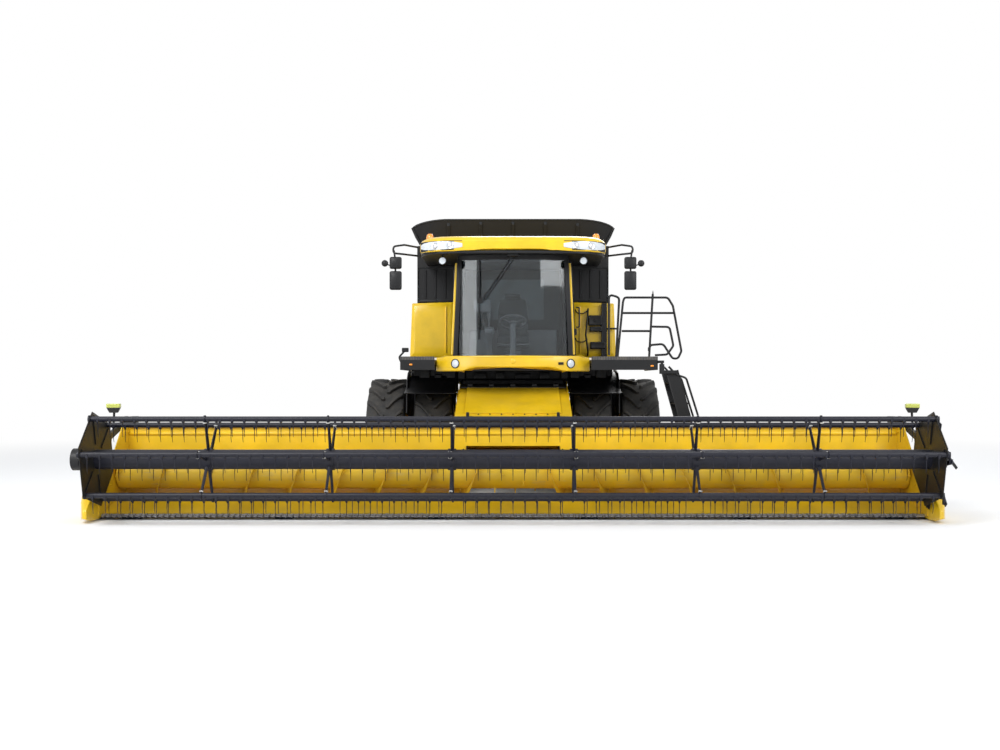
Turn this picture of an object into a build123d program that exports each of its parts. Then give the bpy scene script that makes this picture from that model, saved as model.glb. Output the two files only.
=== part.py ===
from build123d import *
import os
from math import atan2, cos, degrees, hypot, pi, radians, sin, sqrt

# A combine harvester with a wide grain header, standing with the header on the ground.
# Millimetres. +Z up, the machine drives towards -Y, +X is the machine's left side.
# Y = 0 is the front axle while modelling; at the end everything is moved along Y
# so that the origin lies on the ground under the middle of the whole machine.

# Running and seating clearances
BEARING_GAP = 0.3
SEAT_GAP = 0.3
MOVING_GAP = 5.0

# Front wheels: duals on one hub
FRONT_TYRE_R = 920.0
FRONT_TYRE_W = 620.0
FRONT_RIM_R = 483.0
FRONT_LUGS = 18
INNER_WHEEL_X = 1262.0
OUTER_WHEEL_X = 2017.0
FRONT_SPINDLE_R = 90.0
FRONT_HUB_R = 150.0
FRONT_HUB_END = 110.0
FRONT_HUB_CAP = 40.0

# Rear wheels, steered
WHEELBASE = 3750.0
REAR_TYRE_R = 745.0
REAR_TYRE_W = 590.0
REAR_RIM_R = 356.0
REAR_LUGS = 18
REAR_WHEEL_X = 1450.0
KINGPIN_X = 1080.0
KINGPIN_R = 45.0
REAR_SPINDLE_R = 60.0
REAR_HUB_R = 110.0
REAR_HUB_END = 130.0
REAR_HUB_CAP = 35.0
AXLE_EYE_R = 95.0
AXLE_EYE_H = 160.0
KNUCKLE_PLATE = 50.0
STEER_ARM = 220.0
STEER_ARM_T = 30.0
KNUCKLE_WEB = 40.0
KNUCKLE_D = 80.0
REAR_BEAM_D = 85.0
TIE_ROD_R = 26.0
TIE_BALL_R = 24.0
TIE_BALL_H = 14.0
STEER_BARREL_R = 48.0
STEER_BARREL_X = 330.0

# Tyres and rims
LUG_H = 50.0
LUG_W = 52.0
LUG_REACH = 0.86
LUG_START = 12.0
SHOULDER = 30.0
BEAD_H = 90.0
RIM_WALL = 20.0
RIM_SIDE = 25.0
DISC_T = 22.0
DISH = 22.0
FRONT_DISC = 70.0
REAR_DISC = 60.0

# Chassis
BODY_X = 770.0
SILL_W = 100.0
SILL_Z0 = 1070.0
SILL_H = 180.0
SILL_Y0 = -560.0
AXLE_BEAM_Z0 = 790.0
AXLE_BEAM_Z1 = 1050.0
AXLE_BEAM_Y = 130.0
FRONT_DRIVE_X = 930.0
FRONT_DRIVE_R = 140.0
FRONT_DRIVE_L = 160.0
BODY_TOP_Z = 2150.0
BODY_FRONT_Y = -360.0
BODY_REAR_Y = 4300.0
BODY_TAIL_Z = 1560.0
TAIL_TIE_Z = 1500.0
BODY_BELLY_Z = 640.0
TAIL_BEAM_H = 140.0
FRAME_REAR_Y = 4400.0

# Feeder house
FEEDER_PIVOT_Y = -640.0
FEEDER_PIVOT_Z = 1560.0
FEEDER_PIN_R = 60.0
FEEDER_ARC_R = 262.0
FEEDER_X = 830.0
FEEDER_WALL = 24.0
FEEDER_FRONT_Y = -2430.0
FEEDER_FRONT_Z0 = 400.0
FEEDER_FRONT_Z1 = 1290.0
FEEDER_RING = 60.0
FEEDER_RIB = 14.0
DRUM_Y = -1950.0
DRUM_Z = 880.0
DRUM_R = 60.0
BRACKET_T = 30.0

# Lift cylinders of the feeder house
LIFT_X = 600.0
LIFT_BASE_Y = -200.0
LIFT_BASE_Z = 700.0
LIFT_EYE_Y = -1700.0
LIFT_EYE_Z = 600.0
LIFT_BARREL_R = 55.0
LIFT_ROD_R = 30.0
LIFT_PIN_R = 25.0
LIFT_EYE_DRIFT = 12.0
LIFT_FORK = 62.0
LIFT_LUG_GAP = 45.0

# Header
HEADER_X = 5350.0
SHEET_T = 15.0
DIVIDER_X = 5560.0
DIVIDER_TIP_Y = -4250.0
DIVIDER_TOP_Z = 610.0
KNIFE_Y = -3800.0
GUARD_TIP_Y = -3885.0
GUARD_TOP_Z = 80.0
GUARD_PITCH = 76.2
BACK_Y = -2745.0
BACK_TOP_Z = 1180.0
BACK_BOTTOM_Z = 150.0
BEAM_D = 145.0
BEAM_H = 200.0
HEADER_OPENING_X = 640.0
HEADER_OPENING_Z0 = 230.0
HEADER_OPENING_Z1 = 900.0
AUGER_Y = -3080.0
AUGER_Z = 545.0
AUGER_TUBE_R = 205.0
AUGER_FLIGHT_R = 305.0
AUGER_PITCH = 600.0
FLIGHT_T = 8.0
FLIGHT_STEPS = 10
TROUGH_R = 335.0
TROUGH_FROM = -110.0
TROUGH_TO = -10.0
SKIDS_X = (1000.0, 3000.0, 5000.0)
SKID_W = 220.0
POSTS_X = (5310.0, 3600.0, 1900.0, 890.0)
POST_W = 80.0
AUGER_SHAFT_R = 60.0
MARKER_Z = 1400.0

# Reel
REEL_Y = -4150.0
REEL_Z = 810.0
REEL_BAT_R = 550.0
REEL_BATS = 6
REEL_PHASE = 10.0
REEL_TUBE_R = 125.0
END_PLATE_R = 615.0
END_PLATE_T = 8.0
END_PLATE_IN = 28.0
REEL_SHAFT_R = 45.0
REEL_X = 5290.0
BAT_TUBE_R = 34.0
TINE_LENGTH = 225.0
TINE_PITCH = 152.4
TINE_W = 9.0
SPIDER_PITCH = 1540.0
SPIDER_COUNT = 6
SPIDER_T = 20.0
SPOKE_W = 44.0
EYE_BLOCK = 96.0
CRANK = 90.0
CRANK_T = 18.0
CRANK_PIN_R = 15.0
CONTROL_T = 15.0
CONTROL_HUB_R = 190.0
CONTROL_BORE_R = 150.0
ARM_X = 5420.0
ARM_T = 40.0
ARM_H = 90.0
ARM_PIVOT_Y = -2650.0
ARM_PIVOT_Z = 1250.0
ARM_PIN_R = 30.0
ARM_BOSS_R = 62.0
ARM_TIP = 130.0
ARM_EAR_T = 12.0
ARM_EAR_GAP = 16.0
CARRIAGE_WALL = 14.0
CARRIAGE_L = 260.0
DRIVE_COVER_R = 140.0
REEL_SLIDE = 200.0
REEL_LIFT_BASE_Y = -2960.0
REEL_LIFT_BASE_Z = 640.0
REEL_LIFT_EYE_Y = -3350.0
REEL_LIFT_EYE_Z = 930.0
REEL_BARREL_R = 24.0
REEL_ROD_R = 13.0
REEL_PIN_R = 12.0
REEL_EYE_DRIFT = 9.0

# Cab
CAB_X = 900.0
CAB_FLOOR_Z0 = 1960.0
CAB_FLOOR_Z1 = 2080.0
CAB_REAR_Y = -150.0
CAB_CORNER_Y = -1500.0
CAB_NOSE = 260.0
CAB_TOP_Z = 3670.0
CAB_TOP_X = 830.0
PILLAR_W = 70.0
GLASS_T = 12.0
B_PILLAR_Y = -620.0
DOOR_T = 45.0
DOOR_GAP = 8.0
DOOR_BOTTOM_Z = 2195.0
DOOR_TOP_Z = 3600.0
DOOR_HINGE_BACK = 20.0
DOOR_PIN_R = 10.0
DOOR_HINGES = (2500.0, 3250.0)
ROOF_X = 1405.0
ROOF_FRONT_Y = -2000.0
ROOF_H = 270.0
ROOF_EDGE = 60.0
ROOF_CORNER = 90.0
LAMP_POCKET = 40.0
LAMP_POD = (720.0, 1330.0, 3735.0, 3850.0)
WORK_LAMP = (1045.0, -1740.0, 3585.0)
WORK_LAMP_R = 60.0
BEACON = (1180.0, -1000.0)
BEACON_R = 55.0
BEACON_H = 130.0
BUMPER_X = 1160.0
BUMPER_T = 130.0
BUMPER_Z0 = 1950.0
BUMPER_Z1 = 2180.0
BUMPER_RISE = 50.0
BUMPER_WAIST_X = 640.0
MIRROR_X = (1640.0, 1860.0)
MIRROR_Y = (-1830.0, -1780.0)
MIRROR_STALK_X = 1740.0

# Decks, ladder and rails
DECK_Z = 2120.0
DECK_T = 60.0
DECK_FASCIA = 150.0
DECK_FRONT_Y = -1700.0
DECK_REAR_Y = -250.0
DECK_LEFT_X = 2156.0
DECK_RIGHT_X = 1680.0
DECK_STEP_Y = -1200.0
RAIL_R = 17.0
LADDER_TOP_X = 2370.0
LADDER_TOP_Z = 1950.0
LADDER_FOOT_X = 2780.0
LADDER_FOOT_Z = 450.0
LADDER_W = 500.0
LADDER_STEPS = 5
LADDER_HINGE_X = 2215.0
LADDER_HINGE_Y = -1700.0
LADDER_PIN_R = 20.0

# Grain tank and what stands on and behind it
TANK_X = 1560.0
TANK_FRONT_Y = -100.0
TANK_REAR_Y = 2500.0
TANK_SHOULDER_Z = 2700.0
TANK_TOP_Z = 3900.0
TANK_WALL = 40.0
TANK_RECESS_X = 1020.0
TANK_RECESS_Z = 3250.0
EXT_FOOT_X = 1420.0
EXT_TIP_X = 1640.0
EXT_TIP_Z = 4300.0
EXT_TOP_X = 1090.0
EXT_TOP_Z = 4440.0
EXT_WALL = 30.0
EXT_RIB = 25.0
TANK_RIB = 20.0
PANEL_T = 150.0
PANEL_INNER_X = 940.0
PANEL_OUTER_X = 1690.0
PANEL_Z0 = 2180.0
PANEL_Z1 = 3090.0
UNLOAD_X = 1300.0
UNLOAD_Y = 250.0
UNLOAD_Z = 3500.0
UNLOAD_R = 190.0
TURN_RING = 30.0
UNLOAD_END_Y = 5350.0
SPOUT_L = 430.0
HOOD_X = 1500.0
HOOD_Y0 = 2560.0
HOOD_Y1 = 4600.0
HOOD_TOP_Z = 3700.0
HOOD_SHELF_Z = 3230.0
HOOD_SHELF_X = 1000.0
HOOD_WALL = 40.0
EXHAUST = (500.0, 4200.0)
EXHAUST_R = 70.0
EXHAUST_H = 260.0
SADDLE_Y = 4300.0
SCREEN_R = 480.0
SCREEN_Y = 3300.0
SCREEN_Z = 3080.0
SCREEN_T = 60.0
SHIELD_X = 1600.0
SHIELD_T = 50.0
SHIELD_HINGE_Z = 2900.0
HINGE_ROD_R = 14.0
HINGE_RISE = 20.0
HINGE_Y = (300.0, 2200.0, 4400.0)
STRAW_X = 740.0
VANES = 8
VANE_T = 12.0
CHOPPER_Y1 = 5250.0


# Basic forms

def face_of(points):
    return make_face(Polyline(*[tuple(p) for p in points], close=True))


def prism_x(points, x0, x1):
    return extrude(Plane.YZ.offset(x0) * face_of(points), x1 - x0)


def prism_y(points, y0, y1):
    return extrude(Plane.XZ.offset(-y1) * face_of(points), y1 - y0)


def prism_z(points, z0, z1):
    return extrude(Plane.XY.offset(z0) * face_of(points), z1 - z0)


def pipe(points, r):
    """A round pipe with mitred bends through points."""
    start = Vector(*points[0])
    run = Vector(*points[1]) - start
    path = Polyline(*[tuple(p) for p in points])
    return sweep(Plane(origin=start, z_dir=run) * Circle(r), path=path, transition=Transition.RIGHT)


def block(x0, x1, y0, y1, z0, z1):
    size = (abs(x1 - x0), abs(y1 - y0), abs(z1 - z0))
    return Pos((x0 + x1) / 2, (y0 + y1) / 2, (z0 + z1) / 2) * Box(*size)


def bar(p, q, r):
    """A round bar of radius r from point p to point q."""
    start = Vector(*p)
    run = Vector(*q) - start
    return extrude(Plane(origin=start, z_dir=run) * Circle(r), run.length)


def flat_bar(p, q, width, depth, across=(1, 0, 0)):
    """A rectangular bar from p to q, width along across and depth square to it."""
    start = Vector(*p)
    run = Vector(*q) - start
    plane = Plane(origin=start, x_dir=Vector(*across), z_dir=run)
    return extrude(plane * Rectangle(width, depth), run.length)


def barrel_x(y, z, r, x0, x1):
    return bar((x0, y, z), (x1, y, z), r)


def join(*shapes):
    return Part() + [s for s in shapes]


def group(*shapes):
    return Compound([solid for s in shapes for solid in s.solids()])


def mirrored(shape):
    return mirror(shape, Plane.YZ)


def both(shape):
    return group(shape, mirrored(shape))


def side(shape, sign):
    return shape if sign > 0 else mirrored(shape)


def polar(y, z, r, angle):
    """A point (Y, Z) at radius r, with the angle from straight ahead, upwards."""
    return (y - r * cos(radians(angle)), z + r * sin(radians(angle)))


# Wheels

def tyre(x, y, radius, width, rim_r, lugs, hand):
    """A farm tyre: each half has one flat a lug, and the halves are turned by half a pitch."""
    pitch = 360.0 / lugs
    tread = width / 2 - SHOULDER
    body_r = radius - LUG_H
    half_span = LUG_REACH * body_r * sin(radians(pitch / 2))
    top = sqrt(radius ** 2 - half_span ** 2)
    tip = degrees(atan2(half_span, top))
    plan = [
        (LUG_START, -half_span), (LUG_START, -half_span + LUG_W),
        (tread - 2, half_span), (tread - 2, half_span - LUG_W),
    ]
    lug = extrude(Plane.XY.offset(body_r - LUG_H) * face_of(plan), top - body_r + LUG_H)
    bands = [
        extrude(Plane.YZ * RegularPolygon(body_r, lugs), tread),
        loft([
            Plane.YZ.offset(tread) * RegularPolygon(body_r, lugs),
            Plane.YZ.offset(width / 2) * RegularPolygon(rim_r + BEAD_H, lugs),
        ], ruled=True),
    ]
    bars = [Rot(180 + tip + n * pitch, 0, 0) * lug for n in range(lugs)]
    half = join(Rot(tip, 0, 0) * join(*bands), *bars)
    whole = join(half, Rot(pitch / 2, 0, 0) * mirrored(half)) - barrel_x(0, 0, rim_r, -width, width)
    if hand < 0:
        whole = mirrored(whole)
    return Pos(x, y, radius) * whole


def rim(x, disc_x, rim_r, width):
    """A wheel rim: barrel and side rings about the X axis, with a dished disc."""
    barrel = Pos(x, 0, 0) * Rot(0, 90, 0) * Cylinder(rim_r, width - 2 * RIM_SIDE)
    room = Pos(x, 0, 0) * Rot(0, 90, 0) * Cylinder(rim_r - RIM_WALL, width)
    edge = rim_r - RIM_WALL / 2
    front = disc_x + DISH
    back = front - DISC_T
    dish = [
        (front, 0), (front, edge / 2), (disc_x, edge), (disc_x - DISC_T, edge), (back, edge / 2), (back, 0),
    ]
    disc = revolve(Plane.XZ * face_of(dish), Axis.X)
    return join(barrel - room, disc)


def front_rims():
    """Both rims of the left front pair on one hub, at the spindle's height."""
    end = OUTER_WHEEL_X + FRONT_HUB_END
    hub = barrel_x(0, 0, FRONT_HUB_R, FRONT_DRIVE_X + MOVING_GAP, end)
    pair = [rim(x, x + FRONT_DISC, FRONT_RIM_R, FRONT_TYRE_W) for x in (INNER_WHEEL_X, OUTER_WHEEL_X)]
    bore = barrel_x(0, 0, FRONT_SPINDLE_R + BEARING_GAP, 0, end - FRONT_HUB_CAP)
    return Pos(0, 0, FRONT_TYRE_R) * (join(hub, *pair) - bore)


def front_tyres():
    pair = [
        tyre(x, 0, FRONT_TYRE_R, FRONT_TYRE_W, FRONT_RIM_R, FRONT_LUGS, 1)
        for x in (INNER_WHEEL_X, OUTER_WHEEL_X)
    ]
    return group(*pair)


def rear_rim():
    end = REAR_WHEEL_X + REAR_HUB_END
    start = KINGPIN_X + AXLE_EYE_R + MOVING_GAP + KNUCKLE_WEB + MOVING_GAP
    hub = barrel_x(0, 0, REAR_HUB_R, start, end)
    wheel = rim(REAR_WHEEL_X, REAR_WHEEL_X + REAR_DISC, REAR_RIM_R, REAR_TYRE_W)
    bore = barrel_x(0, 0, REAR_SPINDLE_R + BEARING_GAP, 0, end - REAR_HUB_CAP)
    return Pos(0, WHEELBASE, REAR_TYRE_R) * (join(hub, wheel) - bore)


def rear_tyre():
    return tyre(REAR_WHEEL_X, WHEELBASE, REAR_TYRE_R, REAR_TYRE_W, REAR_RIM_R, REAR_LUGS, 1)


# Axles and steering

def front_axle():
    """Beam with final drives, spindles, saddles under the sills and the lift cylinders' lugs."""
    beam = block(-FRONT_DRIVE_X, FRONT_DRIVE_X, -AXLE_BEAM_Y, AXLE_BEAM_Y, AXLE_BEAM_Z0, AXLE_BEAM_Z1)
    drive = barrel_x(0, FRONT_TYRE_R, FRONT_DRIVE_R, FRONT_DRIVE_X - FRONT_DRIVE_L, FRONT_DRIVE_X)
    saddle = block(BODY_X, BODY_X + SILL_W, -AXLE_BEAM_Y, AXLE_BEAM_Y, AXLE_BEAM_Z1, SILL_Z0)
    end = OUTER_WHEEL_X + FRONT_HUB_END - FRONT_HUB_CAP - MOVING_GAP
    spindle = barrel_x(0, FRONT_TYRE_R, FRONT_SPINDLE_R, FRONT_DRIVE_X, end)
    outline = [
        (-AXLE_BEAM_Y, AXLE_BEAM_Z0), (AXLE_BEAM_Y, AXLE_BEAM_Z0), (LIFT_BASE_Y + 60, LIFT_BASE_Z - 60),
        (LIFT_BASE_Y - 60, LIFT_BASE_Z - 60), (LIFT_BASE_Y - 60, LIFT_BASE_Z + 60),
    ]
    ears = [
        prism_x(outline, x, x + BRACKET_T)
        for x in (LIFT_X - LIFT_FORK - BRACKET_T, LIFT_X + LIFT_FORK)
    ]
    pin = barrel_x(LIFT_BASE_Y, LIFT_BASE_Z, LIFT_PIN_R, LIFT_X - LIFT_FORK, LIFT_X + LIFT_FORK)
    return join(beam, both(join(drive, saddle, spindle, *ears, pin)))


def rear_axle():
    """Beam with kingpin eyes, hung from the tail by a windowed post, and the steering cylinder's barrel."""
    z = REAR_TYRE_R
    front_y = WHEELBASE - REAR_BEAM_D
    rear_y = WHEELBASE + REAR_BEAM_D
    top = z + AXLE_EYE_H / 2
    beam = block(-KINGPIN_X, KINGPIN_X, front_y, rear_y, z - AXLE_EYE_H / 2, top)
    eye = bar((KINGPIN_X, WHEELBASE, z - AXLE_EYE_H / 2), (KINGPIN_X, WHEELBASE, top), AXLE_EYE_R)
    bore = bar((KINGPIN_X, WHEELBASE, 0), (KINGPIN_X, WHEELBASE, 2 * z), KINGPIN_R + BEARING_GAP)
    centre = prism_y([(-420, top), (420, top), (300, TAIL_TIE_Z), (-300, TAIL_TIE_Z)], front_y, rear_y)
    sill_z = top + 135
    head_z = TAIL_TIE_Z - 120
    window = prism_y([(-230, sill_z), (230, sill_z), (190, head_z), (-190, head_z)], front_y, rear_y)
    rod_y = WHEELBASE + STEER_ARM
    rod_z = tie_rod_z()
    barrel = barrel_x(rod_y, rod_z, STEER_BARREL_R, -STEER_BARREL_X, STEER_BARREL_X)
    barrel = barrel - barrel_x(rod_y, rod_z, TIE_ROD_R + BEARING_GAP, -KINGPIN_X, KINGPIN_X)
    hanger = block(180, 230, rear_y - 5, rod_y - TIE_ROD_R - 14, rod_z - 40, rod_z + 40)
    return join(join(beam, both(eye), centre) - both(bore) - window, barrel, both(hanger))


def knuckle():
    """Left steering knuckle: a C of two plates and a web, kingpin, spindle and arm."""
    z = REAR_TYRE_R
    y = WHEELBASE
    web_x = KINGPIN_X + AXLE_EYE_R + MOVING_GAP
    low = z - AXLE_EYE_H / 2 - MOVING_GAP - KNUCKLE_PLATE
    high = z + AXLE_EYE_H / 2 + MOVING_GAP
    top = high + STEER_ARM_T
    plates = [
        block(KINGPIN_X - 75, web_x + KNUCKLE_WEB, y - KNUCKLE_D, y + KNUCKLE_D, base, base + KNUCKLE_PLATE)
        for base in (low, high)
    ]
    web = block(web_x, web_x + KNUCKLE_WEB, y - KNUCKLE_D, y + KNUCKLE_D, low, high + KNUCKLE_PLATE)
    pin = bar((KINGPIN_X, y, low), (KINGPIN_X, y, high + KNUCKLE_PLATE), KINGPIN_R)
    spindle_end = REAR_WHEEL_X + REAR_HUB_END - REAR_HUB_CAP - MOVING_GAP
    spindle = barrel_x(y, z, REAR_SPINDLE_R, web_x + KNUCKLE_WEB, spindle_end)
    arm = block(KINGPIN_X - 60, KINGPIN_X + 60, y, y + STEER_ARM + 40, high, top)
    ball = bar((KINGPIN_X, y + STEER_ARM, top), (KINGPIN_X, y + STEER_ARM, top + TIE_BALL_H), TIE_BALL_R)
    return join(*plates, web, pin, spindle, arm, ball)


def tie_rod_z():
    top = REAR_TYRE_R + AXLE_EYE_H / 2 + MOVING_GAP + STEER_ARM_T
    return top + TIE_BALL_H + MOVING_GAP + TIE_ROD_R - 1


def tie_rod():
    end = KINGPIN_X + 30
    return barrel_x(WHEELBASE + STEER_ARM, tie_rod_z(), TIE_ROD_R, -end, end)


# Chassis and threshing body

def threshing_body():
    """The closed body between the sills, with its belly pan and tail."""
    outline = [
        (BODY_FRONT_Y, 1250), (BODY_FRONT_Y, CAB_FLOOR_Z0), (CAB_REAR_Y, CAB_FLOOR_Z0),
        (CAB_REAR_Y, BODY_TOP_Z), (BODY_REAR_Y, BODY_TOP_Z), (BODY_REAR_Y, BODY_TAIL_Z),
        (WHEELBASE - 800, BODY_TAIL_Z), (WHEELBASE - 1100, BODY_BELLY_Z), (700, BODY_BELLY_Z), (450, AXLE_BEAM_Z1),
        (-250, AXLE_BEAM_Z1),
    ]
    return prism_x(outline, -BODY_X, BODY_X)


def main_frame():
    """Sills along both sides with the feeder pivot plates at the front and the tail beams."""
    top = SILL_Z0 + SILL_H
    tail_top = BODY_TAIL_Z + TAIL_BEAM_H
    rise_y = WHEELBASE - 1250
    sill = prism_x(
        [(SILL_Y0, SILL_Z0), (rise_y, SILL_Z0), (WHEELBASE - 800, BODY_TAIL_Z), (FRAME_REAR_Y, BODY_TAIL_Z),
         (FRAME_REAR_Y, tail_top), (WHEELBASE - 900, tail_top), (rise_y - 100, top), (SILL_Y0, top)],
        BODY_X, BODY_X + SILL_W)
    inner = pivot_plate_x()
    plate = prism_x(
        [(FEEDER_PIVOT_Y - 90, FEEDER_PIVOT_Z + 90), (FEEDER_PIVOT_Y + 90, FEEDER_PIVOT_Z + 90),
         (BODY_FRONT_Y + 250, SILL_Z0), (SILL_Y0, SILL_Z0), (FEEDER_PIVOT_Y - 90, FEEDER_PIVOT_Z - 120)],
        inner, inner + BRACKET_T)
    hole = barrel_x(FEEDER_PIVOT_Y, FEEDER_PIVOT_Z, FEEDER_PIN_R + BEARING_GAP, inner - 50, inner + 100)
    edge = BODY_X + SILL_W
    tail = block(-BODY_X, BODY_X, BODY_REAR_Y, FRAME_REAR_Y, BODY_TAIL_Z, tail_top)
    tie = block(-edge, edge, WHEELBASE - REAR_BEAM_D, WHEELBASE + REAR_BEAM_D, TAIL_TIE_Z, BODY_TAIL_Z)
    return join(both(join(sill, plate) - hole), tail, tie)


# Feeder house and its lift

def pivot_plate_x():
    """Inner face of the plates that carry the feeder house."""
    return FEEDER_X + 2 * MOVING_GAP + 10


def feeder_profile(grow):
    """Side outline of the feeder house, its walls moved out by grow: round at the pivot, tapering to the front."""
    def rim_point(angle):
        r = FEEDER_ARC_R + grow
        return (FEEDER_PIVOT_Y + r * cos(radians(angle)), FEEDER_PIVOT_Z + r * sin(radians(angle)))

    low = (FEEDER_FRONT_Y, FEEDER_FRONT_Z0 - grow)
    high = (FEEDER_FRONT_Y, FEEDER_FRONT_Z1 + grow)
    under, behind, over = rim_point(-118), rim_point(-16), rim_point(86)
    return make_face([Line(low, under), ThreePointArc(under, behind, over), Line(over, high), Line(high, low)])


def feeder_form(grow, half_x):
    return extrude(Plane.YZ.offset(-half_x) * feeder_profile(grow), 2 * half_x)


def feeder_house():
    """Open box from the header to the body: walls, side ribs, pivot pin, front drum and the cylinders' lugs."""
    room_x = FEEDER_X - FEEDER_WALL
    shell = feeder_form(0, FEEDER_X)
    tunnel = feeder_form(-FEEDER_WALL, room_x)
    mouth = block(-room_x, room_x, FEEDER_FRONT_Y - 10, FEEDER_FRONT_Y + FEEDER_RING,
                  FEEDER_FRONT_Z0 + FEEDER_RING, FEEDER_FRONT_Z1 - FEEDER_RING)
    rear = block(-room_x, room_x, FEEDER_PIVOT_Y + 60, FEEDER_PIVOT_Y + 400,
                 FEEDER_PIVOT_Z - 130, FEEDER_PIVOT_Z + 150)
    ribs = []
    for n in range(4):
        y = FEEDER_FRONT_Y + 250 + 360 * n
        band = block(FEEDER_X, FEEDER_X + FEEDER_RIB, y, y + 40, 0, 3000)
        ribs.append(both(band & (Pos(FEEDER_RIB, 0, 0) * feeder_form(-FEEDER_WALL, FEEDER_X))))
    pin_x = pivot_plate_x() + BRACKET_T + 12
    pin = barrel_x(FEEDER_PIVOT_Y, FEEDER_PIVOT_Z, FEEDER_PIN_R, -pin_x, pin_x)
    lug_bore = barrel_x(LIFT_EYE_Y, LIFT_EYE_Z, LIFT_PIN_R + LIFT_EYE_DRIFT, -FEEDER_X, FEEDER_X)
    outline = [
        (LIFT_EYE_Y - 160, LIFT_EYE_Z + 230), (LIFT_EYE_Y + 160, LIFT_EYE_Z + 230),
        (LIFT_EYE_Y + 70, LIFT_EYE_Z - 65), (LIFT_EYE_Y - 70, LIFT_EYE_Z - 65),
    ]
    lugs = [
        both(prism_x(outline, x, x + BRACKET_T) - tunnel - lug_bore)
        for x in (LIFT_X - LIFT_LUG_GAP - BRACKET_T, LIFT_X + LIFT_LUG_GAP)
    ]
    drum = barrel_x(DRUM_Y, DRUM_Z, DRUM_R, -FEEDER_X, FEEDER_X)
    return join(shell - tunnel - mouth - rear, *ribs, pin, drum, *lugs)


def cylinder_pair(x, base, eye, barrel_r, rod_r, pin_r, eye_half):
    """Barrel and rod between two pins (Y, Z), as a pair of mirrored solids each."""
    run = hypot(eye[0] - base[0], eye[1] - base[1])
    uy = (eye[0] - base[0]) / run
    uz = (eye[1] - base[1]) / run

    def at(s):
        return (x, base[0] + uy * s, base[1] + uz * s)

    neck = run * 0.62
    eye_r = pin_r * 1.9
    hub = barrel_x(base[0], base[1], eye_r, x - eye_half, x + eye_half)
    hole = barrel_x(base[0], base[1], pin_r + BEARING_GAP, x - 2 * eye_half, x + 2 * eye_half)
    tube = bar(at(eye_r * 0.8), at(neck), barrel_r)
    bore = bar(at(eye_r * 0.8 + barrel_r), at(neck + 10), rod_r + BEARING_GAP)
    barrel = join(hub, tube) - hole - bore
    rod = bar(at(eye_r * 0.8 + barrel_r + 10), at(run - eye_r * 0.5), rod_r)
    end = barrel_x(eye[0], eye[1], eye_r, x - eye_half, x + eye_half)
    pin = barrel_x(eye[0], eye[1], pin_r, x - eye_half - 30, x + eye_half + 30)
    return both(barrel), both(join(rod, end, pin))


# Header

def sheet_line(grow, back_y):
    """The bent sheet's line as edges: floor, trough round the auger, back; moved out by grow."""
    def trough(angle):
        r = TROUGH_R + grow
        return (AUGER_Y + r * cos(radians(angle)), AUGER_Z + r * sin(radians(angle)))

    start = (KNIFE_Y + 80, GUARD_TOP_Z - grow)
    low, mid, high = trough(TROUGH_FROM), trough((TROUGH_FROM + TROUGH_TO) / 2), trough(TROUGH_TO)
    top = (back_y, BACK_TOP_Z)
    return start, top, [Line(start, low), ThreePointArc(low, mid, high), Line(high, top)]


def feed_opening(y0, y1):
    """The window in the header's back through which the crop goes to the feeder house."""
    return block(-HEADER_OPENING_X, HEADER_OPENING_X, y0, y1, HEADER_OPENING_Z0, HEADER_OPENING_Z1)


def header_shell():
    """Floor, auger trough and back sheet, as one bent sheet with the feeder opening."""
    start, top, inner = sheet_line(0, BACK_Y)
    under, behind, outer = sheet_line(SHEET_T, BACK_Y + SHEET_T)
    outline = make_face([*inner, Line(top, behind), *outer, Line(under, start)])
    sheet = extrude(Plane.YZ.offset(-HEADER_X) * outline, 2 * HEADER_X)
    return sheet - feed_opening(AUGER_Y + 150, BACK_Y + 200)


def header_frame():
    """Back beams, end posts, ring round the feeder opening and the skids."""
    y0 = BACK_Y + SHEET_T
    top = block(-HEADER_X, HEADER_X, y0, y0 + BEAM_D, BACK_TOP_Z - BEAM_H, BACK_TOP_Z)
    low = block(-HEADER_X, HEADER_X, y0, y0 + BEAM_D, BACK_BOTTOM_Z, BACK_BOTTOM_Z + 150)
    half = POST_W / 2
    posts = [both(block(x - half, x + half, y0, y0 + BEAM_D, BACK_BOTTOM_Z, BACK_TOP_Z)) for x in POSTS_X]
    ring_y1 = FEEDER_FRONT_Y - SEAT_GAP
    ring = block(-FEEDER_X, FEEDER_X, y0, ring_y1, 300, FEEDER_FRONT_Z1)
    window = feed_opening(y0 - 50, ring_y1 + 50)
    post = block(HEADER_X - POST_W, HEADER_X, y0, y0 + BEAM_D, BACK_TOP_Z, ARM_PIVOT_Z + 60)
    pin = barrel_x(ARM_PIVOT_Y, ARM_PIVOT_Z, ARM_PIN_R, HEADER_X, ARM_X + ARM_T / 2 + 25)
    outline = [(-3680, 0), (-3250, 0), (-3120, 60), (-3120, 160), (-3640, 160), (-3715, 30)]
    skin = header_skin()
    skids = [both(prism_x(outline, x - SKID_W / 2, x + SKID_W / 2) - skin) for x in SKIDS_X]
    return group(join(join(top, low, *posts, ring) - window, both(post), both(pin)), *skids)


def header_skin():
    """The room that the bent sheet takes, for what seats under it."""
    start, top, outer = sheet_line(SHEET_T, BACK_Y)
    high = (BACK_Y, 2 * BACK_TOP_Z)
    front = (start[0], 2 * BACK_TOP_Z)
    room = make_face([*outer, Line(top, high), Line(high, front), Line(front, start)])
    return extrude(Plane.YZ.offset(-HEADER_X) * room, 2 * HEADER_X)


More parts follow.
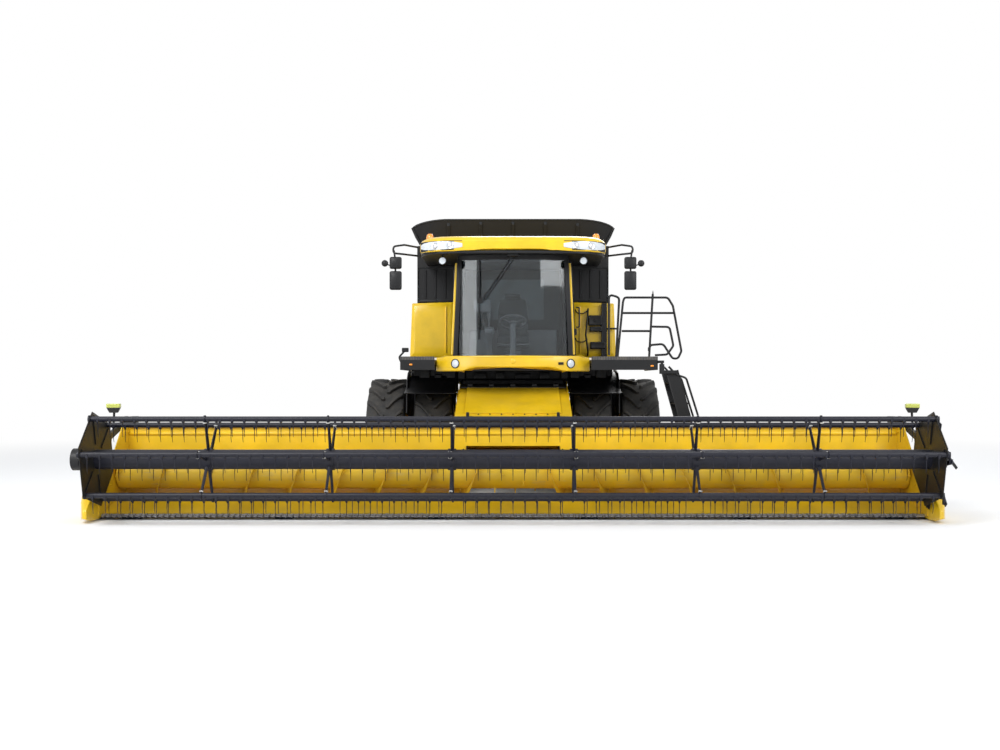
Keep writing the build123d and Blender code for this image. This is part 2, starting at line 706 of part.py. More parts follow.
def header_ends():
    """End sheets with the crop dividers outside them, left side and right side."""
    outline = [
        (BACK_Y + SHEET_T, BACK_BOTTOM_Z), (BACK_Y + SHEET_T, BACK_TOP_Z), (-3000, BACK_TOP_Z),
        (-3500, REEL_LIFT_BASE_Z), (KNIFE_Y - 60, 520), (KNIFE_Y - 60, 60), (-3600, 25), (-3200, 60),
    ]
    sheet = prism_x(outline, HEADER_X, HEADER_X + SHEET_T)
    shaft = barrel_x(AUGER_Y, AUGER_Z, AUGER_SHAFT_R + BEARING_GAP, HEADER_X - 50, HEADER_X + 100)
    x0 = HEADER_X + SHEET_T
    back = [(x0, 30), (DIVIDER_X, 90), (DIVIDER_X, 500), (DIVIDER_X - 50, DIVIDER_TOP_Z), (x0, DIVIDER_TOP_Z)]
    front = [(x0, 40), (x0 + 60, 50), (x0 + 60, 110), (x0 + 40, 130), (x0, 130)]
    mid = [(x0, 30), (DIVIDER_X - 20, 60), (DIVIDER_X - 20, 400), (DIVIDER_X - 70, 480), (x0, 480)]
    sections = [
        Plane.XZ.offset(3350) * face_of(back),
        Plane.XZ.offset(3900) * face_of(mid),
        Plane.XZ.offset(-DIVIDER_TIP_Y) * face_of(front),
    ]
    divider = loft(sections, ruled=True)
    base = barrel_x(REEL_LIFT_BASE_Y, REEL_LIFT_BASE_Z, REEL_PIN_R, x0, ARM_X + 30)
    stem = join(
        block(x0, DIVIDER_X + 25, -2760, -2730, 1120, 1150),
        block(DIVIDER_X - 25, DIVIDER_X + 25, -2770, -2720, 1150, MARKER_Z))
    lamp = block(DIVIDER_X - 100, DIVIDER_X + 90, -2800, -2740, MARKER_Z + SEAT_GAP, MARKER_Z + 90)
    return group(both(join(sheet - shaft, divider, base)), both(stem), both(lamp))


def cutterbar():
    """The knife back with its pointed guards."""
    back = block(-HEADER_X, HEADER_X, KNIFE_Y, KNIFE_Y + 80 - SEAT_GAP, GUARD_TOP_Z - 45, GUARD_TOP_Z - 20)
    plan = []
    count = int(2 * HEADER_X / (2 * GUARD_PITCH))
    start = -count * GUARD_PITCH
    for n in range(count):
        x = start + n * 2 * GUARD_PITCH
        plan.append((x, KNIFE_Y))
        plan.append((x + GUARD_PITCH, GUARD_TIP_Y))
    plan.append((start + 2 * count * GUARD_PITCH, KNIFE_Y))
    plan.append((start + 2 * count * GUARD_PITCH, KNIFE_Y + 30))
    plan.append((start, KNIFE_Y + 30))
    teeth = prism_z(plan, GUARD_TOP_Z - 50, GUARD_TOP_Z - 5)
    return join(back, teeth)


def flight(x0, x1, hand):
    """One screw flight round the auger, as flat facets between inner and outer edge."""
    inner_r = (AUGER_TUBE_R + SEAT_GAP) / cos(pi / FLIGHT_STEPS)
    turns = abs(x1 - x0) / AUGER_PITCH
    steps = int(turns * FLIGHT_STEPS)
    rings = []
    for n in range(steps + 1):
        angle = hand * 2 * pi * n / FLIGHT_STEPS
        x = x0 + (x1 - x0) * n / steps
        ring = []
        for r, dx in ((inner_r, 0), (AUGER_FLIGHT_R, 0), (AUGER_FLIGHT_R, FLIGHT_T), (inner_r, FLIGHT_T)):
            ring.append(Vector(x + dx, AUGER_Y + r * sin(angle), AUGER_Z + r * cos(angle)))
        rings.append(ring)
    faces = []
    for a, b in zip(rings, rings[1:]):
        for k in range(4):
            m = (k + 1) % 4
            faces.append(Face(Wire.make_polygon([a[k], a[m], b[m]], close=True)))
            faces.append(Face(Wire.make_polygon([a[k], b[m], b[k]], close=True)))
    for ring in (rings[0], rings[-1]):
        faces.append(Face(Wire.make_polygon(ring, close=True)))
    return Solid(Shell(faces))


def header_auger():
    tube = barrel_x(AUGER_Y, AUGER_Z, AUGER_TUBE_R, -HEADER_X + 10, HEADER_X - 10)
    shaft = barrel_x(AUGER_Y, AUGER_Z, AUGER_SHAFT_R, -HEADER_X - SHEET_T - 60, HEADER_X + SHEET_T + 60)
    left = flight(HEADER_X - 40, 350, 1)
    right = flight(-HEADER_X + 40, -350, -1)
    return group(join(tube, shaft), left, right)


# Reel

def arm_at(s):
    """Point (Y, Z) on the reel arm's line, s from the pivot towards the reel."""
    run = hypot(REEL_Y - ARM_PIVOT_Y, REEL_Z - ARM_PIVOT_Z)
    return (ARM_PIVOT_Y + (REEL_Y - ARM_PIVOT_Y) * s / run, ARM_PIVOT_Z + (REEL_Z - ARM_PIVOT_Z) * s / run)


def arm_length():
    return hypot(REEL_Y - ARM_PIVOT_Y, REEL_Z - ARM_PIVOT_Z)


def reel_arms():
    """The two arms that hold the reel, with pivot bosses and the lift cylinders' ears."""
    tip = arm_at(arm_length() + ARM_TIP)
    beam = flat_bar((ARM_X, ARM_PIVOT_Y, ARM_PIVOT_Z), (ARM_X, tip[0], tip[1]), ARM_T, ARM_H)
    boss = barrel_x(ARM_PIVOT_Y, ARM_PIVOT_Z, ARM_BOSS_R, ARM_X - ARM_T / 2, ARM_X + ARM_T / 2)
    hole = barrel_x(ARM_PIVOT_Y, ARM_PIVOT_Z, ARM_PIN_R + BEARING_GAP, ARM_X - 100, ARM_X + 100)
    bore = barrel_x(REEL_LIFT_EYE_Y, REEL_LIFT_EYE_Z, REEL_PIN_R + REEL_EYE_DRIFT, ARM_X - 100, ARM_X + 100)
    outline = [
        (REEL_LIFT_EYE_Y - 60, REEL_LIFT_EYE_Z + 90), (REEL_LIFT_EYE_Y + 60, REEL_LIFT_EYE_Z + 90),
        (REEL_LIFT_EYE_Y + 30, REEL_LIFT_EYE_Z - 28), (REEL_LIFT_EYE_Y - 30, REEL_LIFT_EYE_Z - 28),
    ]
    ears = [
        prism_x(outline, x, x + ARM_EAR_T) - bore
        for x in (ARM_X - ARM_EAR_GAP - ARM_EAR_T, ARM_X + ARM_EAR_GAP)
    ]
    return both(join(beam, boss, *ears) - hole)


def reel_carriage():
    """The sleeve that slides on the left arm, and the X of its inner face."""
    half = arm_length()
    a = arm_at(half - CARRIAGE_L / 2)
    b = arm_at(half + CARRIAGE_L / 2)
    wall = 2 * CARRIAGE_WALL
    gap = 2 * BEARING_GAP
    outer = flat_bar((ARM_X, *a), (ARM_X, *b), ARM_T + wall, ARM_H + wall)
    p = arm_at(half - CARRIAGE_L)
    q = arm_at(half + CARRIAGE_L)
    room = flat_bar((ARM_X, *p), (ARM_X, *q), ARM_T + gap, ARM_H + gap)
    return outer - room, ARM_X - ARM_T / 2 - CARRIAGE_WALL


def control_x():
    return REEL_X + SPIDER_T / 2 + CRANK_T + 2 * MOVING_GAP


def reel_bearing(sign):
    """The shaft bearing on the carriage; the left one is the eccentric of the control star."""
    sleeve, x1 = reel_carriage()
    hole = barrel_x(REEL_Y, REEL_Z, REEL_SHAFT_R + BEARING_GAP, 0, ARM_X)
    boss_x0 = control_x() - MOVING_GAP
    if sign > 0:
        boss = barrel_x(REEL_Y, REEL_Z - CRANK, CONTROL_BORE_R, boss_x0, x1)
    else:
        boss = barrel_x(REEL_Y, REEL_Z, REEL_SHAFT_R + 30, boss_x0, x1)
        cover_x = ARM_X + ARM_T / 2 + CARRIAGE_WALL
        sleeve = join(sleeve, barrel_x(REEL_Y, REEL_Z, DRIVE_COVER_R, cover_x, DIVIDER_X))
    return side(join(sleeve, boss) - hole, sign)


def spider_x():
    inner = [(n - (SPIDER_COUNT - 1) / 2) * SPIDER_PITCH for n in range(SPIDER_COUNT)]
    return [-REEL_X] + inner + [REEL_X]


def bat_centres():
    return [polar(REEL_Y, REEL_Z, REEL_BAT_R, REEL_PHASE + n * 360 / REEL_BATS) for n in range(REEL_BATS)]


def reel_core():
    """Centre tube with its shafts, the star spiders that hold the bats and a hexagonal plate at each end."""
    tube = barrel_x(REEL_Y, REEL_Z, REEL_TUBE_R, -REEL_X, REEL_X)
    shaft_end = ARM_X - ARM_T / 2 - CARRIAGE_WALL
    shaft = barrel_x(REEL_Y, REEL_Z, REEL_SHAFT_R, -shaft_end, shaft_end)
    half = BAT_TUBE_R + BEARING_GAP
    angles = [REEL_PHASE + n * 360 / REEL_BATS for n in range(REEL_BATS)]
    spokes = []
    for x in spider_x():
        for angle, (y, z) in zip(angles, bat_centres()):
            near = polar(REEL_Y, REEL_Z, REEL_TUBE_R * 0.8, angle)
            far = polar(REEL_Y, REEL_Z, REEL_BAT_R - EYE_BLOCK / 2 + 1, angle)
            spokes.append(flat_bar((x, near[0], near[1]), (x, far[0], far[1]), SPIDER_T, SPOKE_W))
            turn = Pos(x, y, z) * Rot(-angle, 0, 0)
            eye = turn * Box(SPIDER_T, EYE_BLOCK, EYE_BLOCK)
            spokes.append(eye - turn * Box(2 * SPIDER_T, 2 * half, 2 * half))
    corners = [polar(REEL_Y, REEL_Z, END_PLATE_R, angle) for angle in angles]
    plate = prism_x(corners, REEL_X - END_PLATE_IN, REEL_X - END_PLATE_IN + END_PLATE_T)
    for y, z in bat_centres():
        plate = plate - barrel_x(y, z, BAT_TUBE_R + MOVING_GAP, 0, REEL_X)
    return join(tube, shaft, *spokes, both(plate))


def bat(index):
    """One bat: a tube with tines that hang straight down, and its crank on the left."""
    y, z = bat_centres()[index]
    end = REEL_X + SPIDER_T / 2 + MOVING_GAP
    tube = barrel_x(y, z, BAT_TUBE_R, -end, end)
    count = int((REEL_X - 60) / TINE_PITCH)
    tines = []
    for n in range(-count, count + 1):
        x = n * TINE_PITCH
        if min(abs(x - s) for s in spider_x()) < SPIDER_T / 2 + TINE_W + MOVING_GAP:
            continue
        plan = [(x - TINE_W / 2, y - TINE_W / 2), (x + TINE_W / 2, y - TINE_W / 2), (x, y + TINE_W / 2)]
        tines.append(prism_z(plan, z - TINE_LENGTH, z - BAT_TUBE_R + 3))
    crank = flat_bar((end + CRANK_T / 2, y, z + 30), (end + CRANK_T / 2, y, z - CRANK - 30), CRANK_T, 50)
    pin_end = control_x() + CONTROL_T
    pin = barrel_x(y, z - CRANK, CRANK_PIN_R, end + CRANK_T / 2, pin_end)
    return join(tube, crank, pin, *tines)


def reel_control():
    """The control star: turns with the reel about a lower centre and keeps the tines upright."""
    x0 = control_x()
    cy = REEL_Y
    cz = REEL_Z - CRANK
    hub = barrel_x(cy, cz, CONTROL_HUB_R, x0, x0 + CONTROL_T)
    pieces = [hub]
    holes = [barrel_x(cy, cz, CONTROL_BORE_R + BEARING_GAP, x0 - 50, x0 + 50)]
    for n in range(REEL_BATS):
        angle = REEL_PHASE + n * 360 / REEL_BATS
        near = polar(cy, cz, CONTROL_BORE_R + 15, angle)
        far = polar(cy, cz, REEL_BAT_R + 40, angle)
        mid = x0 + CONTROL_T / 2
        pieces.append(flat_bar((mid, near[0], near[1]), (mid, far[0], far[1]), CONTROL_T, 60))
        y, z = polar(cy, cz, REEL_BAT_R, angle)
        holes.append(barrel_x(y, z, CRANK_PIN_R + BEARING_GAP, x0 - 50, x0 + 50))
    star = join(*pieces)
    for hole in holes:
        star = star - hole
    return star


# Cab

def nose_r():
    return (CAB_X ** 2 + CAB_NOSE ** 2) / (2 * CAB_NOSE)


def nose_centre_y():
    return CAB_CORNER_Y - CAB_NOSE + nose_r()


def nose_arc(radius, half_x, z0, z1):
    """The room in front of the cab within a radius about the windscreen's centre."""
    disc = extrude(Plane(origin=(0, nose_centre_y(), z0)) * Circle(radius), z1 - z0)
    return disc & block(-half_x, half_x, nose_centre_y() - 3000, CAB_CORNER_Y + 400, z0 - 1, z1 + 1)


def cab_floor():
    rear = block(-CAB_X, CAB_X, CAB_CORNER_Y, CAB_REAR_Y, CAB_FLOOR_Z0, CAB_FLOOR_Z1)
    front = nose_arc(nose_r(), CAB_X, CAB_FLOOR_Z0, CAB_FLOOR_Z1)
    return join(rear, front)


def pillar(foot, head, width, depth, z0, z1):
    low = Plane.XY.offset(z0) * Pos(*foot) * Rectangle(width, depth)
    high = Plane.XY.offset(z1) * Pos(*head) * Rectangle(width, depth)
    return loft([low, high], ruled=True)


def cab_frame():
    """Floor pan, pillars, headers over the doors and the rear wall."""
    half = PILLAR_W / 2
    a_foot = (CAB_X - half, CAB_CORNER_Y + half)
    a_head = (CAB_TOP_X - half, CAB_CORNER_Y + half)
    a_post = pillar(a_foot, a_head, PILLAR_W, PILLAR_W, CAB_FLOOR_Z1, CAB_TOP_Z)
    b_foot = (CAB_X - half, B_PILLAR_Y + half)
    b_head = (CAB_TOP_X - half, B_PILLAR_Y + half)
    b_post = pillar(b_foot, b_head, PILLAR_W, PILLAR_W, CAB_FLOOR_Z1, CAB_TOP_Z)
    lean = [
        (CAB_X, CAB_FLOOR_Z1), (CAB_TOP_X, CAB_TOP_Z),
        (CAB_TOP_X - PILLAR_W, CAB_TOP_Z), (CAB_X - PILLAR_W, CAB_FLOOR_Z1),
    ]
    flank = prism_y(lean, B_PILLAR_Y + PILLAR_W, CAB_REAR_Y)
    wall_side = prism_y(lean, CAB_CORNER_Y, CAB_REAR_Y)
    top_rail = wall_side & block(0, CAB_X, CAB_CORNER_Y, CAB_REAR_Y, DOOR_TOP_Z + DOOR_GAP, CAB_TOP_Z)
    rear_outline = [
        (-CAB_X, CAB_FLOOR_Z1), (CAB_X, CAB_FLOOR_Z1), (CAB_TOP_X, CAB_TOP_Z), (-CAB_TOP_X, CAB_TOP_Z),
    ]
    wall = prism_y(rear_outline, CAB_REAR_Y - 50, CAB_REAR_Y)
    view = block(-500, 500, CAB_REAR_Y - 200, CAB_REAR_Y + 200, 2800, 3450)
    front_rail = nose_arc(nose_r(), CAB_TOP_X, CAB_TOP_Z - 60, CAB_TOP_Z)
    front_rail = front_rail - nose_arc(nose_r() - 60, CAB_TOP_X, CAB_TOP_Z - 60, CAB_TOP_Z)
    front_rail = front_rail - block(-2000, 2000, CAB_CORNER_Y, 500, 3000, 4000)
    door_sill = wall_side & block(0, CAB_X, CAB_CORNER_Y, CAB_REAR_Y, CAB_FLOOR_Z1, DOOR_BOTTOM_Z - DOOR_GAP)
    return join(
        *door_hinge_ears(), cab_floor(), both(a_post), both(b_post), both(flank), both(top_rail), both(door_sill),
        wall - view, front_rail)


def windscreen():
    z0 = CAB_FLOOR_Z1
    z1 = CAB_TOP_Z - 60
    ring = nose_arc(nose_r() - 8, CAB_X, z0, z1) - nose_arc(nose_r() - 8 - GLASS_T, 1500, z0 - 1, z1 + 1)
    ring = ring - block(-2000, 2000, CAB_CORNER_Y, 500, z0 - 10, z1 + 10)
    top_x = cab_side_x(z1) - 3
    keep = prism_y([(-CAB_X + 3, z0), (CAB_X - 3, z0), (top_x, z1), (-top_x, z1)], -3000, 0)
    return ring & keep


def side_pane(front_y, rear_y, z0, z1):
    """A pane in the leaning side of the cab, right in the middle of the frame's wall."""
    x0 = cab_side_x(z0) - PILLAR_W / 2
    x1 = cab_side_x(z1) - PILLAR_W / 2
    half = GLASS_T / 2
    return prism_y([(x0 - half, z0), (x0 + half, z0), (x1 + half, z1), (x1 - half, z1)], front_y, rear_y)


def cab_glass():
    low = DOOR_BOTTOM_Z - DOOR_GAP
    right = mirrored(side_pane(CAB_CORNER_Y + PILLAR_W, B_PILLAR_Y, low, DOOR_TOP_Z + DOOR_GAP))
    rear = block(-500, 500, CAB_REAR_Y - 31, CAB_REAR_Y - 19, 2800, 3450)
    return group(windscreen(), right, rear)


def roof_form(inset, z0, z1):
    """The roof's plan, its edge moved in by inset, between two heights."""
    plan = [
        (-ROOF_X, CAB_REAR_Y + 40), (ROOF_X, CAB_REAR_Y + 40), (ROOF_X, -1450), (1300, -1780),
        (900, ROOF_FRONT_Y), (-900, ROOF_FRONT_Y), (-1300, -1780), (-ROOF_X, -1450),
    ]
    outline = face_of(plan)
    if inset:
        outline = offset(outline, -inset, kind=Kind.INTERSECTION)
    return extrude(Plane.XY.offset(z0) * outline, z1 - z0)


def lamp_pod(gap):
    """A front corner of the roof's edge, for the lamps: the pocket when gap is 0, the lamp when it is more."""
    x0, x1, z0, z1 = LAMP_POD
    room = block(x0 + gap, x1 - gap, ROOF_FRONT_Y - 1, CAB_CORNER_Y, z0 + gap, z1 - gap)
    if gap:
        room = room & roof_form(gap, z0, z1)
    return room - roof_form(LAMP_POCKET - (SEAT_GAP if gap else 0), z0 - 1, z1 + 1)


def cab_roof():
    """Slab with rounded rear corners, a chamfered edge and pockets for the front lamps."""
    slab = roof_form(0, CAB_TOP_Z, CAB_TOP_Z + ROOF_H)
    rear = slab.edges().filter_by(Axis.Z).sort_by(Axis.Y)[-2:]
    slab = fillet(rear, ROOF_CORNER)
    slab = chamfer(slab.faces().sort_by(Axis.Z)[-1].edges(), ROOF_EDGE)
    return slab - both(lamp_pod(0))


def cab_side_x(z):
    """Outer face of the leaning cab side at height z."""
    return CAB_X - (CAB_X - CAB_TOP_X) * (z - CAB_FLOOR_Z1) / (CAB_TOP_Z - CAB_FLOOR_Z1)


def door_hinge():
    """Place (X, Y) of the door's upright hinge line."""
    x = cab_side_x(DOOR_BOTTOM_Z) + DOOR_GAP + DOOR_T
    return x, B_PILLAR_Y + 20 + DOOR_HINGE_BACK


def door_hinge_ears():
    x, y = door_hinge()
    pieces = []
    for z in DOOR_HINGES:
        pieces.append(block(CAB_TOP_X - PILLAR_W / 2, x + 12, y - 12, y + 20, z, z + 20))
        pieces.append(bar((x, y, z - 60), (x, y, z + 20), DOOR_PIN_R))
    return pieces


def door():
    """The left door: a leaning frame with its window cut, hinged at the rear."""
    x0 = cab_side_x(DOOR_BOTTOM_Z) + DOOR_GAP
    x1 = cab_side_x(DOOR_TOP_Z) + DOOR_GAP
    front = CAB_CORNER_Y + 20
    rear = B_PILLAR_Y + 20
    lean = [(x0, DOOR_BOTTOM_Z), (x0 + DOOR_T, DOOR_BOTTOM_Z), (x1 + DOOR_T, DOOR_TOP_Z), (x1, DOOR_TOP_Z)]
    slab = prism_y(lean, front, rear)
    window = block(0, 2000, front + 70, rear - 70, DOOR_BOTTOM_Z + 90, DOOR_TOP_Z - 80)
    half = GLASS_T / 2
    mid = DOOR_T / 2
    pane = prism_y(
        [(x0 + mid - half, DOOR_BOTTOM_Z), (x0 + mid + half, DOOR_BOTTOM_Z),
         (x1 + mid + half, DOOR_TOP_Z), (x1 + mid - half, DOOR_TOP_Z)],
        front, rear) & window
    x, y = door_hinge()
    knuckles = []
    for z in DOOR_HINGES:
        sleeve = bar((x, y, z - 60), (x, y, z - SEAT_GAP), DOOR_PIN_R + 8)
        tab = block(cab_side_x(z) + DOOR_GAP + DOOR_T / 2, x + 5, rear - 1, y, z - 60, z - SEAT_GAP)
        knuckles.append(join(sleeve, tab) - bar((x, y, z - 80), (x, y, z + 20), DOOR_PIN_R + BEARING_GAP))
    return join(slab - window, *knuckles), pane


def operator_seat():
    base = block(-130, 130, -900, -560, CAB_FLOOR_Z1, 2380)
    cushion = block(-260, 260, -1010, -500, 2380, 2500)
    back = prism_x([(-560, 2500), (-460, 2500), (-330, 3130), (-430, 3130)], -240, 240)
    return join(base), join(cushion, back)


def steering_console():
    column = prism_x([(-1420, CAB_FLOOR_Z1), (-1340, CAB_FLOOR_Z1), (-1180, 2700), (-1240, 2720)], -50, 50)
    rim_plane = Plane(origin=(0, -1205, 2698), z_dir=(0, 0.35, 1))
    wheel = rim_plane * (Circle(210) - Circle(175))
    spoke = rim_plane * Rectangle(360, 50)
    arm_rest = block(-430, -290, -1050, -520, 2560, 2640)
    arm_foot = block(-410, -310, -760, -620, CAB_FLOOR_Z1, 2560)
    return group(join(column, extrude(wheel, 28), extrude(spoke, 24)), join(arm_rest, arm_foot))


def front_bumper():
    """Curved band under the windscreen, deeper at both ends."""
    band = nose_arc(nose_r() + BUMPER_T, BUMPER_X, BUMPER_Z0, BUMPER_Z1)
    band = band - nose_arc(nose_r() + SEAT_GAP, 3000, BUMPER_Z0 - 1, BUMPER_Z1 + 1)
    band = band - block(-3000, 3000, CAB_CORNER_Y + 200, 500, 1000, 3000)
    band = band - block(-CAB_X, CAB_X, CAB_CORNER_Y, 500, 1000, 3000)
    waist = [
        (-BUMPER_WAIST_X - BUMPER_RISE, BUMPER_Z0 - 1), (BUMPER_WAIST_X + BUMPER_RISE, BUMPER_Z0 - 1),
        (BUMPER_WAIST_X, BUMPER_Z0 + BUMPER_RISE), (-BUMPER_WAIST_X, BUMPER_Z0 + BUMPER_RISE),
    ]
    return band - prism_y(waist, -3000, 500)


def lamps():
    """Lamp pods in the roof's corners, round work lamps under it and the beacons on top."""
    x, y, z = WORK_LAMP
    roof_z = CAB_TOP_Z - SEAT_GAP
    top = CAB_TOP_Z + ROOF_H + SEAT_GAP
    work = join(bar((x, y, z), (x, y + 60, z), WORK_LAMP_R), block(x - 15, x + 15, y + 20, y + 50, z, roof_z))
    beacon = bar((*BEACON, top), (*BEACON, top + BEACON_H), BEACON_R)
    return group(both(lamp_pod(4)), both(work), both(beacon))


def mirrors():
    """A stalk each side with two square heads and a small round one."""
    x = MIRROR_STALK_X
    y = MIRROR_Y[1] + 20
    stalk = pipe([(ROOF_X + SEAT_GAP, -1380, 3780), (1480, -1380, 3780), (x, y, 3780), (x, y, 3150)], RAIL_R)
    heads = [block(*MIRROR_X, *MIRROR_Y, z0, z1) for z0, z1 in ((3150, 3420), (3450, 3660))]
    round_x = MIRROR_X[1] + 40
    clamps = [bar((x, MIRROR_Y[1] - 5, z), (x, y + 5, z), 14) for z in (3570, 3280)]
    small = [
        bar((round_x, MIRROR_Y[0] + 10, 3545), (round_x, MIRROR_Y[1] - 5, 3545), 50),
        bar((x, y, 3545), (round_x, y - 25, 3545), 10),
    ]
    return both(join(stalk, *clamps, *heads, *small))


# Decks, rails and ladder

def deck(outer_x):
    plan = [
        (CAB_X, DECK_REAR_Y), (CAB_X, DECK_STEP_Y), (BUMPER_X + MOVING_GAP, DECK_STEP_Y),
        (BUMPER_X + MOVING_GAP, DECK_FRONT_Y), (outer_x, DECK_FRONT_Y), (outer_x, DECK_REAR_Y),
    ]
    plate = prism_z(plan, DECK_Z - DECK_T, DECK_Z)
    low = DECK_Z - DECK_FASCIA
    front = block(BUMPER_X + MOVING_GAP, outer_x, DECK_FRONT_Y, DECK_FRONT_Y + 30, low, DECK_Z)
    edge = block(outer_x - 30, outer_x, DECK_FRONT_Y, DECK_REAR_Y, DECK_Z - DECK_FASCIA, DECK_Z)
    return join(plate, front, edge)


def decks():
    z0 = DECK_Z - DECK_FASCIA
    x = LADDER_HINGE_X
    y = LADDER_HINGE_Y
    pin = bar((x, y, z0 - 60), (x, y, z0 + 140), LADDER_PIN_R)
    ear_mid = block(DECK_LEFT_X, x + 30, y - 30, y + 60, z0 + 100, z0 + 140)
    left = join(deck(DECK_LEFT_X), ear_mid, pin)
    return group(left, mirrored(deck(DECK_RIGHT_X)))


def railings():
    """Bent tube rails: the left platform's side and front, the cab's grab rail and the right deck's rail."""
    z = DECK_Z
    y = DECK_FRONT_Y + 40
    rear = DECK_REAR_Y - 60
    x = DECK_LEFT_X - 40
    top = z + 1000
    thin = RAIL_R - 3
    middle = (y + rear) / 2
    side_rail = [
        pipe([(x, y, z), (x, y, top), (x, rear, top), (x, rear, z)], RAIL_R),
        bar((x, middle, z), (x, middle, top), RAIL_R),
        bar((x, y, z + 520), (x, rear, z + 520), thin),
    ]
    front = [
        pipe([
            (1556, y, z + 2), (1640, y, 2980), (1700, y, 3050), (2310, y, 3050), (2385, y, 2925),
            (2500, y, 2290), (2470, y, 2190), (2380, y, 2160), (2240, y, 2357), (x, y, 2342)], RAIL_R),
        pipe([
            (x, y, 2616), (2300, y, 2612), (2360, y, 2560), (2390, y, 2330), (2300, y, 2210), (x, y, 2190)], thin),
        bar((1625, y, 2819), (2404, y, 2819), thin),
        bar((1598, y, 2550), (x, y, 2550), thin),
    ]
    grab = pipe([(1250, y, z), (1250, y, 3120), (1400, y, 3120), (1431, y, 3060), (1431, y, z)], RAIL_R)
    xr = -(DECK_RIGHT_X - 40)
    right = [
        pipe([(xr, y, z), (xr, y, top), (xr, rear, top), (xr, rear, z)], RAIL_R),
        bar((xr, y, z + 500), (xr, rear, z + 500), thin),
    ]
    return group(join(*side_rail, *front), grab, join(*right))


def access_ladder():
    """Ladder with five steps between leaning stringers, a hoop each side, on an upright sleeve."""
    y0 = DECK_FRONT_Y + 20
    y1 = y0 + LADDER_W
    run_x = LADDER_FOOT_X - LADDER_TOP_X
    run_z = LADDER_TOP_Z - LADDER_FOOT_Z
    steps = []
    for n in range(LADDER_STEPS):
        t = (n + 0.6) / LADDER_STEPS
        x = LADDER_TOP_X + run_x * t
        z = LADDER_TOP_Z - run_z * t
        steps.append(block(x - 70, x + 110, y0, y1, z - 15, z + 15))
    sides = []
    for y in (y0, y1):
        top = (LADDER_TOP_X, y, LADDER_TOP_Z)
        foot = (LADDER_FOOT_X, y, LADDER_FOOT_Z)
        sides.append(flat_bar(top, foot, 20, 120, across=(0, 1, 0)))
        sides.append(pipe([
            (LADDER_TOP_X - 30, y, LADDER_TOP_Z + 80), (LADDER_TOP_X + 60, y, LADDER_TOP_Z - 30),
            (LADDER_TOP_X + 200, y, LADDER_TOP_Z - 90), (LADDER_FOOT_X + 80, y, LADDER_FOOT_Z + 510),
            (LADDER_FOOT_X - 60, y, LADDER_FOOT_Z + 330)], RAIL_R))
    z0 = DECK_Z - DECK_FASCIA
    pin_x = LADDER_HINGE_X
    pin_y = LADDER_HINGE_Y
    sleeve = bar((pin_x, pin_y, z0 - 60), (pin_x, pin_y, z0 + 90), LADDER_PIN_R + 18)
    hole = bar((pin_x, pin_y, 0), (pin_x, pin_y, 2 * z0), LADDER_PIN_R + BEARING_GAP)
    link = block(pin_x, LADDER_TOP_X + 40, pin_y - 15, pin_y + 40, z0 - 60, z0 - 10)
    return join(*steps, *sides, sleeve, link) - hole


# Grain tank, unloading auger and rear body

def tank_form(inset):
    """The tank's outer form, or its room inside when inset is a wall."""
    x = TANK_X - inset
    y0 = TANK_FRONT_Y + inset
    y1 = TANK_REAR_Y - inset
    shoulder = TANK_SHOULDER_Z + inset / 2
    profile = [
        (-BODY_X + inset, BODY_TOP_Z + inset), (BODY_X - inset, BODY_TOP_Z + inset), (x, shoulder),
        (x, TANK_RECESS_Z - inset), (TANK_RECESS_X - inset, TANK_RECESS_Z - inset),
        (TANK_RECESS_X - inset, TANK_TOP_Z + 2 * inset), (-x, TANK_TOP_Z + 2 * inset), (-x, shoulder),
    ]
    return prism_y(profile, y0, y1)


def grain_tank():
    """Tank with upright ribs on its left wall, the unloading tube's turntable and the shields' hinge pins."""
    deck_z = TANK_RECESS_Z
    turn = bar((UNLOAD_X, UNLOAD_Y, deck_z), (UNLOAD_X, UNLOAD_Y, deck_z + TURN_RING), UNLOAD_R + 25)
    front = block(TANK_RECESS_X, TANK_X, TANK_FRONT_Y, TANK_FRONT_Y + TANK_WALL, deck_z - 10, TANK_TOP_Z)
    ears = [both(ear) for ear in shield_hinges(TANK_FRONT_Y, TANK_REAR_Y, TANK_X)]
    ribs = [
        block(-TANK_X - TANK_RIB, -TANK_X, y, y + 50, TANK_SHOULDER_Z + 300, TANK_TOP_Z)
        for y in (600, 1200, 1800)
    ]
    return join(tank_form(0) - tank_form(TANK_WALL), turn, front, *ears, *ribs)


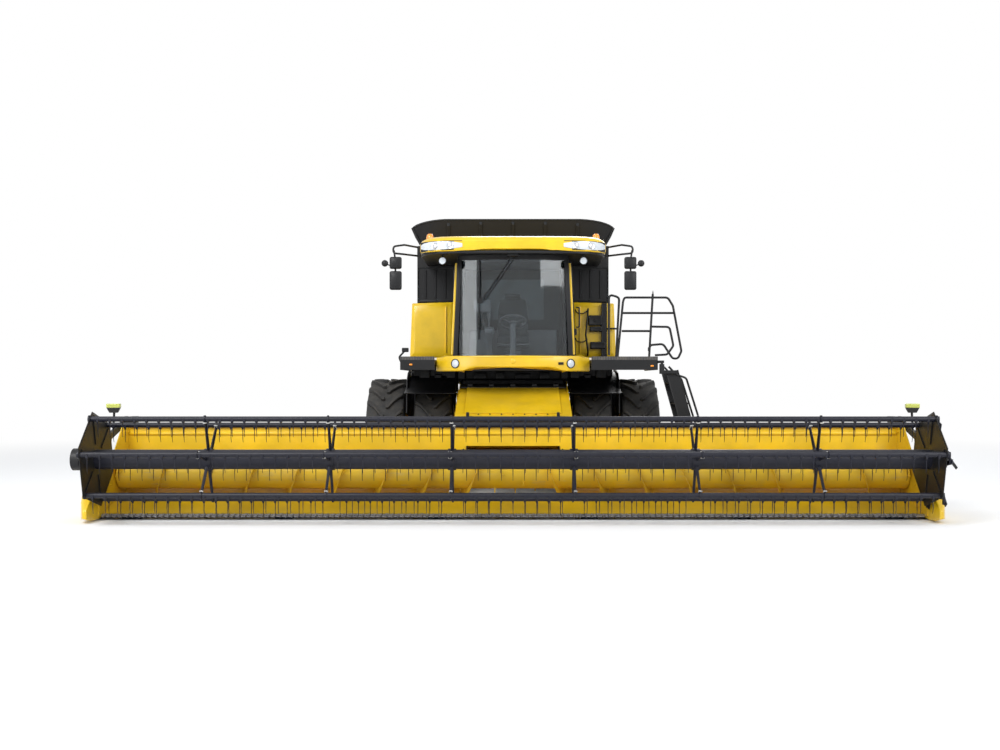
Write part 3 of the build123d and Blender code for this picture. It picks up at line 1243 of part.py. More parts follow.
def tank_extension():
    """Flared extension of the tank, its front and rear cut to the roof-like line, with folds at the corners."""
    y0 = TANK_FRONT_Y + 60
    y1 = TANK_REAR_Y - 60
    grow = (EXT_TIP_X - EXT_FOOT_X) / (EXT_TIP_Z - TANK_TOP_Z)

    def frustum(inset, low, high):
        sections = []
        for z in (low, high):
            flare = grow * (z - TANK_TOP_Z)
            x = EXT_FOOT_X + flare - inset
            front = y0 - flare / 2 + inset
            rear = y1 + flare / 2 - inset
            sections.append(Plane.XY.offset(z) * face_of([(-x, front), (x, front), (x, rear), (-x, rear)]))
        return loft(sections, ruled=True)

    ring = frustum(0, TANK_TOP_Z, EXT_TOP_Z) - frustum(EXT_WALL, TANK_TOP_Z - 1, EXT_TOP_Z + 1)
    rib_form = frustum(-EXT_RIB, TANK_TOP_Z, EXT_TOP_Z) - frustum(EXT_WALL / 2, TANK_TOP_Z - 1, EXT_TOP_Z + 1)
    ribs = [rib_form & both(block(x, x + 40, y0 - 500, y1 + 500, TANK_TOP_Z, EXT_TOP_Z)) for x in (500, 1050)]
    side_ribs = [rib_form & block(-2000, 2000, y, y + 40, TANK_TOP_Z, EXT_TOP_Z) for y in (700, 1660)]
    drop = (EXT_TOP_Z - EXT_TIP_Z) / (EXT_TIP_X - EXT_TOP_X)
    edge_x = EXT_TIP_X + 300
    edge_z = EXT_TIP_Z - 300 * drop
    trim = prism_y(
        [(-edge_x, edge_z), (-EXT_TOP_X, EXT_TOP_Z), (EXT_TOP_X, EXT_TOP_Z), (edge_x, edge_z),
         (edge_x, TANK_TOP_Z), (-edge_x, TANK_TOP_Z)], y0 - 1000, y1 + 1000)
    return join(ring, *ribs, *side_ribs) & trim


def front_panels():
    panel = block(PANEL_INNER_X, PANEL_OUTER_X, TANK_FRONT_Y - PANEL_T, TANK_FRONT_Y, PANEL_Z0, PANEL_Z1)
    upper = block(PANEL_INNER_X, TANK_X, TANK_FRONT_Y - 60, TANK_FRONT_Y, PANEL_Z1, TANK_TOP_Z - 260)
    return both(join(chamfer(panel.edges().filter_by(Axis.Z).sort_by(Axis.X)[-2:], 60))), both(upper)


def unloading_tube():
    """Turntable elbow, long tube with its flanges and the boot that hangs at its end."""
    turn_z = TANK_RECESS_Z + TURN_RING + SEAT_GAP
    riser = bar((UNLOAD_X, UNLOAD_Y, turn_z), (UNLOAD_X, UNLOAD_Y, UNLOAD_Z), UNLOAD_R)
    elbow = Pos(UNLOAD_X, UNLOAD_Y, UNLOAD_Z) * Sphere(UNLOAD_R)
    tube = bar((UNLOAD_X, UNLOAD_Y, UNLOAD_Z), (UNLOAD_X, UNLOAD_END_Y, UNLOAD_Z), UNLOAD_R)
    flanges = [bar((UNLOAD_X, y, UNLOAD_Z), (UNLOAD_X, y + 30, UNLOAD_Z), UNLOAD_R + 18) for y in (700, 2900)]
    boot_y = UNLOAD_END_Y - UNLOAD_R - 30
    boot = bar((UNLOAD_X, boot_y, UNLOAD_Z - SPOUT_L), (UNLOAD_X, boot_y, UNLOAD_Z), UNLOAD_R - 10)
    end_z = UNLOAD_Z - SPOUT_L
    hollow = bar((UNLOAD_X, boot_y, end_z - 10), (UNLOAD_X, boot_y, UNLOAD_Z - 60), UNLOAD_R - 35)
    return join(riser, elbow, tube, *flanges, boot) - hollow


def engine():
    return block(-600, 500, 2750, 4050, BODY_TOP_Z, 3150)


def engine_hood():
    """Hollow hood over the engine: screen opening, louvred left side, exhaust and the unloading tube's saddle."""
    shelf = HOOD_SHELF_Z
    w = HOOD_WALL
    foot = BODY_TOP_Z + 60
    outline = [
        (-HOOD_X, foot), (-HOOD_X, HOOD_TOP_Z), (HOOD_SHELF_X, HOOD_TOP_Z), (HOOD_SHELF_X, shelf),
        (HOOD_X, shelf), (HOOD_X, foot), (BODY_X, BODY_TOP_Z), (-BODY_X, BODY_TOP_Z),
    ]
    room = [
        (-HOOD_X + w, foot + w), (-HOOD_X + w, HOOD_TOP_Z - w), (HOOD_SHELF_X - w, HOOD_TOP_Z - w),
        (HOOD_SHELF_X - w, shelf - w), (HOOD_X - w, shelf - w), (HOOD_X - w, foot + w),
        (BODY_X, BODY_TOP_Z - 10), (-BODY_X, BODY_TOP_Z - 10),
    ]
    body = prism_y(outline, HOOD_Y0, HOOD_Y1) - prism_y(room, HOOD_Y0 + w, HOOD_Y1 - w)
    louvres = [block(HOOD_X - w - 1, HOOD_X + 1, 2900, 4100, z, z + 25) for z in range(2970, 3170, 60)]
    grille = [block(-900, 700, HOOD_Y1 - w - 1, HOOD_Y1 + 1, z, z + 25) for z in range(3100, 3600, 80)]
    screen_hole = barrel_x(SCREEN_Y, SCREEN_Z, SCREEN_R + MOVING_GAP, -HOOD_X - 50, -HOOD_X + w + 5)
    hub = barrel_x(SCREEN_Y, SCREEN_Z, 30, -HOOD_X - SCREEN_T + 40, -600)
    strut = block(-HOOD_X + 60, -HOOD_X + 100, SCREEN_Y - 40, SCREEN_Y + 40, BODY_TOP_Z + 100, HOOD_TOP_Z - w)
    x = UNLOAD_X
    rest_top = UNLOAD_Z - UNLOAD_R + 60
    saddle = block(x - 150, x + 150, SADDLE_Y - 40, SADDLE_Y + 40, shelf, rest_top)
    cradle = bar((x, SADDLE_Y - 100, UNLOAD_Z), (x, SADDLE_Y + 100, UNLOAD_Z), UNLOAD_R + MOVING_GAP)
    swing_room = block(x + 5, x + 400, SADDLE_Y - 100, SADDLE_Y + 100, shelf + 0.5, HOOD_TOP_Z)
    pipe_top = HOOD_TOP_Z + EXHAUST_H
    exhaust = bar((*EXHAUST, HOOD_TOP_Z - w), (*EXHAUST, pipe_top), EXHAUST_R)
    exhaust = exhaust - bar((*EXHAUST, pipe_top - 150), (*EXHAUST, pipe_top + 1), EXHAUST_R - 6)
    ears = [both(ear) for ear in shield_hinges(HOOD_Y0, HOOD_Y1, HOOD_X)]
    shell = body - screen_hole - group(*louvres, *grille)
    return join(shell, hub, strut, exhaust, saddle - cradle - swing_room, *ears)


def radiator_screen():
    """Rotary dust screen with a rim round its face, turning on the hood's hub."""
    out = -HOOD_X - SCREEN_T + 40
    disc = barrel_x(SCREEN_Y, SCREEN_Z, SCREEN_R, out, -HOOD_X + 30)
    face = barrel_x(SCREEN_Y, SCREEN_Z, SCREEN_R - 40, out - 1, out + 10)
    bore = barrel_x(SCREEN_Y, SCREEN_Z, 30 + BEARING_GAP, -HOOD_X - 200, -HOOD_X + 200)
    return disc - face - bore


def shield_hinges(y_from, y_to, wall_x):
    """Hinge pins on a wall, between two Y, with a short ear behind each pin."""
    z = SHIELD_HINGE_Z + HINGE_RISE
    x = SHIELD_X + SHIELD_T / 2
    pieces = []
    for y in HINGE_Y:
        if y_from < y < y_to:
            ear = block(wall_x, x, y + 62, y + 82, z - HINGE_ROD_R, z + HINGE_ROD_R)
            pieces.append(join(ear, bar((x, y - 70, z), (x, y + 82, z), HINGE_ROD_R)))
    return pieces


def side_shield():
    """The big left side panel with pressed swages and vent slots, hinged along its top edge."""
    z1 = SHIELD_HINGE_Z
    outline = [
        (-50, BODY_TOP_Z), (-50, z1), (4650, z1), (4850, 1700),
        (2900, 1600), (2500, 1150), (1250, 1150), (1000, 1950),
    ]
    outer = SHIELD_X + SHIELD_T
    panel = prism_x(outline, SHIELD_X, outer)
    swages = [
        [(150, z1 - 170), (150, z1 - 110), (4500, z1 - 110), (4520, z1 - 170)],
        [(1350, 1900), (1400, 1960), (4600, 2060), (4610, 2000)],
    ]
    ridges = [prism_x(points, outer, outer + 12) for points in swages]
    slots = [block(SHIELD_X - 1, outer + 1, 3100, 4300, z, z + 28) for z in range(2300, 2660, 60)]
    x = SHIELD_X + SHIELD_T / 2
    z = z1 + HINGE_RISE
    sleeves = [bar((x, y - 55, z), (x, y + 55, z), HINGE_ROD_R + 10) for y in HINGE_Y]
    holes = [bar((x, y - 90, z), (x, y + 90, z), HINGE_ROD_R + BEARING_GAP) for y in HINGE_Y]
    return join(panel - group(*slots), *ridges, *sleeves) - group(*holes)


def straw_hood():
    outline = [
        (HOOD_Y1 - 300, BODY_TOP_Z), (HOOD_Y1 - 300, 1700), (4950, 1750), (5150, 2000), (5000, 2650),
        (HOOD_Y1, SHIELD_HINGE_Z), (HOOD_Y1, BODY_TOP_Z),
    ]
    body = prism_x(outline, -STRAW_X, STRAW_X)
    window = prism_x([(5300, 2080), (5080, 2080), (4950, 2560), (5300, 2560)], -STRAW_X + 120, STRAW_X - 120)
    return body - window


def straw_chopper():
    """Closed rotor housing with an open tail where the vanes spread the straw."""
    top = 1749.7
    outline = [
        (FRAME_REAR_Y, BODY_TAIL_Z), (FRAME_REAR_Y, 1250), (4950, 1180), (CHOPPER_Y1, 1300), (4950, top),
        (FRAME_REAR_Y, top - 50),
    ]
    mouth = prism_x([(5400, 1240), (5020, 1240), (5020, 1560), (5400, 1560)], -STRAW_X + 30, STRAW_X - 30)
    housing = prism_x(outline, -STRAW_X, STRAW_X) - mouth
    pitch = 2 * (STRAW_X - 60) / (VANES - 1)
    vanes = [
        prism_x([(5010, 1190), (CHOPPER_Y1 - 25, 1300), (5010, 1600)], x - VANE_T / 2, x + VANE_T / 2)
        for x in (-STRAW_X + 60 + n * pitch for n in range(VANES))
    ]
    return join(housing, *vanes)


# The whole machine

def build():
    nodes = {}
    nodes["main_frame"] = main_frame()
    nodes["threshing_body"] = threshing_body()
    nodes["front_axle"] = front_axle()
    nodes["rear_axle"] = rear_axle()
    for name, sign in (("left", 1), ("right", -1)):
        nodes[f"front_{name}_tyres"] = side(front_tyres(), sign)
        nodes[f"front_{name}_rims"] = side(front_rims(), sign)
        nodes[f"rear_{name}_tyre"] = side(rear_tyre(), sign)
        nodes[f"rear_{name}_rim"] = side(rear_rim(), sign)
        nodes[f"rear_{name}_knuckle"] = side(knuckle(), sign)
        nodes[f"{name}_shield"] = side(side_shield(), sign)
    nodes["tie_rod"] = tie_rod()
    nodes["feeder_house"] = feeder_house()
    barrels, rods = cylinder_pair(
        LIFT_X, (LIFT_BASE_Y, LIFT_BASE_Z), (LIFT_EYE_Y, LIFT_EYE_Z), LIFT_BARREL_R, LIFT_ROD_R, LIFT_PIN_R, 40)
    nodes["lift_barrels"] = barrels
    nodes["lift_rods"] = rods
    nodes["header_frame"] = header_frame()
    nodes["header_shell"] = header_shell()
    nodes["header_ends"] = header_ends()
    nodes["cutterbar"] = cutterbar()
    nodes["header_auger"] = header_auger()
    nodes["reel_arms"] = reel_arms()
    nodes["reel_carriage"] = group(reel_bearing(1), reel_bearing(-1))
    nodes["reel_core"] = reel_core()
    nodes["reel_control"] = reel_control()
    for n in range(REEL_BATS):
        nodes[f"bat_{n + 1}"] = bat(n)
    barrels, rods = cylinder_pair(
        ARM_X, (REEL_LIFT_BASE_Y, REEL_LIFT_BASE_Z), (REEL_LIFT_EYE_Y, REEL_LIFT_EYE_Z),
        REEL_BARREL_R, REEL_ROD_R, REEL_PIN_R, 12)
    nodes["reel_lift_barrels"] = barrels
    nodes["reel_lift_rods"] = rods
    nodes["cab_frame"] = cab_frame()
    nodes["cab_glass"] = cab_glass()
    nodes["cab_roof"] = cab_roof()
    nodes["cab_door"], nodes["cab_door_glass"] = door()
    seat_base, nodes["seat_cushion"] = operator_seat()
    nodes["cab_controls"] = group(seat_base, steering_console())
    nodes["front_bumper"] = front_bumper()
    nodes["lamps"] = lamps()
    nodes["mirrors"] = mirrors()
    nodes["decks"] = decks()
    nodes["railings"] = railings()
    nodes["access_ladder"] = access_ladder()
    nodes["grain_tank"] = grain_tank()
    nodes["tank_extension"] = tank_extension()
    nodes["front_panels"] = group(*front_panels())
    nodes["unloading_tube"] = unloading_tube()
    nodes["engine"] = engine()
    nodes["engine_hood"] = engine_hood()
    nodes["radiator_screen"] = radiator_screen()
    nodes["straw_hood"] = straw_hood()
    nodes["straw_chopper"] = straw_chopper()
    return nodes


os.makedirs("parts", exist_ok=True)
machine = build()
boxes = [shape.bounding_box() for shape in machine.values()]
middle_y = (min(b.min.Y for b in boxes) + max(b.max.Y for b in boxes)) / 2
for node, shape in machine.items():
    export_step(Pos(0, -middle_y, 0) * shape, f"parts/{node}.step")
print("shift_y", round(-middle_y, 4))
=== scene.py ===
from math import asin, atan2, cos, pi, radians, sin

import bmesh
import bpy
from mathutils import Matrix, Vector


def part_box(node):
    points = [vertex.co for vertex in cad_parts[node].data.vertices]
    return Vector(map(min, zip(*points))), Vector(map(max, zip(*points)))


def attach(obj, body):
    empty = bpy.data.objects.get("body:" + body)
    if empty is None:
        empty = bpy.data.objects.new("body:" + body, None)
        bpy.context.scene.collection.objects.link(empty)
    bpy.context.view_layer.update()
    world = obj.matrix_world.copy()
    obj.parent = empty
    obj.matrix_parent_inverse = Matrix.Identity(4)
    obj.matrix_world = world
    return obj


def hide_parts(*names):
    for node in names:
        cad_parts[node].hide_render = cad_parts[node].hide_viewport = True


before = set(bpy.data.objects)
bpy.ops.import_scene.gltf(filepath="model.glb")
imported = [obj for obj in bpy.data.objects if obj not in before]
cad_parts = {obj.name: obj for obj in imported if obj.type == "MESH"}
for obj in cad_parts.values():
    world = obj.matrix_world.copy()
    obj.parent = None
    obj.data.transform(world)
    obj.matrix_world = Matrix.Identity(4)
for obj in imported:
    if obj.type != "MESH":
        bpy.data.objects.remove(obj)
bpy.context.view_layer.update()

# Metres. Pieces are modelled with Y counted from the front axle and moved to the frame by settle().
low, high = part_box("front_left_tyres")
AXLE_Y = (low.y + high.y) / 2

# Sizes shared by pieces, as in the frame
FRONT_R, FRONT_W, FRONT_RIM_R = 0.920, 0.620, 0.483
REAR_R, REAR_W, REAR_RIM_R = 0.745, 0.590, 0.356
WHEELBASE = 3.750
FRONT_X = (1.262, 2.017)
REAR_X = 1.450
HEADER_X, DIVIDER_X, DIVIDER_TOP = 5.350, 5.560, 0.610
BACK_Y, BACK_TOP, OPENING_X = -2.745, 1.180, 0.640
KNIFE_Y, GUARD_PITCH = -3.800, 0.0762
REEL_Y, REEL_Z, REEL_BAT_R, REEL_PHASE, REEL_BATS = -4.150, 0.810, 0.550, 10.0, 6
REEL_X, SPIDER_PITCH, REEL_TUBE_R, REEL_SHAFT_R = 5.290, 1.540, 0.125, 0.045
BAT_TUBE_R, TINE_PITCH, TINE_LENGTH, CRANK, CONTROL_END = 0.034, 0.1524, 0.225, 0.090, 5.343
END_PLATE_R, END_PLATE_TURN = 0.628, 6.0
REEL_BASE, REEL_PIN_R, ARM_X = (-2.960, 0.640), 0.012, 5.420
AUGER_Y, AUGER_Z, AUGER_TUBE_R, AUGER_FLIGHT_R, AUGER_PITCH = -3.080, 0.545, 0.205, 0.305, 0.600
NOSE_Y, NOSE_R = -0.0723, 1.6877
PLATFORM_Y, PLATFORM_Z = -1.66, 2.12
TANK_FOOT, TANK_FRONT, TANK_REAR, TANK_LEAN = 3.900, -0.040, 2.440, 0.275

# Camera, as in the photo, and lights: name, place, size and watts
CAMERA_AHEAD, CAMERA_HEIGHT, LENS_MM, SENSOR_MM, LENS_SHIFT = 18.15, 1.79, 39.8, 36, (-0.013, 0.007)
LIGHTS_AIM = Vector((0, 0, 1.5))
LIGHTS = (
    ("key", (-9, -16, 14), 9.0, 2600.0),
    ("fill", (12, -14, 9), 9.0, 1300.0),
    ("rear", (3, 16, 12), 9.0, 1500.0),
    ("side", (-13, -13, 3.6), 5.0, 330.0),
)

AXES = {"X": Vector((1, 0, 0)), "Y": Vector((0, 1, 0)), "Z": Vector((0, 0, 1))}
OUTWARDS = {"X": AXES["Z"], "Y": AXES["Z"], "Z": AXES["X"]}


# Modelling steps, as by hand

def fresh():
    """Object mode with nothing selected."""
    if bpy.context.mode != "OBJECT":
        bpy.ops.object.mode_set(mode="OBJECT")
    bpy.ops.object.select_all(action="DESELECT")


def only(o):
    fresh()
    o.select_set(True)
    bpy.context.view_layer.objects.active = o
    return o


def applied(o):
    only(o)
    bpy.ops.object.transform_apply(location=True, rotation=True, scale=True)
    return o


def cube(name, a, b):
    """A box between two opposite corners."""
    fresh()
    lo, hi = (Vector([pick(pair) for pair in zip(a, b)]) for pick in (min, max))
    bpy.ops.mesh.primitive_cube_add(size=1, location=(lo + hi) / 2)
    o = bpy.context.object
    o.name = name
    o.scale = hi - lo
    return applied(o)


def cylinder(name, centre, r, depth, axis="X", sides=32):
    fresh()
    turn = {"X": (0, pi / 2, 0), "Y": (pi / 2, 0, 0), "Z": (0, 0, 0)}[axis]
    bpy.ops.mesh.primitive_cylinder_add(vertices=sides, radius=r, depth=depth, location=centre, rotation=turn)
    o = bpy.context.object
    o.name = name
    return applied(o)


def bolts(places, r, height, axis="Y", sides=6):
    return [cylinder("bolt", place, r, height, axis, sides) for place in places]


def edit(o):
    only(o)
    bpy.ops.object.mode_set(mode="EDIT")
    bpy.ops.mesh.select_mode(type="FACE")
    bpy.ops.mesh.select_all(action="DESELECT")


def choose(o, faces=None, edges=None, verts=None):
    """In edit mode, selects by a test on each face's centre and normal, or each edge's or vertex's place."""
    bm = bmesh.from_edit_mesh(o.data)
    bpy.ops.mesh.select_all(action="DESELECT")
    if faces:
        bpy.ops.mesh.select_mode(type="FACE")
        for f in bm.faces:
            if faces(f.calc_center_median(), f.normal):
                f.select_set(True)
    if edges:
        bpy.ops.mesh.select_mode(type="EDGE")
        for e in bm.edges:
            if edges(e.verts[0].co, e.verts[1].co):
                e.select_set(True)
    if verts:
        bpy.ops.mesh.select_mode(type="VERT")
        for v in bm.verts:
            if verts(v.co):
                v.select_set(True)
    bmesh.update_edit_mesh(o.data)


def inset(thickness, depth=0.0, single=False):
    bpy.ops.mesh.inset(thickness=thickness, depth=depth, use_individual=single)


def extrude(move):
    bpy.ops.mesh.extrude_region_move(TRANSFORM_OT_translate={"value": move})


def shift_chosen(move):
    bpy.ops.transform.translate(value=move)


def rotate_chosen(angle, axis, centre=(0, 0, 0)):
    """Turns what is selected about a line through the centre, right-handed like Matrix.Rotation."""
    bpy.ops.transform.rotate(value=-angle, orient_axis=axis, center_override=centre)


def resize_chosen(value, centre):
    bpy.ops.transform.resize(value=value, center_override=centre)


def choose_side(o, side):
    """Selects the faces that look along an axis: "+X", "-Z", or "Y" for both ways."""
    axis = "XYZ".index(side[-1])
    sign = {"+": 1, "-": -1}.get(side[0])
    choose(o, faces=lambda c, n: (sign * n[axis] if sign else abs(n[axis])) > 0.9)


def pressed(o, side, *steps, single=False):
    """Insets the faces on a side by each (thickness, depth) in turn."""
    edit(o)
    choose_side(o, side)
    for thickness, depth in steps:
        inset(thickness, depth, single)
    fresh()
    return o


def recessed(o, side, border, depth):
    """Sinks the faces on a side behind a border with upright walls."""
    edit(o)
    choose_side(o, side)
    inset(border)
    extrude(-depth * AXES[side[1]])
    fresh()
    return o


def modified(o, kind, **values):
    """Adds a modifier with these values and applies it."""
    only(o)
    m = o.modifiers.new(kind.title(), kind)
    for key, value in values.items():
        setattr(m, key, value)
    bpy.ops.object.modifier_apply(modifier=m.name)
    return o


def bevelled(o, width, segments=2, angle=35):
    return modified(o, "BEVEL", width=width, segments=segments, limit_method="ANGLE",
                    angle_limit=radians(angle), use_clamp_overlap=True)


def cleaned(o):
    """Merges doubles and turns the faces outwards."""
    edit(o)
    bpy.ops.mesh.select_all(action="SELECT")
    bpy.ops.mesh.remove_doubles(threshold=0.00005)
    bpy.ops.mesh.normals_make_consistent(inside=False)
    fresh()
    return o


def smooth(o, angle=35):
    only(o)
    bpy.ops.object.shade_smooth_by_angle(angle=radians(angle))
    return o


def row_of(o, count, step):
    """Repeats a piece in a straight row."""
    return modified(o, "ARRAY", count=count, use_relative_offset=False, use_constant_offset=True,
                    constant_offset_displace=step)


def shifted(o, move):
    o.data.transform(Matrix.Translation(Vector(move)))
    return o


def turned(o, angle, axis, centre=None):
    """Turns a piece about an axis through the origin or a centre."""
    if centre is not None:
        shifted(o, -Vector(centre))
    o.data.transform(Matrix.Rotation(angle, 4, axis))
    return o if centre is None else shifted(o, centre)


def flipped(o):
    """Turns a piece into its mirror image, faces outwards."""
    o.data.transform(Matrix.Scale(-1, 4, (1, 0, 0)))
    o.data.flip_normals()
    return o


def copy_of(o, move=(0, 0, 0), turn=None):
    """A copy with its own mesh, turned about the X axis and then moved."""
    only(o)
    bpy.ops.object.duplicate()
    new = bpy.context.object
    if turn is not None:
        turned(new, turn, "X")
    return shifted(new, move)


def mirrored(o):
    """A mirror image on the other side of the machine."""
    return flipped(copy_of(o))


def joined(name, pieces):
    fresh()
    for p in pieces:
        p.select_set(True)
    bpy.context.view_layer.objects.active = pieces[0]
    bpy.ops.object.join()
    o = bpy.context.object
    o.name = name
    return o


def both_sides(name, pieces):
    return joined(name, pieces + [mirrored(p) for p in pieces])


def tube(name, points, r, closed=False, sides=3, smooth_path=False):
    """A round pipe along points, drawn as a curve with a round bevel."""
    fresh()
    bpy.ops.curve.primitive_bezier_curve_add()
    o = bpy.context.object
    o.name = name
    c = o.data
    c.splines.clear()
    s = c.splines.new("NURBS" if smooth_path else "POLY")
    s.points.add(len(points) - 1)
    for p, q in zip(s.points, points):
        p.co = (*q, 1)
    s.use_cyclic_u = closed
    if smooth_path:
        s.order_u = 3
        s.use_endpoint_u = not closed
        s.resolution_u = 4
    c.dimensions = "3D"
    c.bevel_depth = r
    c.bevel_resolution = sides
    c.use_fill_caps = not closed
    only(o)
    bpy.ops.object.convert(target="MESH")
    return bpy.context.object


def rounded(points, r, steps=4):
    """A path with each inner corner replaced by an arc of radius r."""
    points = [Vector(p) for p in points]
    out = [points[0]]
    for a, b, c in zip(points, points[1:], points[2:]):
        u, v = (a - b).normalized(), (c - b).normalized()
        half = u.angle(v) / 2
        cut = min(r / max(sin(half) / max(cos(half), 1e-6), 1e-6), (a - b).length * 0.45,
                  (c - b).length * 0.45)
        for n in range(steps + 1):
            t = n / steps
            out.append(b + u * cut * (1 - t) ** 2 + v * cut * t ** 2)
    return out + [points[-1]]


def drawn(name, start, moves):
    """A line of edges in edit mode: one vertex put at the start and extruded by each move."""
    fresh()
    bpy.ops.mesh.primitive_plane_add(size=0.1)
    o = bpy.context.object
    o.name = name
    edit(o)
    bpy.ops.mesh.select_mode(type="VERT")
    bpy.ops.mesh.select_all(action="SELECT")
    bpy.ops.mesh.merge(type="CENTER")
    shift_chosen(start)
    for move in moves:
        extrude(move)
    bpy.ops.mesh.select_all(action="SELECT")
    return o


def lathe(name, profile, centre, axis="X", steps=48):
    """A turned form: a profile of (along, radius), drawn and then spun."""
    along, out, centre = AXES[axis], OUTWARDS[axis], Vector(centre)
    o = drawn(name, centre + along * profile[0][0] + out * profile[0][1],
              [along * (b[0] - a[0]) + out * (b[1] - a[1]) for a, b in zip(profile, profile[1:])])
    bpy.ops.mesh.spin(steps=steps, angle=2 * pi, center=centre, axis=along)
    return cleaned(o)


def plate(name, outline, low_end, high_end, axis="X"):
    """A flat plate: an outline, drawn, filled and extruded along an axis.
    The outline holds (Y, Z) for axis X, (X, Z) for Y and (X, Y) for Z."""
    at = "XYZ".index(axis)
    spots = [Vector((*p[:at], low_end, *p[at:])) for p in outline]
    o = drawn(name, spots[0], [b - a for a, b in zip(spots, spots[1:])])
    bpy.ops.mesh.edge_face_add()
    bpy.ops.mesh.select_all(action="SELECT")
    extrude(AXES[axis] * (high_end - low_end))
    return cleaned(o)


def settle(o, body, material, replaces=()):
    """Puts a finished piece in the frame, with its material, body and the nodes that it stands for."""
    only(o)
    shifted(o, (0, AXLE_Y, 0))
    o.data.update()
    o.data.materials.clear()
    o.data.materials.append(material)
    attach(o, body)
    if replaces:
        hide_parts(*replaces)
    return o


def polar(y, z, r, angle):
    """A point (Y, Z) at radius r; the angle counts from straight ahead, upwards."""
    return y - r * cos(radians(angle)), z + r * sin(radians(angle))


def removed(*objects):
    for o in objects:
        only(o)
        bpy.ops.object.delete()


# Shader nodes

def put(tree, socket, value):
    """Sets a socket's value, or links it where the value is an output."""
    if isinstance(value, bpy.types.NodeSocket):
        tree.links.new(value, socket)
    else:
        socket.default_value = value


def fill(tree, n, inputs):
    for key, value in inputs.items():
        put(tree, n.inputs[key], value)


def node(tree, kind, inputs=None, **settings):
    """A node with its settings, and its inputs by name or number."""
    n = tree.nodes.new(kind)
    for key, value in settings.items():
        setattr(n, key, value)
    fill(tree, n, inputs or {})
    return n


def group(name, inputs, outputs):
    """A node group with float sockets: its tree, what it is given and its output node."""
    g = bpy.data.node_groups.new(name, "ShaderNodeTree")
    for label, default in inputs.items():
        g.interface.new_socket(label, in_out="INPUT", socket_type="NodeSocketFloat").default_value = default
    for label in outputs:
        g.interface.new_socket(label, in_out="OUTPUT", socket_type="NodeSocketFloat")
    return g, g.nodes.new("NodeGroupInput").outputs, g.nodes.new("NodeGroupOutput")


def here(tree):
    """The piece's Object coordinates."""
    return tree.nodes.new("ShaderNodeTexCoord").outputs["Object"]


def split(tree, vector=None):
    return node(tree, "ShaderNodeSeparateXYZ", {"Vector": here(tree) if vector is None else vector}).outputs


def stretched(tree, scale):
    return node(tree, "ShaderNodeMapping", {"Scale": scale, "Vector": here(tree)}).outputs["Vector"]


def noise(tree, scale, detail=4.0, rough=0.55, vector=None):
    """Clouds on the Object coordinates, or on another vector."""
    inputs = {"Scale": scale, "Detail": detail, "Roughness": rough,
              "Vector": here(tree) if vector is None else vector}
    return node(tree, "ShaderNodeTexNoise", inputs).outputs["Fac"]


def ramp(tree, value, low_at, high_at):
    """A smooth rise from 0 to 1 between two values."""
    inputs = {"From Min": low_at, "From Max": high_at, "Value": value}
    return node(tree, "ShaderNodeMapRange", inputs, interpolation_type="SMOOTHSTEP").outputs["Result"]


def patches(tree, low_at, high_at, *how, **where):
    return ramp(tree, noise(tree, *how, **where), low_at, high_at)


def maths(tree, kind, a, b=None):
    return node(tree, "ShaderNodeMath", {0: a} if b is None else {0: a, 1: b}, operation=kind).outputs[0]


def plus(tree, a, b):
    return maths(tree, "ADD", a, b)


def times(tree, a, b):
    return maths(tree, "MULTIPLY", a, b)


def wave(tree, along, count):
    return maths(tree, "SINE", times(tree, along, count))


def from_grid(tree, a, b, half_pitch):
    """Distance from the nearest point of a square grid."""
    a, b = (maths(tree, "PINGPONG", v, half_pitch) for v in (a, b))
    return maths(tree, "SQRT", plus(tree, times(tree, a, a), times(tree, b, b)))


def mixed(tree, factor, a, b):
    """Colour a, or b where the factor is 1."""
    return node(tree, "ShaderNodeMix", {0: factor, 6: a, 7: b}, data_type="RGBA").outputs[2]


def shade(colour, factor=1.0):
    """A colour as RGBA, darker or lighter by a factor."""
    return (*(min(c * factor, 1) for c in colour), 1)


def dust_group():
    """Mask of field dust: more on upward faces, low down and in cloudy patches."""
    g, given, result = group("field_dust", {"Amount": 0.5, "Low": 0.0, "High": 2.5, "Scale": 3.0}, ("Mask",))
    height = node(g, "ShaderNodeMapRange", {"To Min": 1.0, "To Max": 0.12, "Value": split(g)["Z"],
                                            "From Min": given["Low"], "From Max": given["High"]})
    up = ramp(g, split(g, g.nodes.new("ShaderNodeTexCoord").outputs["Normal"])["Z"], 0.1, 0.95)
    place = plus(g, height.outputs["Result"], times(g, up, 0.45))
    cloudy = times(g, place, patches(g, 0.32, 0.72, given["Scale"], 6.0, 0.65))
    mask = times(g, cloudy, plus(g, times(g, patches(g, 0.2, 0.8, 60.0, 3.0), 0.5), 0.6))
    fill(g, result, {"Mask": maths(g, "MINIMUM", times(g, mask, given["Amount"]), 1.0)})
    return g


def wear_group():
    """Mask of small chips and scratches, and a height for a fine skin texture."""
    g, given, result = group("chips_and_skin", {"Amount": 0.3, "Scale": 8.0, "Skin Scale": 180.0},
                             ("Mask", "Height"))
    chips = patches(g, 0.66, 0.72, given["Scale"], 8.0, 0.7)
    scratches = patches(g, 0.70, 0.74, 22.0, 6.0, 0.6, vector=stretched(g, (1.0, 0.25, 6.0)))
    fill(g, result, {"Mask": times(g, maths(g, "MAXIMUM", chips, scratches), given["Amount"]),
                     "Height": noise(g, given["Skin Scale"], 2.0)})
    return g


DUST = dust_group()
WEAR = wear_group()


def placed(tree, which, **values):
    """Outputs of a shared group with its inputs' values."""
    n = node(tree, "ShaderNodeGroup", node_tree=which)
    fill(tree, n, {key.replace("_", " "): value for key, value in values.items()})
    return n.outputs


def dust(tree, **values):
    return placed(tree, DUST, **values)["Mask"]


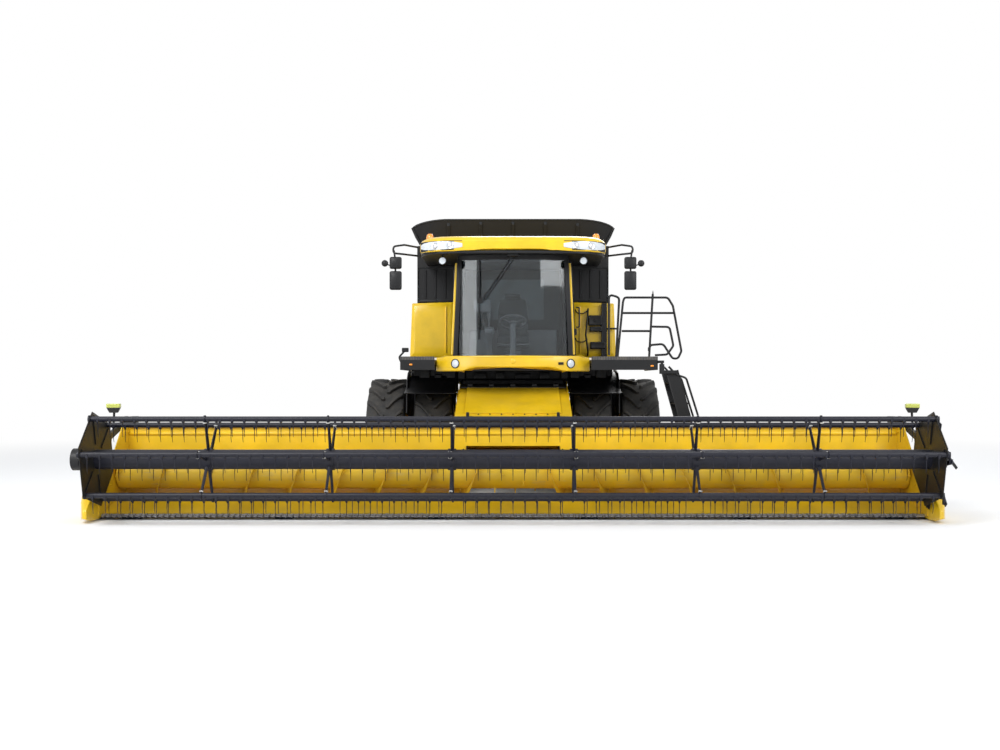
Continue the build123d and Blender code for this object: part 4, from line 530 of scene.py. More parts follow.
def bump(tree, height, strength, distance):
    return node(tree, "ShaderNodeBump", {"Strength": strength, "Distance": distance,
                                         "Height": height}).outputs["Normal"]


def skin(tree, scale, strength, distance):
    return bump(tree, placed(tree, WEAR, Skin_Scale=scale)["Height"], strength, distance)


def material(name):
    m = bpy.data.materials.new(name)
    m.use_nodes = True
    return m, m.node_tree, m.node_tree.nodes["Principled BSDF"]


# Materials

def painted(name, colour, under, rough, field, chips, dust_top=2.6, dust_colour=(0.42, 0.33, 0.20), coat=0.25,
            specular=0.5):
    """Enamel over metal: shade variation, chips down to an under colour, and field dust."""
    m, t, s = material(name)
    wear = placed(t, WEAR, Amount=chips, Skin_Scale=160.0)
    dusty = dust(t, Amount=field, High=dust_top)
    base = mixed(t, patches(t, 0.35, 0.7, 1.3, 5.0, 0.6), shade(colour, 0.78), shade(colour))
    base = mixed(t, wear["Mask"], base, shade(under))
    dull = plus(t, plus(t, times(t, dusty, 0.5), rough), times(t, wear["Mask"], 0.25))
    fill(t, s, {
        "Base Color": mixed(t, dusty, base, shade(dust_colour)), "Roughness": maths(t, "MINIMUM", dull, 0.95),
        "Coat Weight": coat, "Coat Roughness": 0.15, "Specular IOR Level": specular,
        "Normal": bump(t, wear["Height"], 0.12, 0.0006)})
    return m


def glass(name, colour):
    """Tinted pane: clear through, with faint smears in its roughness."""
    m, t, s = material(name)
    fill(t, s, {
        "Base Color": shade(colour), "Transmission Weight": 1.0, "IOR": 1.45,
        "Roughness": plus(t, times(t, patches(t, 0.45, 0.75, 2.2, 7.0, 0.7), 0.10), 0.03)})
    return m


def rubber():
    """Tyre rubber: dark in cloudy patches, with field dust."""
    m, t, s = material("tyre_rubber")
    base = mixed(t, patches(t, 0.3, 0.75, 9.0, 6.0, 0.7), (0.014, 0.014, 0.015, 1), (0.035, 0.034, 0.033, 1))
    dusty = times(t, dust(t, Amount=0.85, High=2.4, Scale=5.0), 0.30)
    fill(t, s, {
        "Base Color": mixed(t, dusty, base, (0.16, 0.14, 0.11, 1)), "Roughness": 0.78,
        "Normal": skin(t, 90.0, 0.35, 0.002)})
    return m


def metal(name, colour, rough, grime):
    """Bare metal with grime patches and a brushed skin."""
    m, t, s = material(name)
    mask = times(t, patches(t, 0.48, 0.7, 7.0, 7.0, 0.65), grime)
    fill(t, s, {
        "Metallic": 1.0, "Base Color": mixed(t, mask, shade(colour), shade(colour, 0.3)),
        "Roughness": plus(t, times(t, mask, 0.5), rough), "Normal": skin(t, 260.0, 0.08, 0.0004)})
    return m


def lens(name, colour, glow):
    """Moulded lamp plastic with fine flutes both ways."""
    m, t, s = material(name)
    xyz = split(t)
    flutes = plus(t, wave(t, xyz["X"], 420.0), times(t, wave(t, xyz["Z"], 300.0), 0.5))
    fill(t, s, {
        "Base Color": mixed(t, ramp(t, flutes, -1.2, 1.2), shade(colour, 0.82), shade(colour)),
        "Roughness": 0.08,
        "Coat Weight": 0.6, "Subsurface Weight": 0.15, "Subsurface Radius": (0.02, 0.02, 0.02),
        "Emission Color": shade(colour), "Emission Strength": glow, "Normal": bump(t, flutes, 0.15, 0.001)})
    return m


def plastic(name, colour, rough, field):
    """Grained moulded plastic with a little dust."""
    m, t, s = material(name)
    base = mixed(t, patches(t, 0.3, 0.7, 3.0), shade(colour, 0.8), shade(colour))
    base = mixed(t, dust(t, Amount=field, High=3.6, Scale=6.0), base, (0.34, 0.29, 0.20, 1))
    fill(t, s, {"Base Color": base, "Roughness": rough,
                "Normal": bump(t, noise(t, 420.0, 2.0, 0.5), 0.25, 0.0006)})
    return m


def fabric(name, colour, thread):
    """Woven seat cloth: crossed threads from two waves."""
    m, t, s = material(name)
    xyz = split(t)
    weave = times(t, wave(t, xyz["X"], thread), wave(t, plus(t, xyz["Y"], xyz["Z"]), thread))
    base = mixed(t, ramp(t, weave, -0.6, 0.6), shade(colour, 0.55), shade(colour))
    base = mixed(t, times(t, patches(t, 0.4, 0.7, 12.0), 0.25), base, (0.16, 0.15, 0.13, 1))
    fill(t, s, {"Base Color": base, "Roughness": 0.92, "Sheen Weight": 0.3,
                "Normal": bump(t, weave, 0.4, 0.0012)})
    return m


def pierced(name, colour, pitch, hole):
    """Sheet with rows of round holes, painted near-black where a hole goes through: painted shade of the
    space behind the sheet.
    """
    m, t, s = material(name)
    xyz = split(t)
    # Mask of the holes: near-black there is painted shade of the space behind the sheet, and the same mask
    # presses the holes in.
    hole_and_painted_shade = ramp(t, from_grid(t, xyz["Y"], xyz["Z"], pitch / 2), hole * 1.1, hole * 0.9)
    sheet = mixed(t, patches(t, 0.35, 0.7, 4.0, 5.0), shade(colour, 0.7), shade(colour))
    fill(t, s, {
        "Base Color": mixed(t, hole_and_painted_shade, sheet, (0.002, 0.002, 0.002, 1)), "Roughness": 0.55,
        "Normal": bump(t, maths(t, "SUBTRACT", 1.0, hole_and_painted_shade), 0.8, 0.004)})
    return m


def crop_worn(name, colour, bare):
    """Paint that straw has polished: long scratches along the header, bare metal on the high spots."""
    m, t, s = material(name)
    rubbed = patches(t, 0.5, 0.75, 1.6, 8.0, 0.7, vector=stretched(t, (0.7, 7.0, 14.0)))
    mask = times(t, rubbed, patches(t, 0.42, 0.62, 5.0, 7.0, 0.65))
    base = mixed(t, patches(t, 0.35, 0.7, 1.1), shade(colour, 0.75), shade(colour))
    base = mixed(t, times(t, mask, 0.55), base, shade(bare))
    base = mixed(t, dust(t, Amount=0.25, High=1.4, Scale=4.0), base, (0.40, 0.30, 0.16, 1))
    fill(t, s, {
        "Base Color": base, "Metallic": times(t, mask, 0.5),
        "Roughness": maths(t, "SUBTRACT", 0.42, times(t, mask, 0.12)),
        "Normal": skin(t, 140.0, 0.12, 0.0006)})
    return m


def tread_plate(name, colour):
    """Deck plate with raised studs in rows."""
    m, t, s = material(name)
    xyz = split(t)
    stud = ramp(t, from_grid(t, xyz["X"], xyz["Y"], 0.02), 0.009, 0.006)
    base = mixed(t, times(t, stud, 0.5), shade(colour), shade(colour, 3))
    base = mixed(t, dust(t, Amount=0.6, High=3.2, Scale=5.0), base, (0.30, 0.25, 0.17, 1))
    fill(t, s, {"Base Color": base, "Roughness": 0.55, "Normal": bump(t, stud, 0.6, 0.003)})
    return m


# Wheels

def lug(r, w, slant):
    """One bar of the tread at the wheel's top, wound from the middle to the shoulder and down the wall."""
    o = cube("lug", (0.012, -0.027, r - 0.085), (0.055, 0.027, r))
    edit(o)
    bpy.ops.mesh.select_all(action="SELECT")
    rotate_chosen(slant / 2, "X")
    choose_side(o, "+X")
    steps = 4
    reach = w / 2 - 0.055 - 0.045
    for k in range(steps):
        extrude((reach / steps, 0, 0))
        rotate_chosen(-slant / steps * (1.25 - 0.5 * k / (steps - 1)), "X")
    extrude((0.022, 0.003, -0.028))
    resize_chosen((1, 1.1, 0.8), (w / 2 - 0.03, 0, r - 0.10))
    extrude((0.008, 0.005, -0.075))
    resize_chosen((1, 1.0, 0.5), (w / 2 - 0.02, 0, r - 0.16))
    fresh()
    return bevelled(o, 0.006, 1, 50)


def tyre(name, r, w, rim_r, lugs, wheel_x, y, z):
    wall = [
        (0.36, rim_r + 0.002), (0.43, rim_r + 0.006), (0.455, rim_r + 0.035), (0.475, rim_r + 0.10),
        (0.497, (rim_r + r) / 2), (0.488, r - 0.15), (0.455, r - 0.085), (0.38, r - 0.056), (0.18, r - 0.050)]
    profile = [(-a * w, b) for a, b in wall] + [(0, r - 0.048)] + [(a * w, b) for a, b in reversed(wall)]
    carcass = smooth(lathe(name, profile + [profile[0]], (0, 0, 0), "X", 72), 40)
    one = smooth(lug(r, w, radians(15)), 30)
    left = [copy_of(one, turn=2 * pi * k / lugs) for k in range(lugs)]
    right = [turned(mirrored(p), pi / lugs, "X") for p in left]
    bands = []
    for sign in (-1, 1):
        for at, high in ((0.492, rim_r + 0.15), (0.494, rim_r + 0.175)):
            band = [(sign * at * w, high), (sign * (at * w + 0.003), high + 0.006),
                    (sign * at * w, high + 0.012)]
            bands.append(lathe("band", band, (0, 0, 0), "X", 72))
    removed(one)
    return shifted(joined(name, [carcass] + left + right + bands), (wheel_x, y, z))


def bolt_ring(centre, ring_r, count, r, height):
    """Hexagon nuts on a circle about X, each with its washer and stud end."""
    out, step = Vector((0, 0, ring_r)), AXES["X"]
    nut = cylinder("nut", out + step * height / 2, r, height, "X", 6)
    washer = cylinder("washer", out + step * 0.0015, r * 1.35, 0.003, "X", 12)
    stud = cylinder("stud", out + step * (height + 0.003), r * 0.45, 0.01, "X", 8)
    one = joined("nut", [bevelled(nut, r * 0.12, 1), washer, stud])
    ring = [one] + [copy_of(one, turn=2 * pi * k / count) for k in range(1, count)]
    return shifted(joined("nuts", ring), centre)


def rim(name, rim_r, w, hub_r, disc_x):
    """A drop-centre rim with its dished disc, hand holes and nuts, about the X axis."""
    half = w / 2 - 0.025
    shell = [
        (-half, rim_r + 0.016), (-half - 0.004, rim_r - 0.012), (-half + 0.07, rim_r - 0.022),
        (-half + 0.12, rim_r - 0.058), (half - 0.12, rim_r - 0.058), (half - 0.07, rim_r - 0.022),
        (half + 0.004, rim_r - 0.012), (half, rim_r + 0.016),
        (half - 0.012, rim_r + 0.016), (half - 0.016, rim_r - 0.001), (half - 0.07, rim_r - 0.006),
        (half - 0.12, rim_r - 0.042), (-half + 0.12, rim_r - 0.042), (-half + 0.07, rim_r - 0.006),
        (-half + 0.016, rim_r - 0.001), (-half + 0.012, rim_r + 0.016)]
    barrel = lathe(name, shell + [shell[0]], (0, 0, 0), "X", 64)
    edge = rim_r - 0.056
    dish = [
        (disc_x + 0.045, hub_r * 0.8), (disc_x + 0.045, hub_r + 0.05), (disc_x + 0.02, hub_r + 0.09),
        (disc_x - 0.01, edge - 0.07), (disc_x + 0.005, edge - 0.02), (disc_x + 0.03, edge + 0.004),
        (disc_x + 0.018, edge + 0.004), (disc_x - 0.007, edge - 0.018), (disc_x - 0.022, edge - 0.075),
        (disc_x + 0.006, hub_r + 0.08), (disc_x + 0.030, hub_r + 0.045), (disc_x + 0.030, hub_r * 0.8)]
    disc = lathe("disc", dish + [dish[0]], (0, 0, 0), "X", 64)
    middle = (hub_r + edge) / 2 + 0.02
    holes = [turned(cylinder("hole", (disc_x, 0, middle), 0.028, 0.12, "X", 20), 2 * pi * (k + 0.5) / 8, "X")
             for k in range(8)]
    cutter = joined("holes", holes)
    modified(disc, "BOOLEAN", operation="DIFFERENCE", object=cutter)
    removed(cutter)
    nuts = bolt_ring((disc_x + 0.045, 0, 0), hub_r + 0.025, 10, 0.016, 0.022)
    return joined(name, [smooth(barrel, 40), smooth(disc, 40), nuts])


def front_wheels():
    tyre_one = tyre("front_tyre", FRONT_R, FRONT_W, FRONT_RIM_R, 18, 0, 0, FRONT_R)
    rim_one = shifted(rim("front_rim", FRONT_RIM_R, FRONT_W, 0.15, 0.07), (0, 0, FRONT_R))
    hub_end = FRONT_X[1] + 0.110
    hub = [
        (0.94, 0), (0.94, 0.145), (1.02, 0.15), (1.3, 0.15), (1.31, 0.16),
        (1.33, 0.16), (1.34, 0.15), (2.04, 0.15),
        (2.05, 0.19), (2.075, 0.19), (2.08, 0.12), (hub_end - 0.03, 0.115),
        (hub_end - 0.008, 0.09), (hub_end, 0)]
    shaft = smooth(lathe("hub", hub, (0, 0, FRONT_R), "X", 48), 30)
    end_nuts = bolt_ring((hub_end - 0.012, 0, FRONT_R), 0.07, 6, 0.010, 0.01)
    shaft = joined("hub", [shaft, end_nuts])
    for side in ("left", "right"):
        pair = joined(f"front_{side}_tyre_pair", [copy_of(tyre_one, (x, 0, 0)) for x in FRONT_X])
        rims = joined(f"front_{side}_rim_pair", [copy_of(rim_one, (x, 0, 0)) for x in FRONT_X]
                      + [copy_of(shaft)])
        if side == "right":
            flipped(pair)
            flipped(rims)
        settle(pair, f"front_{side}_wheels", RUBBER, [f"front_{side}_tyres"])
        settle(rims, f"front_{side}_wheels", RIM, [f"front_{side}_rims"])
    removed(tyre_one, rim_one, shaft)


def rear_wheels():
    tyre_one = tyre("rear_tyre", REAR_R, REAR_W, REAR_RIM_R, 18, REAR_X, WHEELBASE, REAR_R)
    rim_one = rim("rear_rim", REAR_RIM_R, REAR_W, 0.11, 0.06)
    end = 0.130
    hub = [(-0.22, 0), (-0.22, 0.10), (-0.05, 0.11), (0.09, 0.11), (0.10, 0.14), (0.112, 0.14), (0.115, 0.07),
           (end - 0.01, 0.065), (end, 0)]
    hub = smooth(lathe("hub", hub, (0, 0, 0), "X", 40), 30)
    rim_one = shifted(joined("rear_rim", [rim_one, hub]), (REAR_X, WHEELBASE, REAR_R))
    for side, copied in (("left", copy_of), ("right", mirrored)):
        t, r = copied(tyre_one), copied(rim_one)
        t.name, r.name = f"rear_{side}_tyre_lugged", f"rear_{side}_rim_dished"
        settle(t, f"rear_{side}_wheel", RUBBER, [f"rear_{side}_tyre"])
        settle(r, f"rear_{side}_wheel", RIM, [f"rear_{side}_rim"])
    removed(tyre_one, rim_one)


# Header

def auger():
    """Tube with welded end rings, two smooth screw flights meeting in the middle, and the feeding fingers."""
    middle = (0, AUGER_Y, AUGER_Z)
    half = HEADER_X - 0.010
    ends = [(-half - 0.065, 0), (-half - 0.065, 0.058), (-half - 0.001, 0.058), (-half, AUGER_TUBE_R),
            (-half + 0.02, AUGER_TUBE_R + 0.004), (-half + 0.04, AUGER_TUBE_R)]
    profile = ends + [(-x, r) for x, r in reversed(ends)]
    tube_part = smooth(lathe("auger", profile, (0, AUGER_Y, AUGER_Z), "X", 48), 30)
    turns = (HEADER_X - 0.040 - 0.350) / AUGER_PITCH
    blade = cube("flight", (0.350, AUGER_Y - 0.004, AUGER_Z + AUGER_TUBE_R - 0.003),
                 (0.358, AUGER_Y + 0.004, AUGER_Z + AUGER_FLIGHT_R))
    edit(blade)
    choose(blade, faces=lambda c, n: n.y < 0.9)
    bpy.ops.mesh.delete(type="FACE")
    fresh()
    shifted(blade, -Vector(middle))
    steps = int(turns * 28)
    modified(blade, "SCREW", axis="X", angle=2 * pi * turns, screw_offset=AUGER_PITCH * turns, steps=steps,
             render_steps=steps, use_merge_vertices=True)
    shifted(blade, middle)
    edit(blade)
    bpy.ops.mesh.select_mode(type="EDGE")
    bpy.ops.mesh.select_all(action="SELECT")
    bpy.ops.mesh.fill_holes(sides=4)
    blade = smooth(cleaned(blade), 40)
    fingers = []
    for k in range(12):
        finger = cylinder("finger", (-0.30 + 0.055 * k, AUGER_Y, AUGER_Z + AUGER_TUBE_R + 0.042),
                          0.008, 0.09, "Z", 10)
        collar = cylinder("collar", (-0.30 + 0.055 * k, AUGER_Y, AUGER_Z + AUGER_TUBE_R + 0.002),
                          0.018, 0.012, "Z", 12)
        pin = joined("finger", [bevelled(finger, 0.003, 2), collar])
        fingers.append(turned(pin, 2 * pi * (k * 5 % 12) / 12, "X", middle))
    whole = joined("screw_auger", [tube_part, blade, mirrored(blade)] + fingers)
    settle(whole, "header_auger", WORN, ["header_auger"])


def guards():
    """The knife: forged guards side by side, ground sections between them, and the back with its clips."""
    x0 = -HEADER_X + 0.05
    count = int((2 * HEADER_X - 0.1) / GUARD_PITCH)
    guard = cube("guard", (x0 - 0.017, KNIFE_Y - 0.002, 0.034), (x0 + 0.017, KNIFE_Y + 0.050, 0.070))
    edit(guard)
    choose_side(guard, "-Y")
    extrude((0, -0.035, -0.004))
    resize_chosen((0.62, 1, 0.7), (x0, KNIFE_Y - 0.037, 0.048))
    extrude((0, -0.040, -0.001))
    resize_chosen((0.25, 1, 0.3), (x0, KNIFE_Y - 0.077, 0.046))
    choose(guard, faces=lambda c, n: n.z > 0.9 and c.y > KNIFE_Y)
    inset(0.008)
    extrude((0, 0, 0.010))
    fresh()
    bevelled(guard, 0.002, 1)
    lip = cube("lip", (x0 - 0.007, KNIFE_Y - 0.045, 0.063), (x0 + 0.007, KNIFE_Y + 0.02, 0.069))
    guard = joined("guard", [guard, lip])
    row_of(guard, count, (GUARD_PITCH, 0, 0))
    tooth = plate("section", [(x0 - 0.030, KNIFE_Y + 0.015), (x0 - 0.007, KNIFE_Y - 0.055),
                              (x0 + 0.007, KNIFE_Y - 0.055), (x0 + 0.030, KNIFE_Y + 0.015)],
                  0.058, 0.062, "Z")
    shifted(tooth, (GUARD_PITCH / 2, 0, 0))
    row_of(tooth, count - 1, (GUARD_PITCH, 0, 0))
    back = cube("back", (-HEADER_X, KNIFE_Y + 0.002, 0.035), (HEADER_X, KNIFE_Y + 0.0795, 0.060))
    bevelled(back, 0.003, 1)
    rail = cube("rail", (-HEADER_X, KNIFE_Y + 0.024, 0.060), (HEADER_X, KNIFE_Y + 0.040, 0.074))
    clip = pressed(cube("clip", (x0 - 0.02, KNIFE_Y + 0.012, 0.060), (x0 + 0.02, KNIFE_Y + 0.070, 0.079)),
                   "+Z", (0.008, -0.004))
    bevelled(clip, 0.002, 1)
    row_of(clip, count // 6 + 1, (6 * GUARD_PITCH, 0, 0))
    whole = joined("knife_and_guards", [back, guard, tooth, rail, clip])
    settle(whole, "header", STEEL, ["cutterbar"])


def header_sheets():
    """Seams, crease, top lip and floor screws on the yellow shell, and the throat's black edges."""
    seams = []
    for x in (k * 1.525 for k in range(-3, 4) if k):
        seams.append(cube("seam", (x - 0.03, BACK_Y - 0.004, 0.93), (x + 0.03, BACK_Y, BACK_TOP)))
        seams.append(row_of(cylinder("rivet", (x, BACK_Y - 0.004, 0.96), 0.007, 0.008, "Y", 10),
                            4, (0, 0, 0.06)))
    crease = plate("crease", [(BACK_Y, 1.045), (BACK_Y - 0.022, 1.060), (BACK_Y - 0.022, 1.085),
                              (BACK_Y, 1.10)], -HEADER_X + 0.01, HEADER_X - 0.01)
    bevelled(crease, 0.004, 2)
    lip = plate("lip", [(BACK_Y - 0.035, BACK_TOP), (BACK_Y + 0.015, BACK_TOP),
                        (BACK_Y + 0.015, BACK_TOP + 0.012), (BACK_Y - 0.035, BACK_TOP + 0.012)],
                -HEADER_X + 0.01, HEADER_X - 0.01)
    edit(lip)
    choose_side(lip, "-Y")
    extrude((0, 0, -0.025))
    fresh()
    bevelled(lip, 0.002, 2)
    screws = bolts([(k * 0.152, KNIFE_Y + 0.11, 0.083) for k in range(-34, 35)], 0.008, 0.006, "Z", 8)
    whole = joined("header_sheet_trim", seams + [crease, lip] + screws)
    settle(smooth(whole, 30), "header", YELLOW)
    trims = []
    for sign in (-1, 1):
        x = sign * (OPENING_X + 0.012)
        trims.append(cube("edge", (x, BACK_Y - 0.020, 0.23), (x - sign * 0.012, BACK_Y + 0.02, 0.9)))
        trims += bolts([(sign * (OPENING_X + 0.05), BACK_Y - 0.006, 0.30 + 0.11 * k) for k in range(6)],
                       0.011, 0.012)
    settle(joined("throat_edges", trims), "header", BLACK)


def divider():
    """Both ends: side sheet, crop divider with a pointed nose, shoe, lamp on a stem, reel arm's pin."""
    x0 = HEADER_X
    sheet = pressed(plate("sheet", [(BACK_Y + 0.015, 0.15), (BACK_Y + 0.015, BACK_TOP), (-3.0, BACK_TOP),
                                    (-3.5, 0.64), (-3.86, 0.52), (-3.86, 0.06), (-3.6, 0.025), (-3.2, 0.06)],
                          x0, x0 + 0.015), "-X", (0.035, -0.003))
    bevelled(sheet, 0.002, 1)
    nose = plate("nose", [(x0 + 0.015, 0.03), (DIVIDER_X, 0.09), (DIVIDER_X, 0.50),
                          (DIVIDER_X - 0.05, DIVIDER_TOP), (x0 + 0.015, DIVIDER_TOP)], -3.350, -3.60, "Y")
    edit(nose)
    choose_side(nose, "-Y")
    for dy, sx, sz, dz in ((-0.30, 0.93, 0.80, -0.045), (-0.20, 0.72, 0.62, -0.035),
                           (-0.15, 0.42, 0.38, -0.03)):
        extrude((0, dy, dz))
        resize_chosen((sx, 1, sz), (x0 + 0.015, 0, 0.10))
    choose_side(nose, "+Y")
    extrude((0, 0.10, 0))
    resize_chosen((0.85, 1, 0.85), (x0 + 0.015, -3.25, 0.25))
    choose(nose, faces=lambda c, n: n.x > 0.8 and c.y < -3.3)
    inset(0.03, -0.004)
    fresh()
    nose = smooth(bevelled(nose, 0.012, 3, 25), 35)
    pin = lathe("pin", [(x0 + 0.015, 0), (x0 + 0.015, 0.03), (x0 + 0.03, 0.03), (x0 + 0.033, REEL_PIN_R),
                        (ARM_X + 0.03, REEL_PIN_R), (ARM_X + 0.03, 0)],
                (0, REEL_BASE[0], REEL_BASE[1]), "X", 20)
    places = ((-2.80, 1.10), (-2.80, 0.8), (-2.80, 0.5), (-2.80, 0.25), (-3.3, 0.16),
              (-3.55, 0.14), (-3.45, 0.42))
    heads = bolts([(x0 - 0.004, y, z) for y, z in places], 0.012, 0.010, "X")
    yellow = joined("header_end", [sheet, nose] + heads)
    both = joined("header_end_pair", [yellow, mirrored(yellow)])
    settle(both, "header", YELLOW, ["header_ends"])
    shoe = plate("shoe", [(-3.90, 0.02), (-3.60, 0.0), (-3.20, 0.0), (-3.12, 0.03), (-3.2, 0.05),
                          (-3.9, 0.05)], x0 + 0.02, x0 + 0.10)
    bevelled(shoe, 0.004, 2)
    stem = tube("stem", rounded([(x0 + 0.02, -2.745, 1.135), (DIVIDER_X + 0.01, -2.745, 1.135),
                                 (DIVIDER_X - 0.005, -2.745, 1.40)], 0.05), 0.016)
    body = cube("lamp_body", (DIVIDER_X - 0.098, -2.800, 1.362), (DIVIDER_X + 0.088, -2.740, 1.432))
    edit(body)
    choose_side(body, "-Z")
    resize_chosen((0.60, 0.7, 1), (DIVIDER_X - 0.005, -2.77, 1.362))
    fresh()
    body = bevelled(body, 0.005, 2)
    black = joined("header_end_black", [shoe, stem, body, smooth(pin)])
    settle(both_sides("header_end_fittings", [black]), "header", BLACK)
    glassy = pressed(cube("lamp_glass", (DIVIDER_X - 0.100, -2.802, 1.432),
                          (DIVIDER_X + 0.090, -2.738, 1.490)), "Y", (0.010, 0.002), single=True)
    settle(both_sides("marker_lamps", [bevelled(glassy, 0.006, 3)]), "header", LAMP_GREEN)


def header_back():
    """Bolts on the header's back beams and posts, with the drive's cover on the left."""
    posts = (-5.31, -3.6, -1.9, -0.89, 0.89, 1.9, 3.6, 5.31)
    parts = bolts([(x + dx, -2.580, z) for x in posts for z in (0.22, 1.08) for dx in (-0.024, 0.024)],
                  0.012, 0.014)
    cover = pressed(cube("drive_cover", (3.7, -2.585, 0.40), (5.2, -2.50, 0.62)), "+Y",
                    (0.05, 0.02), (0.03, -0.006))
    parts.append(bevelled(cover, 0.008, 2))
    settle(joined("header_back_fittings", parts), "header", BLACK)


# Reel

def bat_place(index):
    return polar(REEL_Y, REEL_Z, REEL_BAT_R, REEL_PHASE + index * 360 / REEL_BATS)


def spider_places():
    return [-REEL_X] + [(k - 2.5) * SPIDER_PITCH for k in range(6)] + [REEL_X]


def tine(reach):
    """A sprung tine: clip round the bat, and a finger that thins and bends to its tip."""
    clip = cube("clip", (-0.016, -BAT_TUBE_R - 0.004, -BAT_TUBE_R - 0.004), (0.016, 0.004, 0.010))
    edit(clip)
    choose_side(clip, "-Z")
    inset(0.006)
    extrude((0, 0.006, -0.020))
    fresh()
    bevelled(clip, 0.003, 1)
    finger = cylinder("finger", (0, -0.010, -BAT_TUBE_R - 0.050), 0.0055, 0.07, "Z", 8)
    edit(finger)
    choose_side(finger, "-Z")
    step = (reach - BAT_TUBE_R - 0.085) / 3
    for k in range(3):
        extrude((0, -0.004 + 0.010 * k, -step))
        resize_chosen((0.82, 0.82, 1), (0, -0.012 + 0.004 * k, 0))
    fresh()
    return joined("tine", [clip, smooth(finger, 60)])


def bats():
    """Six bats: tube with end plugs, rows of tines that hang straight down, the crank and its pin."""
    end = REEL_X + 0.010 + 0.005
    count = int((REEL_X - 0.060) / TINE_PITCH)
    profile = [(-end, 0), (-end, BAT_TUBE_R - 0.004), (-end + 0.004, BAT_TUBE_R), (end - 0.004, BAT_TUBE_R),
               (end, BAT_TUBE_R - 0.004), (end, 0)]
    tube_part = smooth(lathe("bat", profile, (0, 0, 0), "X", 24), 30)
    one = tine(TINE_LENGTH)
    places = [k * TINE_PITCH for k in range(-count, count + 1)]
    tines = [copy_of(one, (x, 0, 0)) for x in places if min(abs(x - s) for s in spider_places()) >= 0.035]
    removed(one)
    crank = plate("crank", [(-0.024, 0.034), (0.024, 0.034), (0.030, 0.0), (0.020, -CRANK - 0.026),
                            (-0.020, -CRANK - 0.026), (-0.030, 0.0)], end, end + 0.018)
    bevelled(crank, 0.003, 2)
    pin = cylinder("pin", ((end + CONTROL_END) / 2, 0, -CRANK), 0.015, CONTROL_END - end, "X", 16)
    model = joined("bat", [tube_part] + tines + [crank, pin])
    for k in range(REEL_BATS):
        new = copy_of(model, (0, *bat_place(k)))
        new.name = f"tine_bat_{k + 1}"
        settle(new, f"bat_{k + 1}", NAVY, [f"bat_{k + 1}"])
    removed(model)


def reel_body():
    """Centre tube with collars, pressed spokes with their bearing blocks, and the black end plates."""
    rings = [(-REEL_X, 0), (-REEL_X, REEL_TUBE_R)]
    for x in spider_places()[1:-1]:
        rings += [(x - 0.05, REEL_TUBE_R), (x - 0.05, REEL_TUBE_R + 0.012), (x + 0.05, REEL_TUBE_R + 0.012),
                  (x + 0.05, REEL_TUBE_R)]
    rings += [(REEL_X, REEL_TUBE_R), (REEL_X, 0)]
    tube_part = smooth(lathe("reel", rings, (0, REEL_Y, REEL_Z), "X", 40), 30)
    shaft = cylinder("shaft", (0, REEL_Y, REEL_Z), REEL_SHAFT_R, 2 * (ARM_X - 0.034), "X", 28)
    far = REEL_BAT_R - 0.040
    spoke = pressed(plate("spoke", [(-0.034, REEL_TUBE_R - 0.01), (0.034, REEL_TUBE_R - 0.01), (0.022, far),
                                    (-0.022, far)], -0.007, 0.007), "X", (0.010, -0.003), single=True)
    bevelled(spoke, 0.002, 1)
    ring = [(-0.010, BAT_TUBE_R + 0.001), (-0.010, BAT_TUBE_R + 0.014), (0.010, BAT_TUBE_R + 0.014),
            (0.010, BAT_TUBE_R + 0.001)]
    eye = smooth(lathe("eye", ring + [ring[0]], (0, 0, REEL_BAT_R), "X", 24), 30)
    flange = cube("flange", (-0.020, 0.022, REEL_TUBE_R - 0.005), (0.020, 0.028, far))
    edit(flange)
    choose(flange, verts=lambda v: v.z > 0.3)
    resize_chosen((0.8, 1, 1), (0, 0.025, far))
    shift_chosen((0, -0.012, 0))
    fresh()
    arm = joined("spoke", [spoke, eye])
    ribbed = joined("ribbed_spoke", [copy_of(arm, (0, 0, 0)), bevelled(flange, 0.002, 1)])
    block = cube("block", (-0.020, -0.046, REEL_BAT_R - 0.046),
                 (0.020, 0.046, REEL_BAT_R - BAT_TUBE_R + 0.002))
    bevelled(block, 0.006, 2)
    nut = cylinder("nut", (0.022, 0.034, REEL_BAT_R - 0.038), 0.007, 0.008, "X", 6)
    block = joined("block", [block, nut, copy_of(nut, (0, -0.068, 0))])
    arms, blocks = [], []
    for x in spider_places():
        for k in range(REEL_BATS):
            turn = radians(90 - REEL_PHASE - k * 360 / REEL_BATS)
            arms.append(copy_of(ribbed if abs(x) < REEL_X else arm, (x, REEL_Y, REEL_Z), turn))
            if abs(x) < REEL_X:
                blocks.append(copy_of(block, (x, REEL_Y, REEL_Z), turn))
    removed(arm, ribbed, block)
    settle(joined("reel_frame", [tube_part, shaft] + arms), "reel_core", NAVY, ["reel_core"])
    settle(joined("reel_bearings", blocks), "reel_core", POLYMER)
    corners = [polar(REEL_Y, REEL_Z, END_PLATE_R, REEL_PHASE + k * 60 + END_PLATE_TURN)
               for k in range(REEL_BATS)]
    end = pressed(plate("end", corners, REEL_X - 0.022, REEL_X - 0.014), "X", (0.030, 0.004),
                  (0.012, -0.003), single=True)
    bevelled(end, 0.002, 1)
    ribs = []
    for k in range(REEL_BATS):
        rib = cube("rib", (-0.012, -0.010, 0.20), (0, 0.010, END_PLATE_R - 0.09))
        turned(rib, radians(90 - REEL_PHASE - END_PLATE_TURN - k * 60), "X")
        ribs.append(shifted(rib, (REEL_X - 0.024, REEL_Y, REEL_Z)))
    settle(both_sides("reel_end_plates", [end] + ribs), "reel_core", BLACK)


